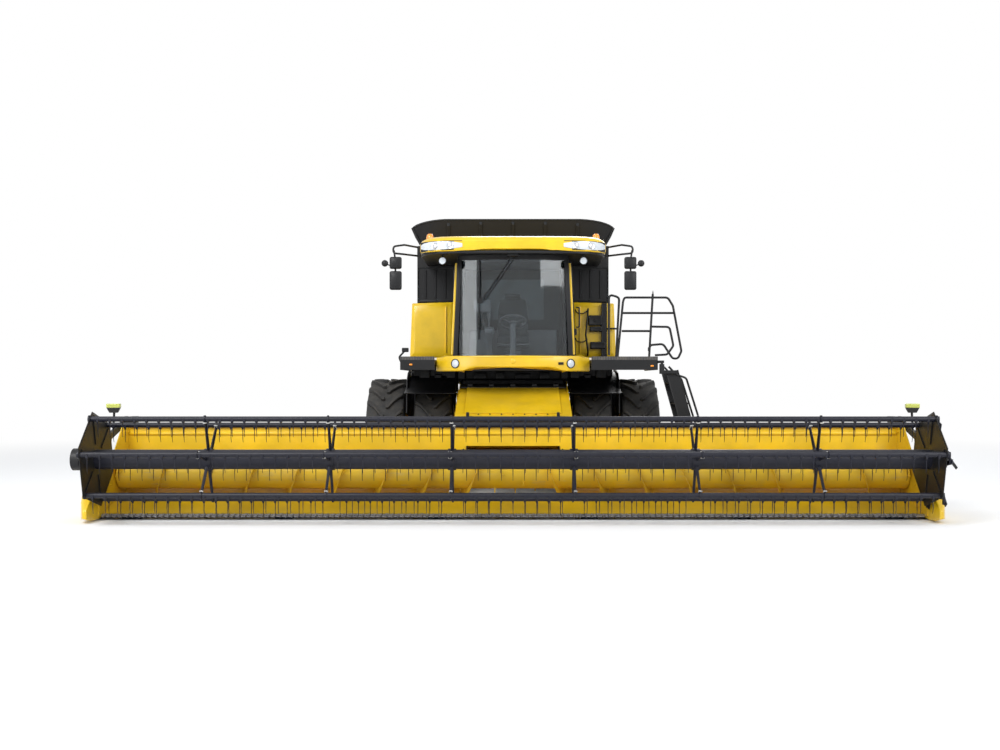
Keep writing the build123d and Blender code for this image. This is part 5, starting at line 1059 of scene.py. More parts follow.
def reel_carriers():
    """The reel drive's cover and nuts on the right carriage, and the slanting end bar on the left one."""
    x = DIVIDER_X - 0.106
    cover = [(x, 0), (x, 0.118), (x + 0.02, 0.128), (DIVIDER_X - 0.01, 0.134), (DIVIDER_X - 0.004, 0.12),
             (DIVIDER_X - 0.002, 0.05), (DIVIDER_X - 0.002, 0)]
    o = smooth(lathe("cover", cover, (0, REEL_Y, REEL_Z), "X", 40), 30)
    nuts = bolt_ring((DIVIDER_X - 0.008, REEL_Y, REEL_Z), 0.085, 6, 0.008, 0.005)
    settle(flipped(joined("reel_drive_cover", [o, nuts])), "reel_carriage", BLACK)
    bar = pressed(plate("bar", [(5.456, 0.895), (5.425, 0.865), (5.560, 0.690), (5.585, 0.715)],
                        REEL_Y - 0.128, REEL_Y - 0.116, "Y"), "Y", (0.006, -0.002), single=True)
    foot = cube("foot", (5.425, REEL_Y - 0.128, 0.84), (5.450, REEL_Y - 0.02, 0.89))
    settle(joined("reel_end_bar", [bevelled(bar, 0.003, 2), bevelled(foot, 0.004, 2)]),
           "reel_carriage", BLACK)


# Feeder house

def feeder_trim():
    """Cover plate, ribs and edges on the feeder house, and its black posts, bolts, apron, clips and pipes."""
    front_y, top = -2.430, 1.290
    slope = atan2(0.532, 1.667)
    parts = []
    cover = pressed(cube("cover", (-0.70, 0, 0), (0.70, 1.35, 0.010)), "+Z", (0.025, -0.004))
    bevelled(cover, 0.003, 1)
    turned(cover, slope, "X")
    shifted(cover, (0, front_y + 0.14, top + 0.046))
    parts.append(cover)
    for sign in (-1, 1):
        for k in range(4):
            y = front_y + 0.20 + 0.36 * k
            low_z = 0.46 + (y - front_y) * 0.555
            high_z = top + (y - front_y) * 0.318
            rib = cube("rib", (sign * 0.830, y, low_z), (sign * 0.844, y + 0.04, high_z - 0.05))
            parts.append(bevelled(rib, 0.003, 1))
        edge = plate("edge", [(front_y, top - 0.005), (front_y + 1.60, top + 0.504),
                              (front_y + 1.60, top + 0.474), (front_y, top - 0.035)],
                     sign * 0.830 - 0.004, sign * 0.830 + 0.010 * sign + 0.004)
        parts.append(edge)
    settle(joined("feeder_trim", parts), "header", YELLOW)
    posts = []
    for x in (-0.645, 0.645):
        post = cube("post", (x - 0.030, front_y - 0.02, 1.02), (x + 0.030, front_y + 0.03, 1.36))
        edit(post)
        choose_side(post, "+Z")
        resize_chosen((0.7, 0.7, 1), (x, front_y, 1.36))
        fresh()
        posts.append(bevelled(post, 0.006, 2))
        hook = cube("hook", (x - 0.045, front_y - 0.055, 1.20), (x + 0.045, front_y + 0.0, 1.25))
        posts.append(bevelled(hook, 0.005, 2))
    posts += bolts([(-0.66 + 0.165 * k, front_y + 0.10, top + 0.040) for k in range(9)], 0.012, 0.012, "Z")
    apron = pressed(plate("apron", [(-1.16, 1.697), (-0.76, 1.824), (-0.76, 1.842), (-1.16, 1.715)],
                          -0.815, 0.815), "+Z", (0.03, -0.004))
    posts.append(bevelled(apron, 0.003, 1))
    for k in range(5):
        x = -0.66 + 0.33 * k
        clip = pressed(cube("clip", (x - 0.04, -1.13, 1.712), (x + 0.04, -1.07, 1.765)), "-Y", (0.012, 0.010))
        posts.append(bevelled(clip, 0.005, 2))
    for k in range(3):
        run = [(-0.78, -0.98 + 0.05 * k, 1.775 + 0.016 * k), (0.78, -0.98 + 0.05 * k, 1.775 + 0.016 * k)]
        posts.append(smooth(tube("pipe", run, 0.011), 60))
    settle(joined("feeder_posts", posts), "header", BLACK)


def underfloor():
    """Valves, pipes held by clips and the cross tube between the cab floor and the feeder house."""
    parts = [tube("rail", [(-0.86, -0.70, 1.80), (0.86, -0.70, 1.80)], 0.045)]
    for x, w, h in ((-0.52, 0.20, 0.16), (-0.20, 0.14, 0.20), (0.16, 0.24, 0.14), (0.50, 0.16, 0.18)):
        block = pressed(cube("valve", (x - w / 2, -0.62, 1.86 - h / 2), (x + w / 2, -0.40, 1.86 + h / 2)),
                        "-Y", (0.03, 0.012))
        parts.append(bevelled(block, 0.006, 2))
        parts += bolts([(x - w / 3 + k * w / 3, -0.632, 1.86) for k in range(3)], 0.016, 0.03)
    for k in range(4):
        z = 1.72 - 0.035 * k
        parts.append(tube("pipe", rounded([(-0.80, -0.50, z + 0.10), (-0.55, -0.58, z), (0.55, -0.58, z),
                                           (0.80, -0.50, z + 0.10)], 0.08), 0.010))
    for x in (-0.4, 0.0, 0.4):
        parts.append(cube("clip", (x - 0.02, -0.60, 1.59), (x + 0.02, -0.37, 1.74)))
    settle(joined("underfloor_valves", [smooth(p, 35) for p in parts]), "root", BLACK)


# Cab

def on_nose(o, angle):
    """Turns a piece modelled straight ahead round the windscreen's centre."""
    return turned(o, angle, "Z", (0, NOSE_Y, 0))


def nose_outline(outer, inner, half_x, steps=24):
    """Outline (X, Y) of a curved band in front of the cab."""
    a = asin(half_x / outer)
    b = asin(half_x / inner)
    front = [(outer * sin(-a + 2 * a * k / steps), NOSE_Y - outer * cos(-a + 2 * a * k / steps))
             for k in range(steps + 1)]
    back = [(inner * sin(b - 2 * b * k / steps), NOSE_Y - inner * cos(b - 2 * b * k / steps))
            for k in range(steps + 1)]
    return front + back


def cab_roof():
    """Moulded roof over a black underside, lamp pods at its corners, work lamps and two beacons."""
    front = [(0.86 - 0.86 * k / 6, -1.985 - 0.015 * cos(pi / 2 * (1 - k / 6))) for k in range(7)]
    left = [(1.405, -0.11), (1.405, -1.42), (1.39, -1.56), (1.345, -1.70), (1.25, -1.83),
            (1.10, -1.93)] + front
    plan = left + [(-x, y) for x, y in reversed(left[:-1])]
    o = plate("roof", plan, 3.735, 3.862, "Z")
    edit(o)
    choose_side(o, "+Z")
    inset(0.035, 0.045)
    inset(0.06, 0.025)
    inset(0.20, 0.010)
    inset(0.05, -0.012)
    choose(o, verts=lambda v: v.z < 3.75 and v.y < -1.6 and abs(v.x) > 0.70)
    shift_chosen((0, 0, -0.030))
    fresh()
    o = smooth(bevelled(o, 0.016, 3, 28), 40)
    settle(o, "root", YELLOW, ["cab_roof"])
    o.name = "cab_roof_shell"
    under = pressed(plate("under", [(x * 0.985, y * 0.99) for x, y in plan], 3.672, 3.716, "Z"), "-Z",
                    (0.09, -0.012), (0.10, 0.006))
    settle(smooth(bevelled(under, 0.008, 2, 30), 40), "root", BLACK)
    under.name = "cab_roof_underside"
    outline = [
        (0.74, -1.998), (0.88, -1.994), (1.02, -1.966), (1.12, -1.926), (1.22, -1.864),
        (1.32, -1.776), (1.375, -1.70),
        (1.355, -1.68), (1.30, -1.75), (1.20, -1.84), (1.10, -1.90), (1.0, -1.935),
        (0.86, -1.962), (0.74, -1.965)]
    pod = plate("pod", outline, 3.728, 3.856, "Z")
    edit(pod)
    choose(pod, verts=lambda v: v.x < 0.80 or v.x > 1.34)
    resize_chosen((1, 1, 0.45), (1.0, -1.9, 3.792))
    choose(pod, verts=lambda v: 0.80 < v.x < 0.90 or 1.29 < v.x < 1.34)
    resize_chosen((1, 1, 0.86), (1.0, -1.9, 3.792))
    fresh()
    pods = [smooth(bevelled(pod, 0.010, 3), 50)]
    black = [bevelled(plate("rim", [(x, y + 0.010) for x, y in outline], 3.722, 3.862, "Z"), 0.006, 2)]
    bowls = []
    for cx, cy, turn in ((0.92, -1.988, 8), (1.15, -1.910, 30)):
        profile = [(0, 0.052), (-0.012, 0.048), (-0.004, 0.028), (-0.014, 0.012), (-0.014, 0)]
        bowl = turned(lathe("bowl", profile, (0, 0, 0), "Y", 24), radians(turn), "Z")
        bowls.append(smooth(shifted(bowl, (cx, cy - 0.002, 3.793)), 60))
    settle(both_sides("roof_lamp_pods", pods), "root", LAMP_CLEAR, ["lamps"])
    settle(both_sides("roof_lamp_bowls", bowls), "root", MIRROR)
    x, z = 1.045, 3.585
    ring = lathe("ring", [(0, 0.060), (-0.05, 0.060), (-0.055, 0.052), (-0.045, 0.050)],
                 (x, -1.74, z), "Y", 28)
    hood = cylinder("hood", (x, -1.715, z), 0.055, 0.05, "Y", 28)
    stalk = cube("stalk", (x - 0.012, -1.725, z + 0.05), (x + 0.012, -1.70, 3.705))
    work_lamp = [smooth(ring, 40), bevelled(hood, 0.008, 2), stalk]
    settle(both_sides("roof_lamp_rims", black + work_lamp), "root", BLACK)
    face = lathe("face", [(-0.048, 0), (-0.050, 0.03), (-0.046, 0.051), (-0.03, 0.051)],
                 (x, -1.74, z), "Y", 28)
    settle(both_sides("work_lamp_lenses", [smooth(face, 60)]), "root", LAMP_CLEAR)
    dome = lathe("beacon", [(0, 0.052), (0.06, 0.055), (0.10, 0.048), (0.12, 0.030), (0.125, 0)],
                 (1.265, -1.30, 3.925), "Z", 28)
    settle(both_sides("beacons", [smooth(dome, 50)]), "root", LAMP_AMBER)
    foot = lathe("foot", [(-0.03, 0.068), (0.0, 0.068), (0.006, 0.060), (0.012, 0.056)],
                 (1.265, -1.30, 3.918), "Z", 28)
    settle(both_sides("beacon_feet", [smooth(foot, 40)]), "root", BLACK)


def cab_front():
    """Pillar covers and seals, the windscreen's rail and sill, and the wiper with its motor."""
    pillar = cube("pillar", (0.840, -1.560, 2.085), (0.905, -1.500, 2.15))
    edit(pillar)
    choose_side(pillar, "+Z")
    extrude((-0.034, 0, 0.72))
    extrude((-0.034, 0, 0.77))
    fresh()
    bevelled(pillar, 0.010, 2)
    seal = tube("seal", [(0.842, -1.545, 2.10), (0.808, -1.552, 2.86), (0.775, -1.556, 3.62)], 0.008)
    sides = both_sides("pillars", [pillar, seal])
    rail = plate("rail", nose_outline(NOSE_R + 0.008, NOSE_R - 0.06, 0.815), 3.652, 3.690, "Z")
    sill = plate("sill", nose_outline(NOSE_R + 0.006, NOSE_R - 0.02, 0.86), 2.085, 2.120, "Z")
    motor = pressed(cube("motor", (-0.085, -1.850, 3.640), (0.085, -1.745, 3.715)), "-Y", (0.015, 0.008))
    motor = bevelled(motor, 0.008, 2)
    pivot = cylinder("pivot", (-0.03, -1.80, 3.625), 0.022, 0.05, "Y", 20)
    arms = [tube("arm", [(-0.03 + dx, -1.800, 3.625), (-0.26 + dx, -1.765, 3.30),
                         (-0.475 + dx, -1.725, 3.00)], 0.008) for dx in (0.0, 0.05)]
    blade = [tube("blade", [(-0.50, -1.700, 3.60), (-0.505, -1.702, 3.02), (-0.51, -1.700, 2.42)], 0.010)]
    blade += [cube("lip", (-0.512, -1.696, 2.42), (-0.502, -1.684, 3.60)),
              cube("joint", (-0.53, -1.735, 2.96), (-0.45, -1.700, 3.03))]
    for z in (3.30, 2.72):
        blade.append(cube("bow", (-0.516, -1.715, z - 0.10), (-0.494, -1.703, z + 0.10)))
    whole = joined("cab_front_trim", [sides, rail, sill, motor, pivot] + arms + blade)
    settle(smooth(whole, 35), "root", BLACK)


def cab_sides():
    """Door handle with its lock, and the yellow strips on the cab's front posts."""
    handle = tube("handle", rounded([(0.955, -1.40, 2.62), (1.005, -1.40, 2.62), (1.005, -1.40, 2.92),
                                     (0.955, -1.40, 2.92)], 0.03), 0.011)
    lock = bevelled(cube("lock", (0.93, -1.425, 2.50), (0.965, -1.365, 2.60)), 0.008, 2)
    settle(smooth(joined("door_handle", [handle, lock]), 40), "cab_door", BLACK)
    strip = cube("strip", (0.858, -1.530, 2.20), (0.930, -1.470, 2.24))
    edit(strip)
    choose_side(strip, "+Z")
    extrude((-0.030, 0, 0.70))
    extrude((-0.030, 0, 0.64))
    fresh()
    settle(both_sides("cab_frame_strips", [bevelled(strip, 0.008, 2)]), "root", YELLOW)


def bumper():
    """Yellow band under the windscreen, deeper at its ends, with round and slot lamps and a bare boss."""
    outline = nose_outline(NOSE_R + 0.130, NOSE_R + 0.004, 1.16, 40)
    o = plate("bumper", outline, 1.95, 2.18, "Z")
    edit(o)
    choose(o, verts=lambda v: v.z < 2.0 and abs(v.x) < 0.62)
    shift_chosen((0, 0, 0.055))
    choose(o, verts=lambda v: v.z < 2.0 and 0.62 <= abs(v.x) < 0.72)
    shift_chosen((0, 0, 0.03))
    choose(o, verts=lambda v: v.z > 2.1 and abs(v.x) > 1.06)
    shift_chosen((0, 0.01, -0.02))
    fresh()
    o = smooth(bevelled(o, 0.018, 3, 40), 35)
    swage = plate("swage", nose_outline(NOSE_R + 0.136, NOSE_R + 0.12, 0.60, 20), 2.150, 2.162, "Z")
    face = NOSE_Y - NOSE_R - 0.130
    boss = lathe("boss", [(0, 0.036), (-0.006, 0.036), (-0.010, 0.030), (-0.010, 0)],
                 (0, face, 2.095), "Y", 32)
    settle(joined("bumper_band", [o, smooth(swage, 40), smooth(boss, 40)]), "root", YELLOW,
           ["front_bumper"])
    rings, lenses = [], []
    for sign in (-1, 1):
        ring = lathe("ring", [(0.01, 0.070), (-0.012, 0.070), (-0.018, 0.064), (-0.006, 0.058)],
                     (0, face, 2.065), "Y", 36)
        disc = lathe("disc", [(-0.006, 0.058), (-0.012, 0.040), (-0.014, 0)], (0, face, 2.065), "Y", 36)
        slot_lamp = cube("slot", (-0.21, face - 0.006, 2.045), (-0.12, face + 0.01, 2.085))
        rings.append(on_nose(smooth(ring, 50), radians(sign * 28.2)))
        lenses.append(on_nose(smooth(disc, 50), radians(sign * 28.2)))
        slot_lamp = bevelled(slot_lamp, 0.008, 2)
        rings.append(on_nose(slot_lamp, radians(sign * (28.2 if sign > 0 else 37.0))))
    settle(joined("bumper_lamp_rings", rings), "root", BLACK)
    settle(joined("bumper_lamps", lenses), "root", LAMP_CLEAR)


def mirror_set():
    """Arms, two heads a side and the small round ones, glass facing the driver."""
    parts = []
    bracket = cube("bracket", (1.400, -1.42, 3.680), (1.450, -1.34, 3.850))
    parts.append(bevelled(bracket, 0.008, 2))
    loop = rounded([(1.44, -1.40, 3.830), (1.62, -1.66, 3.835), (1.775, -1.76, 3.80), (1.775, -1.76, 3.70),
                    (1.62, -1.66, 3.695), (1.44, -1.40, 3.700)], 0.06)
    parts.append(tube("arm", loop, 0.015))
    parts.append(tube("arm", [(1.765, -1.76, 3.74), (1.745, -1.76, 3.60), (1.74, -1.76, 3.16)], 0.014))
    for x0, x1, z0, z1 in ((1.645, 1.825, 3.460, 3.640), (1.645, 1.825, 3.150, 3.430)):
        head = bevelled(cube("head", (x0, -1.84, z0), (x1, -1.775, z1)), 0.030, 5)
        edit(head)
        choose(head, faces=lambda c, n: n.y < -0.99)
        inset(0.012, 0.006)
        choose(head, faces=lambda c, n: n.y > 0.99)
        inset(0.006, -0.006)
        fresh()
        parts.append(smooth(head, 40))
    for z in (3.56, 3.30):
        parts.append(cube("clamp", (1.72, -1.80, z - 0.02), (1.76, -1.75, z + 0.02)))
    small = lathe("small", [(0.020, 0.046), (0.0, 0.050), (-0.018, 0.042), (-0.026, 0.020), (-0.028, 0)],
                  (1.895, -1.80, 3.545), "Y", 28)
    parts.append(smooth(small, 50))
    parts.append(tube("stalk", [(1.74, -1.77, 3.50), (1.82, -1.78, 3.515), (1.885, -1.79, 3.54)], 0.009))
    settle(both_sides("mirror_arms_and_heads", parts), "root", BLACK, ["mirrors"])
    panes = []
    for x0, x1, z0, z1 in ((1.674, 1.796, 3.494, 3.606), (1.674, 1.796, 3.184, 3.396)):
        pane = cube("pane", (x0, -1.784, z0), (x1, -1.779, z1))
        panes.append(bevelled(pane, 0.0015, 1))
    panes.append(smooth(lathe("pane", [(0.019, 0.044), (0.023, 0.030), (0.025, 0)],
                              (1.895, -1.80, 3.545), "Y", 28), 60))
    settle(both_sides("mirror_glass", panes), "root", MIRROR)


def cab_inside():
    """Seat base, wheel on its column, arm console with lever and screen, floor mat and headlining."""
    base = cube("base", (-0.17, -0.92, 2.082), (0.17, -0.56, 2.16))
    bellows = [bevelled(cube("fold", (-0.13, -0.88, 2.16 + 0.04 * k), (0.13, -0.60, 2.195 + 0.04 * k)),
                        0.012, 2) for k in range(5)]
    pan = bevelled(cube("pan", (-0.25, -1.0, 2.355), (0.25, -0.50, 2.385)), 0.01, 2)
    column = tube("column", [(0, -1.40, 2.08), (0, -1.34, 2.40), (0, -1.235, 2.665)], 0.045)
    boot = lathe("boot", [(0, 0.11), (0.03, 0.10), (0.12, 0.055), (0.16, 0.05)], (0, -1.395, 2.08), "Z", 24)
    ring = tube("wheel", [(0.200 * cos(2 * pi * k / 32), 0.200 * sin(2 * pi * k / 32), 0) for k in range(32)],
                0.015, True)
    spokes = [tube("spoke", [(0, 0, -0.03), (0.10 * cos(a), 0.10 * sin(a), -0.02),
                             (0.198 * cos(a), 0.198 * sin(a), 0)], 0.010)
              for a in (radians(90), radians(210), radians(330))]
    hub = lathe("hub", [(-0.05, 0.03), (-0.03, 0.055), (-0.005, 0.05), (0.0, 0.03), (0.0, 0)],
                (0, 0, 0), "Z", 24)
    knob = lathe("knob", [(0.012, 0.012), (0.04, 0.022), (0.055, 0.018), (0.06, 0)], (0.14, 0.14, 0), "Z", 16)
    wheel = shifted(turned(joined("wheel", [ring, hub, knob] + spokes), radians(-28), "X"), (0, -1.22, 2.71))
    arm = cube("arm", (-0.44, -1.08, 2.555), (-0.30, -0.50, 2.64))
    edit(arm)
    choose_side(arm, "+Z")
    inset(0.015, -0.006)
    choose_side(arm, "-Y")
    extrude((0, -0.10, -0.03))
    fresh()
    arm = bevelled(arm, 0.012, 3)
    foot = bevelled(cube("foot", (-0.41, -0.78, 2.082), (-0.32, -0.62, 2.56)), 0.01, 2)
    lever = tube("lever", [(-0.37, -1.02, 2.64), (-0.37, -1.03, 2.72), (-0.37, -1.05, 2.77)], 0.012)
    grip = smooth(lathe("grip", [(0, 0.018), (0.03, 0.026), (0.08, 0.028), (0.10, 0.02), (0.108, 0)],
                        (-0.37, -1.05, 2.76), "Z", 18), 50)
    places = [(-0.40 + 0.03 * (k % 3), -0.95 + 0.05 * (k // 3), 2.641) for k in range(9)]
    buttons = bolts(places, 0.009, 0.012, "Z", 12)
    screen = bevelled(cube("screen", (-0.60, -1.30, 2.86), (-0.34, -1.27, 3.04)), 0.008, 2)
    screen_arm = tube("screen_arm", [(-0.47, -1.28, 2.88), (-0.50, -1.20, 2.80), (-0.42, -0.95, 2.62)], 0.012)
    mat = bevelled(cube("mat", (-0.80, -1.52, 2.081), (0.80, -0.25, 2.090)), 0.003, 1)
    lining = bevelled(cube("lining", (-0.76, -1.50, 3.600), (0.76, -0.25, 3.655)), 0.01, 2)
    rear_box = bevelled(cube("rear_box", (-0.70, -0.48, 2.082), (0.70, -0.215, 2.62)), 0.02, 3)
    whole = joined("cab_interior", [base] + bellows + [pan, column, boot, wheel, arm, foot, lever, grip]
                   + buttons + [screen, screen_arm, mat, lining, rear_box])
    settle(smooth(whole, 40), "root", CAB_PLASTIC, ["cab_controls"])
    glow = bevelled(cube("glow", (-0.585, -1.268, 2.875), (-0.355, -1.266, 3.025)), 0.0005, 1)
    settle(glow, "root", SCREEN)


def seat():
    """Padded cushion, back and head rest with piping, as one stuffed piece."""
    cushion = cube("seat", (-0.255, -1.005, 2.385), (0.255, -0.505, 2.495))
    back = cube("back", (-0.235, -0.56, 2.50), (0.235, -0.455, 2.56))
    edit(back)
    choose_side(back, "+Z")
    for dy, dz, sx in ((0.045, 0.18, 1.03), (0.045, 0.20, 0.96), (0.03, 0.17, 0.86)):
        extrude((0, dy, dz))
        resize_chosen((sx, 1, 1), (0, -0.45, 2.9))
    fresh()
    rest = cube("rest", (-0.13, -0.40, 3.13), (0.13, -0.325, 3.20))
    pads = [cushion, back, rest]
    for pad in pads:
        edit(pad)
        bpy.ops.mesh.select_all(action="SELECT")
        bpy.ops.mesh.subdivide(number_cuts=3)
        fresh()
        bevelled(pad, 0.02, 2, 40)
        modified(pad, "SUBSURF", levels=1, render_levels=1)
    piping = [
        tube("piping", rounded([(-0.235, -0.99, 2.492), (0.235, -0.99, 2.492), (0.235, -0.53, 2.492),
                                (-0.235, -0.53, 2.492)], 0.04), 0.006, True),
        tube("piping", [(-0.10, -0.99, 2.494), (-0.10, -0.54, 2.494)], 0.005),
        tube("piping", [(0.10, -0.99, 2.494), (0.10, -0.54, 2.494)], 0.005)]
    o = smooth(joined("driver_seat", pads + piping), 60)
    settle(o, "root", SEAT_CLOTH, ["seat_cushion"])


def deck_rails():
    """Bent tube rails of the left platform with their feet, lamps on both sides, toe strips and treads."""
    y, z = PLATFORM_Y, PLATFORM_Z
    main = [
        rounded([(1.556, y, z), (1.64, y, 2.98), (1.66, y, 3.05), (2.31, y, 3.05),
                 (2.385, y, 2.925), (2.512, y, 2.25), (2.46, y, 2.14), (2.38, y, 2.14),
                 (2.24, y, 2.357), (2.06, y, 2.342)], 0.07),
        rounded([(2.07, y, 2.616), (2.335, y, 2.612), (2.392, y, 2.33), (2.30, y, 2.20), (2.117, y, 2.19)],
                0.06),
        [(1.635, y, 2.819), (2.40, y, 2.819)],
        [(1.622, y, 2.55), (2.045, y, 2.55)],
        [(2.028, y, z), (2.085, y, 3.10)],
        rounded([(1.431, y, 2.19), (1.431, y, 3.10), (1.585, y, 3.05), (1.536, y, z)], 0.06)]
    parts = [smooth(tube("rail", path, 0.017), 60) for path in main]
    parts += bolts([(x, y, z + 0.004) for x in (1.556, 2.028, 1.536, 1.431)], 0.035, 0.008, "Z", 16)
    parts.append(lathe("tip", [(0, 0.010), (0.03, 0.008), (0.05, 0.003), (0.055, 0)],
                       (2.087, y, 3.10), "Z", 12))
    lamp_arm = rounded([(2.06, y, 2.33), (2.02, y - 0.02, 2.30), (2.02, y - 0.02, 2.25)], 0.02)
    parts.append(tube("lamp_arm", lamp_arm, 0.012))
    bracket = rounded([(-1.655, y, 2.05), (-1.70, y - 0.01, 2.16), (-1.60, y - 0.01, 2.27)], 0.04)
    parts.append(smooth(tube("bracket", bracket, 0.014), 60))
    parts.append(bevelled(cube("lamp_body", (-1.655, -1.705, 2.235), (-1.555, -1.655, 2.300)), 0.012, 2))
    settle(joined("platform_rails", parts), "root", BLACK, ["railings"])
    amber = [bevelled(cube("amber", (x - 0.022, -1.712, up - 0.012), (x + 0.022, -1.700, up + 0.012)),
                      0.004, 2) for x, up in ((2.07, 2.03), (-1.52, 2.05))]
    settle(joined("deck_lamps", amber), "root", LAMP_AMBER)
    deck = [cube("toe", (x0, -1.700, z), (x1, -1.690, 2.17)) for x0, x1 in ((1.17, 2.156), (-1.68, -1.17))]
    for x0, x1, y0, y1 in ((1.19, 2.13, -1.67, -1.22), (0.92, 2.13, -1.19, -0.27)):
        plate_part = pressed(cube("tread", (x0, y0, 2.120), (x1, y1, 2.128)), "+Z", (0.02, -0.003))
        deck.append(plate_part)
        deck.append(cube("tread", (-min(x1, 1.655), y0, 2.120), (-x0, y1, 2.128)))
    settle(joined("deck_treads", deck), "root", TREAD)


def ladder():
    """Folding ladder: pressed stringers, ribbed steps, hoops and the arm that carries it."""
    y0 = -1.68
    top, foot = Vector((2.37, 0, 1.95)), Vector((2.78, 0, 0.45))
    run = foot - top
    lean = atan2(run.x, -run.z)
    parts = []
    for y in (y0, y0 + 0.5):
        s = pressed(cube("stringer", (-0.095, y - 0.010, 0), (0.095, y + 0.010, run.length)), "Y",
                    (0.018, -0.004), single=True)
        turned(bevelled(s, 0.004, 2), pi, "X")
        turned(shifted(s, (0, 2 * y, 0)), -lean, "Y")
        parts.append(shifted(s, (top.x, 0, top.z)))
    for k in range(5):
        p = top + run * ((k + 0.6) / 5)
        step = pressed(cube("step", (p.x - 0.09, y0 + 0.01, p.z - 0.014),
                            (p.x + 0.12, y0 + 0.49, p.z + 0.014)), "+Z", (0.012, -0.005))
        parts.append(bevelled(step, 0.003, 1))
        for j in range(7):
            parts.append(cube("grip", (p.x - 0.085 + 0.028 * j, y0 + 0.02, p.z + 0.008),
                              (p.x - 0.077 + 0.028 * j, y0 + 0.48, p.z + 0.020)))
    for y in (y0, y0 + 0.5):
        hoop = rounded([(2.32, y, 2.02), (2.43, y, 1.90), (2.58, y, 1.85), (2.86, y, 0.96), (2.76, y, 0.72)],
                       0.07)
        parts.append(smooth(tube("hoop", hoop, 0.016), 60))
    parts.append(bevelled(cube("arm", (2.2, -1.73, 1.91), (2.44, -1.66, 1.965)), 0.006, 2))
    sleeve = lathe("sleeve", [(1.912, 0.0205), (1.912, 0.038), (2.058, 0.038), (2.058, 0.0205),
                              (1.912, 0.0205)], (2.215, -1.70, 0), "Z", 24)
    parts.append(smooth(sleeve, 40))
    settle(joined("folding_ladder", parts), "access_ladder", BLACK, ["access_ladder"])


# Grain tank, its extension and the front panels

def front_panels():
    """Bulged yellow panels beside the cab, ribbed black sheets over them and the left one's fittings."""
    yellow = []
    for sign in (-1, 1):
        panel = cube("panel", (0.945, -0.235, 2.185), (1.690, -0.100, 3.085))
        edit(panel)
        choose_side(panel, "-Y")
        inset(0.030, 0.018)
        inset(0.060, 0.020)
        inset(0.140, 0.008)
        choose(panel, verts=lambda v: v.x > 1.66 and v.z > 3.0)
        shift_chosen((-0.055, 0, -0.02))
        choose(panel, verts=lambda v: v.x > 1.60 and v.z < 2.25)
        shift_chosen((-0.02, 0, 0))
        fresh()
        panel = smooth(bevelled(panel, 0.012, 3, 30), 40)
        crease = cube("crease", (1.075, -0.300, 2.26), (1.088, -0.270, 3.01))
        half = joined("front_panel", [panel, smooth(bevelled(crease, 0.004, 2), 40)])
        yellow.append(half if sign > 0 else mirrored(half))
        if sign < 0:
            removed(half)
    settle(joined("front_panel_pair", yellow), "root", YELLOW, ["front_panels"])
    black = []
    sheet = pressed(cube("sheet", (0.945, -0.158, 3.095), (1.556, -0.104, 3.660)), "-Y", (0.030, -0.010))
    black.append(bevelled(sheet, 0.006, 2))
    for x in (1.10, 1.26, 1.42):
        rib = cube("rib", (x - 0.016, -0.164, 3.15), (x + 0.016, -0.148, 3.61))
        edit(rib)
        choose_side(rib, "-Y")
        resize_chosen((0.55, 1, 0.97), (x, -0.164, 3.38))
        fresh()
        black.append(rib)
    places = ((0.965, 3.13), (0.965, 3.62), (1.535, 3.13), (1.535, 3.62), (1.25, 3.125), (1.25, 3.63))
    black += bolts([(x, -0.162, z) for x, z in places], 0.010, 0.010)
    black.append(cube("filler", (0.945, -0.150, 3.655), (1.556, -0.104, 3.895)))
    settle(both_sides("upper_front_sheets", black), "root", BLACK)
    fittings = []
    post = pressed(cube("post", (1.425, -0.345, 2.12), (1.515, -0.285, 3.06)), "-Y", (0.014, -0.006))
    fittings.append(bevelled(post, 0.008, 2))
    for x0, x1, z0, z1 in ((1.214, 1.44, 2.70, 2.865), (1.235, 1.44, 2.60, 2.685),
                           (1.246, 1.49, 2.324, 2.437)):
        box = pressed(cube("box", (x0, -0.350, z0), (x1, -0.262, z1)), "-Y", (0.016, 0.010), (0.012, -0.005))
        fittings.append(smooth(bevelled(box, 0.012, 3), 40))
    fittings.append(cylinder("plug", (1.33, -0.362, 2.785), 0.022, 0.02, "Y", 20))
    fittings.append(tube("bar", rounded([(1.50, -0.30, 2.648), (1.60, -0.36, 2.648), (1.70, -0.34, 2.648)],
                                        0.05), 0.016))
    grab = rounded([(1.21, -0.262, 2.22), (1.205, -0.36, 2.30), (1.17, -0.37, 2.55), (1.20, -0.36, 2.85),
                    (1.215, -0.262, 2.98)], 0.10)
    fittings.append(smooth(tube("grab", grab, 0.014), 60))
    for z in (2.44, 2.90):
        hose = rounded([(1.01, -0.262, z + 0.06), (1.03, -0.33, z), (1.13, -0.34, z - 0.01),
                        (1.20, -0.30, z + 0.04)], 0.05)
        fittings.append(smooth(tube("hose", hose, 0.009), 60))
    settle(joined("left_panel_fittings", fittings), "root", BLACK)


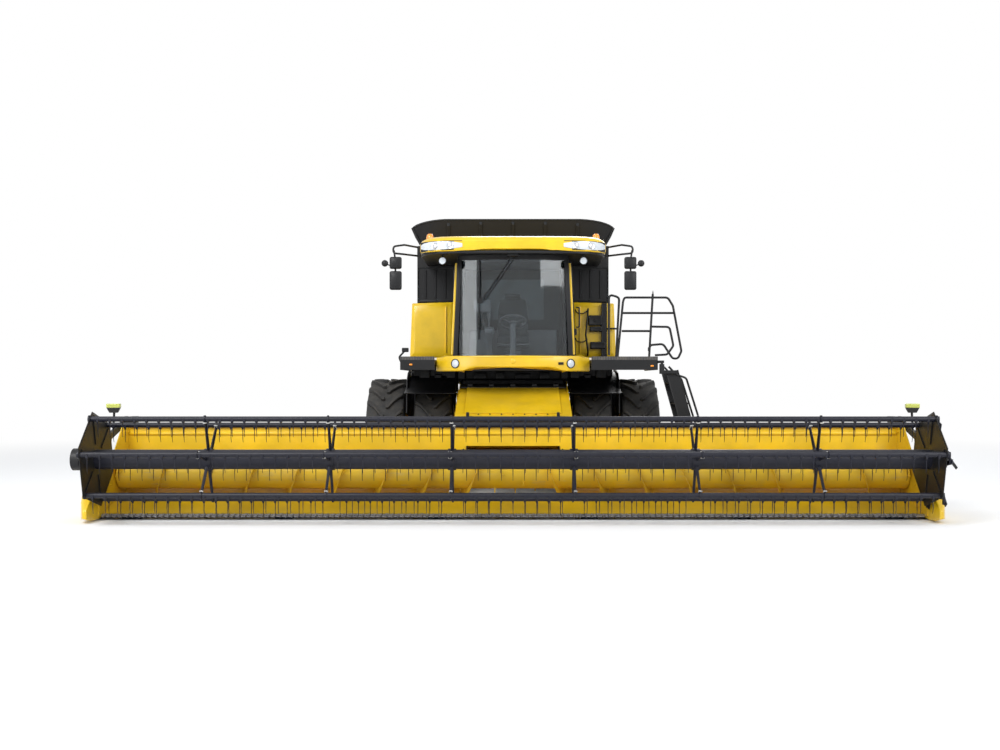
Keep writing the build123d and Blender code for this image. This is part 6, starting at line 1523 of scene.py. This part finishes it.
def tank_extension():
    """Flared walls with pressed ribs, rolled rim, corner folds, foot bolts, floor strip and hinge strip."""
    foot, front_y, rear_y = TANK_FOOT, TANK_FRONT, TANK_REAR
    ends = ((front_y, -1), (rear_y, 1))
    curve = [(1.42, foot), (1.50, 4.02), (1.58, 4.16), (1.64, 4.30), (1.615, 4.325), (1.57, 4.352),
             (1.50, 4.379), (1.41, 4.403), (1.31, 4.421), (1.20, 4.434), (1.09, 4.44)]
    outline = curve + [(-x, z) for x, z in reversed(curve)]
    walls = []
    for y, out in ends:
        wall = plate("wall", outline, y, y - out * 0.028, "Y")
        edit(wall)
        for level in sorted({z for x, z in curve if z > foot}):
            choose(wall, verts=lambda v: abs(v.z - level) < 0.001)
            shift_chosen((0, out * TANK_LEAN * (level - foot), 0))
        fresh()
        walls.append(wall)
    for sign in (-1, 1):
        x0 = sign * 1.42
        wall = plate("wall", [(front_y, foot), (rear_y, foot), (rear_y + 0.11, 4.30), (front_y - 0.11, 4.30)],
                     x0, x0 - sign * 0.028)
        edit(wall)
        choose(wall, verts=lambda v: v.z > 4.2)
        shift_chosen((sign * 0.22, 0, 0))
        fresh()
        walls.append(cleaned(wall))
    parts = [bevelled(w, 0.004, 1, 50) for w in walls]
    for x in (-1.05, -0.525, 0.0, 0.525, 1.05):
        for y, out in ends:
            lean = out * TANK_LEAN
            top = 4.40 if abs(x) < 1.0 else 4.38
            rib = plate("rib", [(y, foot + 0.03), (y + out * 0.022, foot + 0.05),
                                (y + lean * (top - foot) + out * 0.022, top - 0.05),
                                (y + lean * (top - foot), top)], x - 0.022, x + 0.022)
            parts.append(bevelled(rib, 0.005, 2))
    for sign in (-1, 1):
        for y in (0.40, 1.20, 2.00):
            rib = plate("rib", [(sign * 1.42, foot + 0.03), (sign * 1.445, foot + 0.05),
                                (sign * 1.648, 4.24), (sign * 1.62, 4.27)], y - 0.022, y + 0.022, "Y")
            parts.append(bevelled(rib, 0.005, 2))
    rim = [(x, front_y - TANK_LEAN * (z - foot) + 0.014, z - 0.017) for x, z in curve[3:]]
    back = [(x, rear_y + TANK_LEAN * (z - foot) - 0.014, z - 0.017) for x, z in curve[3:]]
    loop = ([(-x, y, z) for x, y, z in rim] + list(reversed(rim))
            + back + [(-x, y, z) for x, y, z in reversed(back)])
    parts.append(smooth(tube("rim", loop, 0.016, True), 60))
    for sign in (-1, 1):
        for y, out in ends:
            fold = [(sign * x, y + out * TANK_LEAN * (z - foot), z) for x, z in curve[:4]]
            parts.append(smooth(tube("fold", fold, 0.020), 60))
    parts += bolts([(-1.30 + 0.2 * k, y + out * 0.012, foot + 0.025) for k in range(14) for y, out in ends],
                   0.010, 0.014)
    floor = pressed(cube("floor", (1.000, front_y + 0.004, foot - 0.012),
                         (1.430, rear_y - 0.004, foot + 0.004)), "+Z", (0.04, -0.004))
    parts.append(bevelled(floor, 0.002, 1))
    strip = cube("strip", (-1.42, front_y - 0.016, foot - 0.02), (1.42, front_y + 0.004, foot + 0.012))
    parts.append(bevelled(strip, 0.003, 1))
    settle(joined("tank_extension_walls", parts), "root", BLACK, ["tank_extension"])


def tank_sides():
    """Upright ribs and a seam of bolts on both tank walls, and the lip along the front wall's top."""
    parts = []
    for sign in (-1, 1):
        top = 3.86 if sign < 0 else 3.22
        for y in (0.10, 0.60, 1.20, 1.80, 2.40):
            rib = cube("rib", (sign * 1.560, y - 0.024, 2.96), (sign * 1.578, y + 0.024, top))
            parts.append(bevelled(rib, 0.006, 2))
        parts += bolts([(sign * 1.563, -0.02 + 0.2 * k, top - 0.03) for k in range(13)], 0.010, 0.012, "X")
    lip = cube("lip", (-1.565, -0.105, 3.875), (1.010, -0.085, 3.905))
    parts.append(bevelled(lip, 0.004, 2))
    settle(joined("tank_ribs", parts), "root", BLACK)


def unloading_tube():
    """Long tube with flanged joints, its elbow on the turntable, the folded rubber boot and a lamp."""
    x, z, r = 1.300, 3.500, 0.190
    profile = [(0.10, 0), (0.08, 0.06), (0.062, 0.13), (0.10, 0.175), (0.25, r)]
    for y in (0.700, 2.900):
        profile += [(y - 0.001, r), (y, 0.206), (y + 0.013, 0.208), (y + 0.0135, 0.204), (y + 0.0165, 0.204),
                    (y + 0.017, 0.208), (y + 0.030, 0.206), (y + 0.031, r)]
    profile += [(4.900, r), (4.905, 0.196), (4.925, 0.196), (4.930, r), (5.330, r),
                (5.350, 0.165), (5.350, 0)]
    barrel = smooth(lathe("tube", profile, (x, 0, z), "Y", 56), 30)
    nuts = bolts([(x + 0.199 * cos(a), y, z + 0.199 * sin(a)) for y in (0.715, 2.915)
                  for a in (2 * pi * k / 12 for k in range(12))], 0.007, 0.046)
    riser = [(3.281, 0), (3.281, 0.205), (3.300, 0.212), (3.318, 0.205), (3.330, r), (3.47, r), (3.56, 0.175),
             (3.63, 0.12), (3.668, 0.05), (3.670, 0)]
    riser = smooth(lathe("riser", riser, (x, 0.250, 0), "Z", 56), 35)
    web = plate("web", [(0.42, 3.315), (0.72, 3.315), (0.70, 3.33), (0.46, 3.36)], x - 0.006, x + 0.006)
    settle(joined("unloading_tube_body", [barrel, riser, web] + nuts), "unloading_tube", YELLOW,
           ["unloading_tube"])
    boot_y = 5.130
    folds = [(3.42, 0.176)]
    for k in range(5):
        top = 3.36 - 0.055 * k
        folds += [(top, 0.180), (top - 0.020, 0.172), (top - 0.035, 0.180)]
    folds += [(3.075, 0.182), (3.070, 0.182), (3.070, 0.160), (3.078, 0.158), (3.30, 0.156), (3.42, 0.156)]
    boot = smooth(lathe("boot", folds + [folds[0]], (x, boot_y, 0), "Z", 48), 40)
    clamp = smooth(lathe("clamp", [(3.34, 0.178), (3.34, 0.186), (3.365, 0.186), (3.365, 0.178),
                                   (3.34, 0.178)], (x, boot_y, 0), "Z", 48), 40)
    settle(joined("spout_boot", [boot, clamp]), "unloading_tube", DARK_PLASTIC)
    lamp = smooth(lathe("lamp", [(0, 0.0), (0.0, 0.038), (0.02, 0.042), (0.05, 0.034), (0.058, 0)],
                        (x - 0.20, 4.98, 3.36), "Z", 24), 50)
    arm = cube("arm", (x - 0.215, 4.955, 3.40), (x - 0.165, 5.0, 3.44))
    settle(joined("spout_lamp", [lamp, arm]), "unloading_tube", BLACK)


# Rear body

def shield(sign):
    """A big side panel: pressed border and swages, framed louvres, latches and hinge sleeves."""
    outline = [(-0.05, 2.15), (-0.05, 2.90), (4.65, 2.90), (4.85, 1.70), (2.90, 1.60), (2.50, 1.15),
               (1.25, 1.15), (1.00, 1.95)]
    panel = pressed(plate("panel", outline, 1.604, 1.640), "+X", (0.035, 0.010), (0.030, -0.008))
    parts = [smooth(bevelled(panel, 0.006, 2, 30), 35)]
    swages = (
        [(0.15, 2.735), (0.15, 2.785), (4.50, 2.785), (4.52, 2.735)],
        [(1.36, 1.90), (1.41, 1.955), (4.60, 2.055), (4.61, 2.000)],
        [(1.50, 1.34), (1.46, 1.40), (2.42, 1.40), (2.38, 1.34)])
    parts += [smooth(bevelled(plate("swage", points, 1.636, 1.655), 0.007, 3), 40) for points in swages]
    frame_part = recessed(plate("frame", [(3.03, 2.26), (3.03, 2.68), (4.37, 2.68), (4.37, 2.26)],
                                1.636, 1.656), "+X", 0.035, 0.016)
    parts.append(bevelled(frame_part, 0.004, 2))
    for y in (0.30, 2.20, 4.40):
        sleeve = lathe("sleeve", [(y - 0.055, 0.0150), (y - 0.055, 0.024), (y + 0.055, 0.024),
                                  (y + 0.055, 0.0150), (y - 0.055, 0.0150)], (1.625, 0, 2.920), "Y", 20)
        leaf = cube("leaf", (1.606, y - 0.05, 2.86), (1.620, y + 0.05, 2.905))
        parts += [smooth(sleeve, 40), leaf]
    whole = joined("shield", parts)
    dark = []
    for k in range(6):
        z = 2.30 + 0.060 * k
        slat = plate("slat", [(3.06, 0), (4.34, 0), (4.34, 0.008), (3.06, 0.008)], 1.640, 1.682)
        turned(shifted(slat, (-1.64, 0, 0)), radians(38), "Y")
        dark.append(bevelled(shifted(slat, (1.628, 0, z + 0.038)), 0.002, 1))
    dark.append(cube("backing", (1.638, 3.06, 2.29), (1.641, 4.34, 2.65)))
    for y, z in ((1.65, 1.62), (2.32, 1.62), (3.40, 1.80), (4.55, 1.86)):
        cup = recessed(cube("latch", (1.636, y - 0.055, z - 0.032), (1.662, y + 0.055, z + 0.032)), "+X",
                       0.012, 0.014)
        dark.append(bevelled(cup, 0.005, 2))
        dark.append(bevelled(cube("paddle", (1.648, y - 0.030, z - 0.016), (1.658, y + 0.030, z + 0.010)),
                             0.003, 2))
    dark.append(tube("seal", [(1.612, -0.045, 2.16), (1.612, -0.045, 2.89)], 0.008))
    dark = joined("shield_black", dark)
    if sign < 0:
        flipped(whole)
        flipped(dark)
    side = "left" if sign > 0 else "right"
    whole.name, dark.name = f"{side}_side_panel", f"{side}_side_louvres"
    settle(whole, f"{side}_shield", YELLOW, [f"{side}_shield"])
    settle(dark, f"{side}_shield", DARK_PLASTIC)


def engine_hood():
    """Hood with a hatch and ears, grilles, the screen's ring, grab handles, exhaust and the tube's saddle."""
    outline = [(-1.50, 2.72), (-1.50, 3.58), (-1.38, 3.70), (0.90, 3.70), (1.00, 3.60), (1.00, 3.23),
               (1.44, 3.23), (1.50, 3.17), (1.50, 2.72), (0.77, 2.66), (-0.77, 2.66)]
    hood = plate("hood", outline, 2.560, 4.600, "Y")
    edit(hood)
    choose(hood, faces=lambda c, n: n.z > 0.95 and c.z > 3.6)
    inset(0.06, -0.008)
    choose_side(hood, "+Y")
    inset(0.05, 0.008)
    choose(hood, faces=lambda c, n: abs(n.x) > 0.9 and abs(c.x) > 1.4)
    inset(0.04, -0.006)
    fresh()
    parts = [smooth(bevelled(hood, 0.014, 3, 30), 35)]
    hatch = pressed(cube("hatch", (-0.95, 2.75, 3.695), (0.55, 3.70, 3.712)), "+Z", (0.03, 0.004))
    parts.append(smooth(bevelled(hatch, 0.005, 2), 40))
    for y in (2.62, 4.0, 4.52):
        parts.append(cube("ear", (1.490, y - 0.03, 2.70), (1.500, y + 0.03, 2.76)))
    settle(joined("engine_hood_shell", parts), "root", YELLOW, ["engine_hood"])
    dark = []
    grille = recessed(cube("grille", (-0.93, 4.598, 3.06), (0.73, 4.625, 3.62)), "+Y", 0.035, 0.020)
    dark.append(bevelled(grille, 0.005, 2))
    for k in range(9):
        slat = cube("slat", (-0.90, 4.604, 3.118 + 0.053 * k), (0.70, 4.632, 3.126 + 0.053 * k))
        turned(shifted(slat, (0, -4.618, -3.122 - 0.053 * k)), radians(-32), "X")
        dark.append(bevelled(shifted(slat, (0, 4.614, 3.122 + 0.053 * k)), 0.002, 1))
    for x in (-0.5, -0.1, 0.3):
        dark.append(cube("bar", (x - 0.010, 4.618, 3.09), (x + 0.010, 4.630, 3.59)))
    vent = recessed(cube("vent", (1.498, 2.87, 2.94), (1.520, 4.13, 3.16)), "+X", 0.02, 0.014)
    dark.append(bevelled(vent, 0.004, 2))
    for k in range(4):
        slat = cube("slat", (1.505, 2.895, 2.972 + 0.045 * k), (1.528, 4.105, 2.980 + 0.045 * k))
        dark.append(bevelled(slat, 0.002, 1))
    ring = [(-1.536, 0.486), (-1.536, 0.535), (-1.500, 0.545), (-1.492, 0.545),
            (-1.492, 0.486), (-1.536, 0.486)]
    dark.append(smooth(lathe("ring", ring, (0, 3.300, 3.080), "X", 64), 35))
    for y in (2.90, 3.40):
        dark.append(tube("grab", rounded([(-0.90, y, 3.712), (-0.90, y, 3.76), (-0.78, y, 3.76),
                                          (-0.78, y, 3.712)], 0.02), 0.008))
    settle(joined("hood_grilles", dark), "root", DARK_PLASTIC)
    pipe = [(3.66, 0), (3.66, 0.105), (3.700, 0.105), (3.705, 0.088), (3.73, 0.088), (3.735, 0.070),
            (3.90, 0.070), (3.905, 0.074), (3.955, 0.074), (3.960, 0.071), (3.955, 0.066),
            (3.80, 0.064), (3.80, 0)]
    exhaust = smooth(lathe("exhaust", pipe, (0.500, 4.200, 0), "Z", 40), 35)
    shroud = smooth(lathe("shroud", [(3.735, 0.072), (3.740, 0.092), (3.86, 0.092), (3.865, 0.072)],
                          (0.500, 4.200, 0), "Z", 40), 35)
    settle(joined("exhaust_pipe", [exhaust, shroud]), "root", STEEL)
    saddle = plate("saddle", [(1.15, 3.225), (1.15, 3.355)]
                   + [(1.3 + 0.197 * sin(radians(a)), 3.5 - 0.197 * cos(radians(a)))
                      for a in range(-45, 1, 9)] + [(1.30, 3.225)], 4.255, 4.345, "Y")
    foot = cube("foot", (1.10, 4.22, 3.226), (1.302, 4.38, 3.242))
    settle(joined("tube_saddle", [bevelled(saddle, 0.004, 2), foot]), "root", BLACK)


def rotary_screen():
    """Pierced dust screen: rolled rim, pressed cross ribs and the hub's cap."""
    x, y, z = -1.520, 3.300, 3.080
    face = [(x + 0.012, 0.05), (x + 0.006, 0.20), (x + 0.012, 0.44), (x + 0.018, 0.44),
            (x + 0.020, 0.05), (x + 0.012, 0.05)]
    sheet = smooth(lathe("sheet", face, (0, y, z), "X", 64), 40)
    settle(sheet, "radiator_screen", PIERCED, ["radiator_screen"])
    rim_part = [(x + 0.002, 0.432), (x, 0.446), (x, 0.468), (x + 0.006, 0.479), (x + 0.048, 0.479),
                (x + 0.048, 0.470), (x + 0.02, 0.462), (x + 0.02, 0.432), (x + 0.002, 0.432)]
    parts = [smooth(lathe("rim", rim_part, (0, y, z), "X", 64), 40)]
    for k in range(6):
        rib = cube("rib", (x + 0.001, -0.014, 0.055), (x + 0.014, 0.014, 0.436))
        edit(rib)
        choose_side(rib, "-X")
        resize_chosen((1, 0.5, 0.97), (x, 0, 0.25))
        fresh()
        parts.append(shifted(turned(rib, 2 * pi * k / 6, "X"), (0, y, z)))
    hub = [(x + 0.03, 0.031), (x + 0.03, 0.075), (x + 0.006, 0.070), (x + 0.001, 0.055),
           (x + 0.001, 0.031), (x + 0.03, 0.031)]
    parts.append(smooth(lathe("hub", hub, (0, y, z), "X", 40), 35))
    parts.append(cube("seal", (x + 0.002, y + 0.25, z - 0.01), (x + 0.010, y + 0.42, z + 0.01)))
    settle(joined("screen_frame", parts), "radiator_screen", BLACK)


def straw_hood():
    """Rear hood with a curtain in its window, lamps in their brackets and a grab bar."""
    outline = [(4.32, 2.65), (4.30, 1.70), (4.95, 1.75), (5.12, 1.94), (5.15, 2.00), (5.14, 2.06),
               (5.00, 2.65), (4.60, 2.90), (4.56, 2.65)]
    body = plate("straw_hood", outline, -0.740, 0.740)
    edit(body)
    choose_side(body, "X")
    inset(0.05, -0.008, True)
    choose(body, faces=lambda c, n: n.y > 0.8 and 2.1 < c.z < 2.6)
    inset(0.11, -0.03)
    fresh()
    body = smooth(bevelled(body, 0.012, 3, 28), 35)
    settle(body, "root", YELLOW, ["straw_hood"])
    dark = []
    for k in range(10):
        strip = plate("strip", [(5.105, 2.085), (4.985, 2.545), (4.992, 2.548), (5.112, 2.088)],
                      -0.625 + 0.126 * k, -0.625 + 0.126 * k + 0.116)
        dark.append(bevelled(strip, 0.002, 1))
    for sign in (-1, 1):
        arm = cube("lamp_arm", (sign * 0.74, 4.86, 2.10), (sign * 0.98, 4.90, 2.14))
        plate_part = cube("lamp_plate", (sign * 0.90, 4.90, 2.02), (sign * 1.28, 4.925, 2.22))
        dark += [arm, bevelled(plate_part, 0.006, 2)]
    dark.append(tube("grab", rounded([(-0.35, 5.02, 1.94), (-0.35, 5.16, 1.90), (0.35, 5.16, 1.90),
                                      (0.35, 5.02, 1.94)], 0.04), 0.014))
    settle(joined("straw_curtain", [smooth(p, 35) for p in dark]), "root", DARK_PLASTIC)
    red, amber, clear = [], [], []
    for sign in (-1, 1):
        for at, bag in ((0.95, red), (1.07, amber), (1.19, red)):
            lamp = cylinder("lamp", (sign * at, 4.935, 2.12), 0.046, 0.03, "Y", 32)
            pressed(lamp, "+Y", (0.008, 0.006), (0.020, 0.003))
            bag.append(smooth(lamp, 40))
        clear.append(bevelled(cube("reverse", (sign * 1.07 - 0.05, 4.925, 2.035),
                                   (sign * 1.07 + 0.05, 4.938, 2.060)), 0.004, 2))
    settle(joined("tail_lamps", red), "root", LAMP_RED)
    settle(joined("turn_lamps", amber), "root", LAMP_AMBER)
    settle(joined("reversing_lamps", clear), "root", LAMP_CLEAR)


def chopper():
    """Chopper housing with bearing caps, belt cover on the left and the spreading vanes under the tail."""
    outline = [(4.42, 1.18), (4.42, 1.64), (4.95, 1.744), (5.20, 1.35), (5.23, 1.30), (4.95, 1.18)]
    house = plate("chopper", outline, -0.740, 0.740)
    edit(house)
    choose_side(house, "X")
    inset(0.035, -0.006, True)
    choose(house, faces=lambda c, n: n.y > 0.5 and n.z > 0.2 and c.y > 5.0)
    inset(0.04, -0.02)
    fresh()
    parts = [smooth(bevelled(house, 0.008, 2, 30), 35)]
    for k in range(8):
        x = -0.68 + 0.194 * k
        vane = plate("vane", [(5.00, 1.205), (5.235, 1.295), (5.21, 1.36), (5.02, 1.60)],
                     x - 0.005, x + 0.005)
        parts.append(bevelled(vane, 0.002, 1))
        parts.append(cylinder("bolt", (x + 0.03, 5.10, 1.53), 0.010, 0.02, "Y", 6))
    cap = smooth(lathe("cap", [(0.738, 0), (0.738, 0.09), (0.765, 0.085), (0.772, 0.05), (0.772, 0)],
                       (0, 4.72, 1.42), "X", 32), 35)
    parts += [cap, mirrored(cap), bolt_ring((0.765, 4.72, 1.42), 0.070, 6, 0.009, 0.010)]
    belt = pressed(plate("belt_cover", [(4.55, 1.30), (4.55, 1.58), (4.88, 1.62), (4.96, 1.45), (4.86, 1.28)],
                         0.740, 0.758), "+X", (0.03, 0.012))
    parts.append(smooth(bevelled(belt, 0.005, 2), 35))
    settle(joined("chopper_housing", parts), "root", BLACK, ["straw_chopper"])


# Running gear

def along(o, p, q):
    """Lays a piece modelled along Z, from the origin, on the line from p to q."""
    p, q = Vector(p), Vector(q)
    o.data.transform((q - p).to_track_quat("Z", "Y").to_matrix().to_4x4())
    return shifted(o, p)


def cylinder_fittings():
    """Glands, end caps, ports and hoses on the barrels of the lift and reel cylinders."""
    for name, body, x, base, eye, r, rod in (
        ("lift_cylinder_glands", "lift_barrels", 0.600, (-0.200, 0.700), (-1.700, 0.600), 0.055, 0.030),
        ("reel_cylinder_glands", "reel_lift_barrels", ARM_X, REEL_BASE, (-3.350, 0.930), 0.021, 0.011),
    ):
        p, q = Vector((x, *base)), Vector((x, *eye))
        ahead = (q - p).normalized()
        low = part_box("lift_barrels" if x < 1 else "reel_lift_barrels")[0]
        reach = (low.y - AXLE_Y - p.y) / ahead.y
        gland = lathe("gland", [(-0.05, r * 0.9), (-0.05, r * 1.12), (-0.012, r * 1.14), (-0.005, r),
                                (0.0, rod * 1.35), (0.0, rod + 0.0005), (-0.05, r * 0.9)], (0, 0, 0), "Z", 32)
        gland = along(smooth(gland, 35), p + ahead * reach, q)
        cap = lathe("cap", [(0.0, r), (0.0, r * 1.10), (0.03, r * 1.10), (0.035, r), (0.0, r)],
                    (0, 0, 0), "Z", 32)
        cap = along(smooth(cap, 35), p + ahead * (r * 1.6), q)
        port = cylinder("port", p + ahead * (r * 3.2) + Vector((0, 0, r * 1.12)), r * 0.28, r * 0.5, "Z", 12)
        run = [p + ahead * (r * far) + Vector((0, 0, r * up))
               for far, up in ((3.2, 1.3), (3.2, 2.2), (1.4, 2.4), (0, 2.0))]
        hose = smooth(tube("hose", rounded(run, r * 0.6), r * 0.17), 60)
        settle(both_sides(name, [gland, cap, port, hose]), body, BLACK)


def axle_fittings():
    """Nuts on the final drives, brake lines with clips on the front beam, and grease caps at the kingpins."""
    parts = [bolt_ring((0.93, 0, FRONT_R), 0.115, 10, 0.011, 0.012)]
    line = rounded([(0.10, -0.19, 1.06), (0.60, -0.20, 1.06), (0.80, -0.17, 1.02), (0.86, -0.12, 0.98)], 0.05)
    parts.append(smooth(tube("line", line, 0.008), 60))
    for x in (0.25, 0.5):
        parts.append(cube("clip", (x - 0.012, -0.21, 1.045), (x + 0.012, -0.185, 1.078)))
    cap = lathe("cap", [(0.0, 0.05), (0.012, 0.048), (0.02, 0.03), (0.022, 0)],
                (1.08, WHEELBASE, 0.902), "Z", 24)
    parts.append(smooth(cap, 50))
    settle(both_sides("axle_fittings", parts), "root", BLACK)


def wheel_guards():
    """Black mudguards over the inner front wheels, with their side sheets and ribbed flaps; the side sheets
    and flaps also fill the gap between the inner and outer tyres with black, partly as painted shade of that
    gap.
    """
    arc = [(-1.02, 1.62)] + [(-0.99 * cos(radians(a)), 0.96 + 1.00 * sin(radians(a)))
                             for a in range(48, 126, 6)]
    inner = [(y * 0.985, z - 0.014) for y, z in reversed(arc)]
    hood = plate("guard", arc + inner, 0.900, 1.690)
    hood = smooth(bevelled(hood, 0.003, 1, 60), 30)
    # The side sheet stands in the gap between the inner and outer tyres: its black is partly painted shade of
    # that gap.
    side = pressed(plate("side", [(-0.78, 1.30), (-0.70, 1.80), (-0.48, 1.94), (-0.20, 1.99), (0.20, 1.99),
                                  (0.45, 1.93), (0.55, 1.60), (0.30, 1.22), (-0.30, 1.22)], 1.664, 1.684),
                   "X", (0.03, -0.004), single=True)
    side = bevelled(side, 0.003, 1)
    # The flap behind the wheels fills the lower part of that gap with black, partly as painted shade.
    flap_and_gap_shade = cube("flap_and_gap_shade", (0.96, 0.962, 0.98), (1.790, 0.978, 1.78))
    edit(flap_and_gap_shade)
    choose_side(flap_and_gap_shade, "Y")
    inset(0.03, -0.003, True)
    choose(flap_and_gap_shade, verts=lambda v: v.z < 1.1 and v.x < 1.1)
    shift_chosen((0.06, 0, 0.05))
    fresh()
    ribs = [bevelled(cube("rib", (1.14 + 0.12 * k, 0.974, 1.06), (1.16 + 0.12 * k, 0.984, 1.70)), 0.003, 1)
            for k in range(4)]
    settle(both_sides("front_mudguards", [hood, side, bevelled(flap_and_gap_shade, 0.003, 1)] + ribs),
           "root", BLACK)


def under_deck():
    """Black panels, boxes and a sloping sheet beside the feeder house, under the decks."""
    parts = []
    for sign in (-1, 1):
        outer = 1.60 if sign > 0 else 1.63
        sheet = cube("sheet", (sign * 0.88, -0.36, 1.62), (sign * outer, -0.33, 2.06))
        edit(sheet)
        choose_side(sheet, "-Y")
        inset(0.04, 0.012)
        inset(0.03, -0.008)
        choose(sheet, verts=lambda v: v.z < 1.7 and abs(v.x) > 1.3)
        shift_chosen((0, 0, 0.20))
        fresh()
        parts.append(bevelled(sheet, 0.005, 2))
        for x, w, z0, z1 in ((0.82, 0.13, 1.80, 2.05), (0.99, 0.16, 1.76, 1.98), (1.20, 0.12, 1.70, 1.92),
                             (1.42, 0.18, 1.84, 2.00)):
            box = pressed(cube("box", (sign * x - w / 2, -0.42, z0), (sign * x + w / 2, -0.345, z1)), "-Y",
                          (0.02, 0.014))
            parts.append(bevelled(box, 0.006, 2))
    settle(joined("under_deck_sheets", parts), "root", BLACK)


# Stage

def stage():
    """Camera, floor, lights and background."""
    scene = bpy.context.scene
    cam = bpy.data.objects.new("camera", bpy.data.cameras.new("camera"))
    scene.collection.objects.link(cam)
    cam.location = (0, AXLE_Y - CAMERA_AHEAD, CAMERA_HEIGHT)
    cam.rotation_euler = (pi / 2, 0, 0)
    cam.data.lens, cam.data.sensor_width = LENS_MM, SENSOR_MM
    cam.data.shift_x, cam.data.shift_y = LENS_SHIFT
    scene.camera = cam
    fresh()
    bpy.ops.mesh.primitive_plane_add(size=160, location=(0, 0, 0))
    floor = bpy.context.object
    floor.name = "floor"
    m, t, s = material("pale_floor")
    fill(t, s, {"Base Color": shade((0.90, 0.90, 0.90)), "Roughness": 0.9, "Specular IOR Level": 0.1})
    far = node(t, "ShaderNodeVectorMath", {0: here(t)}, operation="LENGTH").outputs["Value"]
    glow = node(t, "ShaderNodeEmission", {"Color": (1, 1, 1, 1), "Strength": 1.0}).outputs["Emission"]
    mix = node(t, "ShaderNodeMixShader", {0: ramp(t, far, 9.0, 22.0), 1: s.outputs["BSDF"], 2: glow})
    fill(t, t.nodes["Material Output"], {"Surface": mix.outputs["Shader"]})
    floor.data.materials.append(m)
    world = bpy.data.worlds.new("studio")
    scene.world = world
    world.use_nodes = True
    w = world.node_tree
    w.nodes.clear()
    light, white = (
        node(w, "ShaderNodeBackground", {"Color": colour, "Strength": strength}).outputs["Background"]
        for colour, strength in (((0.93, 0.96, 1.0, 1), 0.62), ((1, 1, 1, 1), 1.0)))
    rays = w.nodes.new("ShaderNodeLightPath").outputs
    seen = maths(w, "MAXIMUM", maths(w, "MAXIMUM", rays["Is Camera Ray"], rays["Is Glossy Ray"]),
                 rays["Is Transmission Ray"])
    both = node(w, "ShaderNodeMixShader", {0: seen, 1: light, 2: white})
    node(w, "ShaderNodeOutputWorld", {"Surface": both.outputs["Shader"]})
    for name, place, size, watts in LIGHTS:
        lamp = bpy.data.lights.new(name, "AREA")
        lamp.size, lamp.energy = size, watts
        o = bpy.data.objects.new(name, lamp)
        scene.collection.objects.link(o)
        o.location = place
        o.rotation_mode = "QUATERNION"
        o.rotation_quaternion = (LIGHTS_AIM - Vector(place)).to_track_quat("-Z", "Y")
    scene.view_settings.view_transform = "Standard"


stage()
DARK = {"dust_colour": (0.14, 0.12, 0.09), "coat": 0.06, "specular": 0.32}
YELLOW = painted("harvest_yellow", (0.90, 0.58, 0.012), (0.30, 0.18, 0.03), 0.28, 0.10, 0.08)
RIM = painted("rim_yellow", (0.84, 0.53, 0.014), (0.16, 0.12, 0.08), 0.38, 0.35, 0.20, 2.2)
BLACK = painted("satin_black", (0.0055, 0.006, 0.0075), (0.05, 0.05, 0.05), 0.46, 0.05, 0.08, **DARK)
NAVY = painted("reel_navy", (0.006, 0.007, 0.016), (0.07, 0.07, 0.08), 0.46, 0.05, 0.12, **DARK)
WORN = crop_worn("auger_worn_yellow", (0.88, 0.57, 0.016), (0.42, 0.38, 0.30))
STEEL = metal("ground_steel", (0.34, 0.34, 0.35), 0.38, 0.5)
CHROME = metal("hard_chrome", (0.80, 0.80, 0.82), 0.12, 0.10)
MIRROR = metal("silvered_glass", (0.72, 0.74, 0.78), 0.03, 0.05)
POLYMER = plastic("bearing_polymer", (0.55, 0.55, 0.53), 0.5, 0.3)
CAB_PLASTIC = plastic("cab_plastic", (0.13, 0.13, 0.14), 0.55, 0.1)
DARK_PLASTIC = plastic("dark_plastic", (0.018, 0.018, 0.020), 0.45, 0.25)
GLASS = glass("tinted_glass", (0.66, 0.74, 0.78))
LAMP_CLEAR = lens("clear_lens", (0.70, 0.75, 0.80), 0.04)
LAMP_AMBER = lens("amber_lens", (0.90, 0.30, 0.02), 0.20)
LAMP_RED = lens("red_lens", (0.70, 0.03, 0.02), 0.15)
LAMP_GREEN = lens("marker_lens", (0.50, 0.54, 0.10), 0.04)
SCREEN = lens("monitor_face", (0.06, 0.12, 0.20), 0.5)
SEAT_CLOTH = fabric("seat_cloth", (0.055, 0.055, 0.062), 900.0)
TREAD = tread_plate("tread_plate", (0.030, 0.030, 0.033))
PIERCED = pierced("pierced_sheet", (0.045, 0.045, 0.048), 0.020, 0.007)
RUBBER = rubber()

# The CAD nodes' materials; what isn't named is black
LOOKS = (
    (YELLOW, "header_shell header_ends feeder_house cab_roof front_bumper left_shield right_shield "
             "straw_hood unloading_tube engine_hood front_panels"),
    (NAVY, "reel_core reel_control bat_1 bat_2 bat_3 bat_4 bat_5 bat_6"),
    (WORN, "header_auger"),
    (STEEL, "cutterbar"),
    (CHROME, "lift_rods reel_lift_rods"),
    (RUBBER, "front_left_tyres front_right_tyres rear_left_tyre rear_right_tyre"),
    (RIM, "front_left_rims front_right_rims rear_left_rim rear_right_rim"),
    (GLASS, "cab_glass cab_door_glass"),
    (SEAT_CLOTH, "seat_cushion"),
    (CAB_PLASTIC, "cab_controls"),
    (PIERCED, "radiator_screen"),
    (LAMP_CLEAR, "lamps"),
)
for name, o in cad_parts.items():
    o.data.materials.clear()
    o.data.materials.append(next((look for look, names in LOOKS if name in names.split()), BLACK))

for build in (
    front_wheels, rear_wheels, auger, guards, header_sheets, divider, header_back,
    bats, reel_body, reel_carriers,
    feeder_trim, underfloor, cab_roof, cab_front, cab_sides, bumper, mirror_set,
    cab_inside, seat, deck_rails, ladder,
    front_panels, tank_extension, tank_sides, unloading_tube,
):
    build()
shield(1)
shield(-1)
for build in (engine_hood, rotary_screen, straw_hood, chopper, cylinder_fittings, axle_fittings, wheel_guards,
              under_deck):
    build()
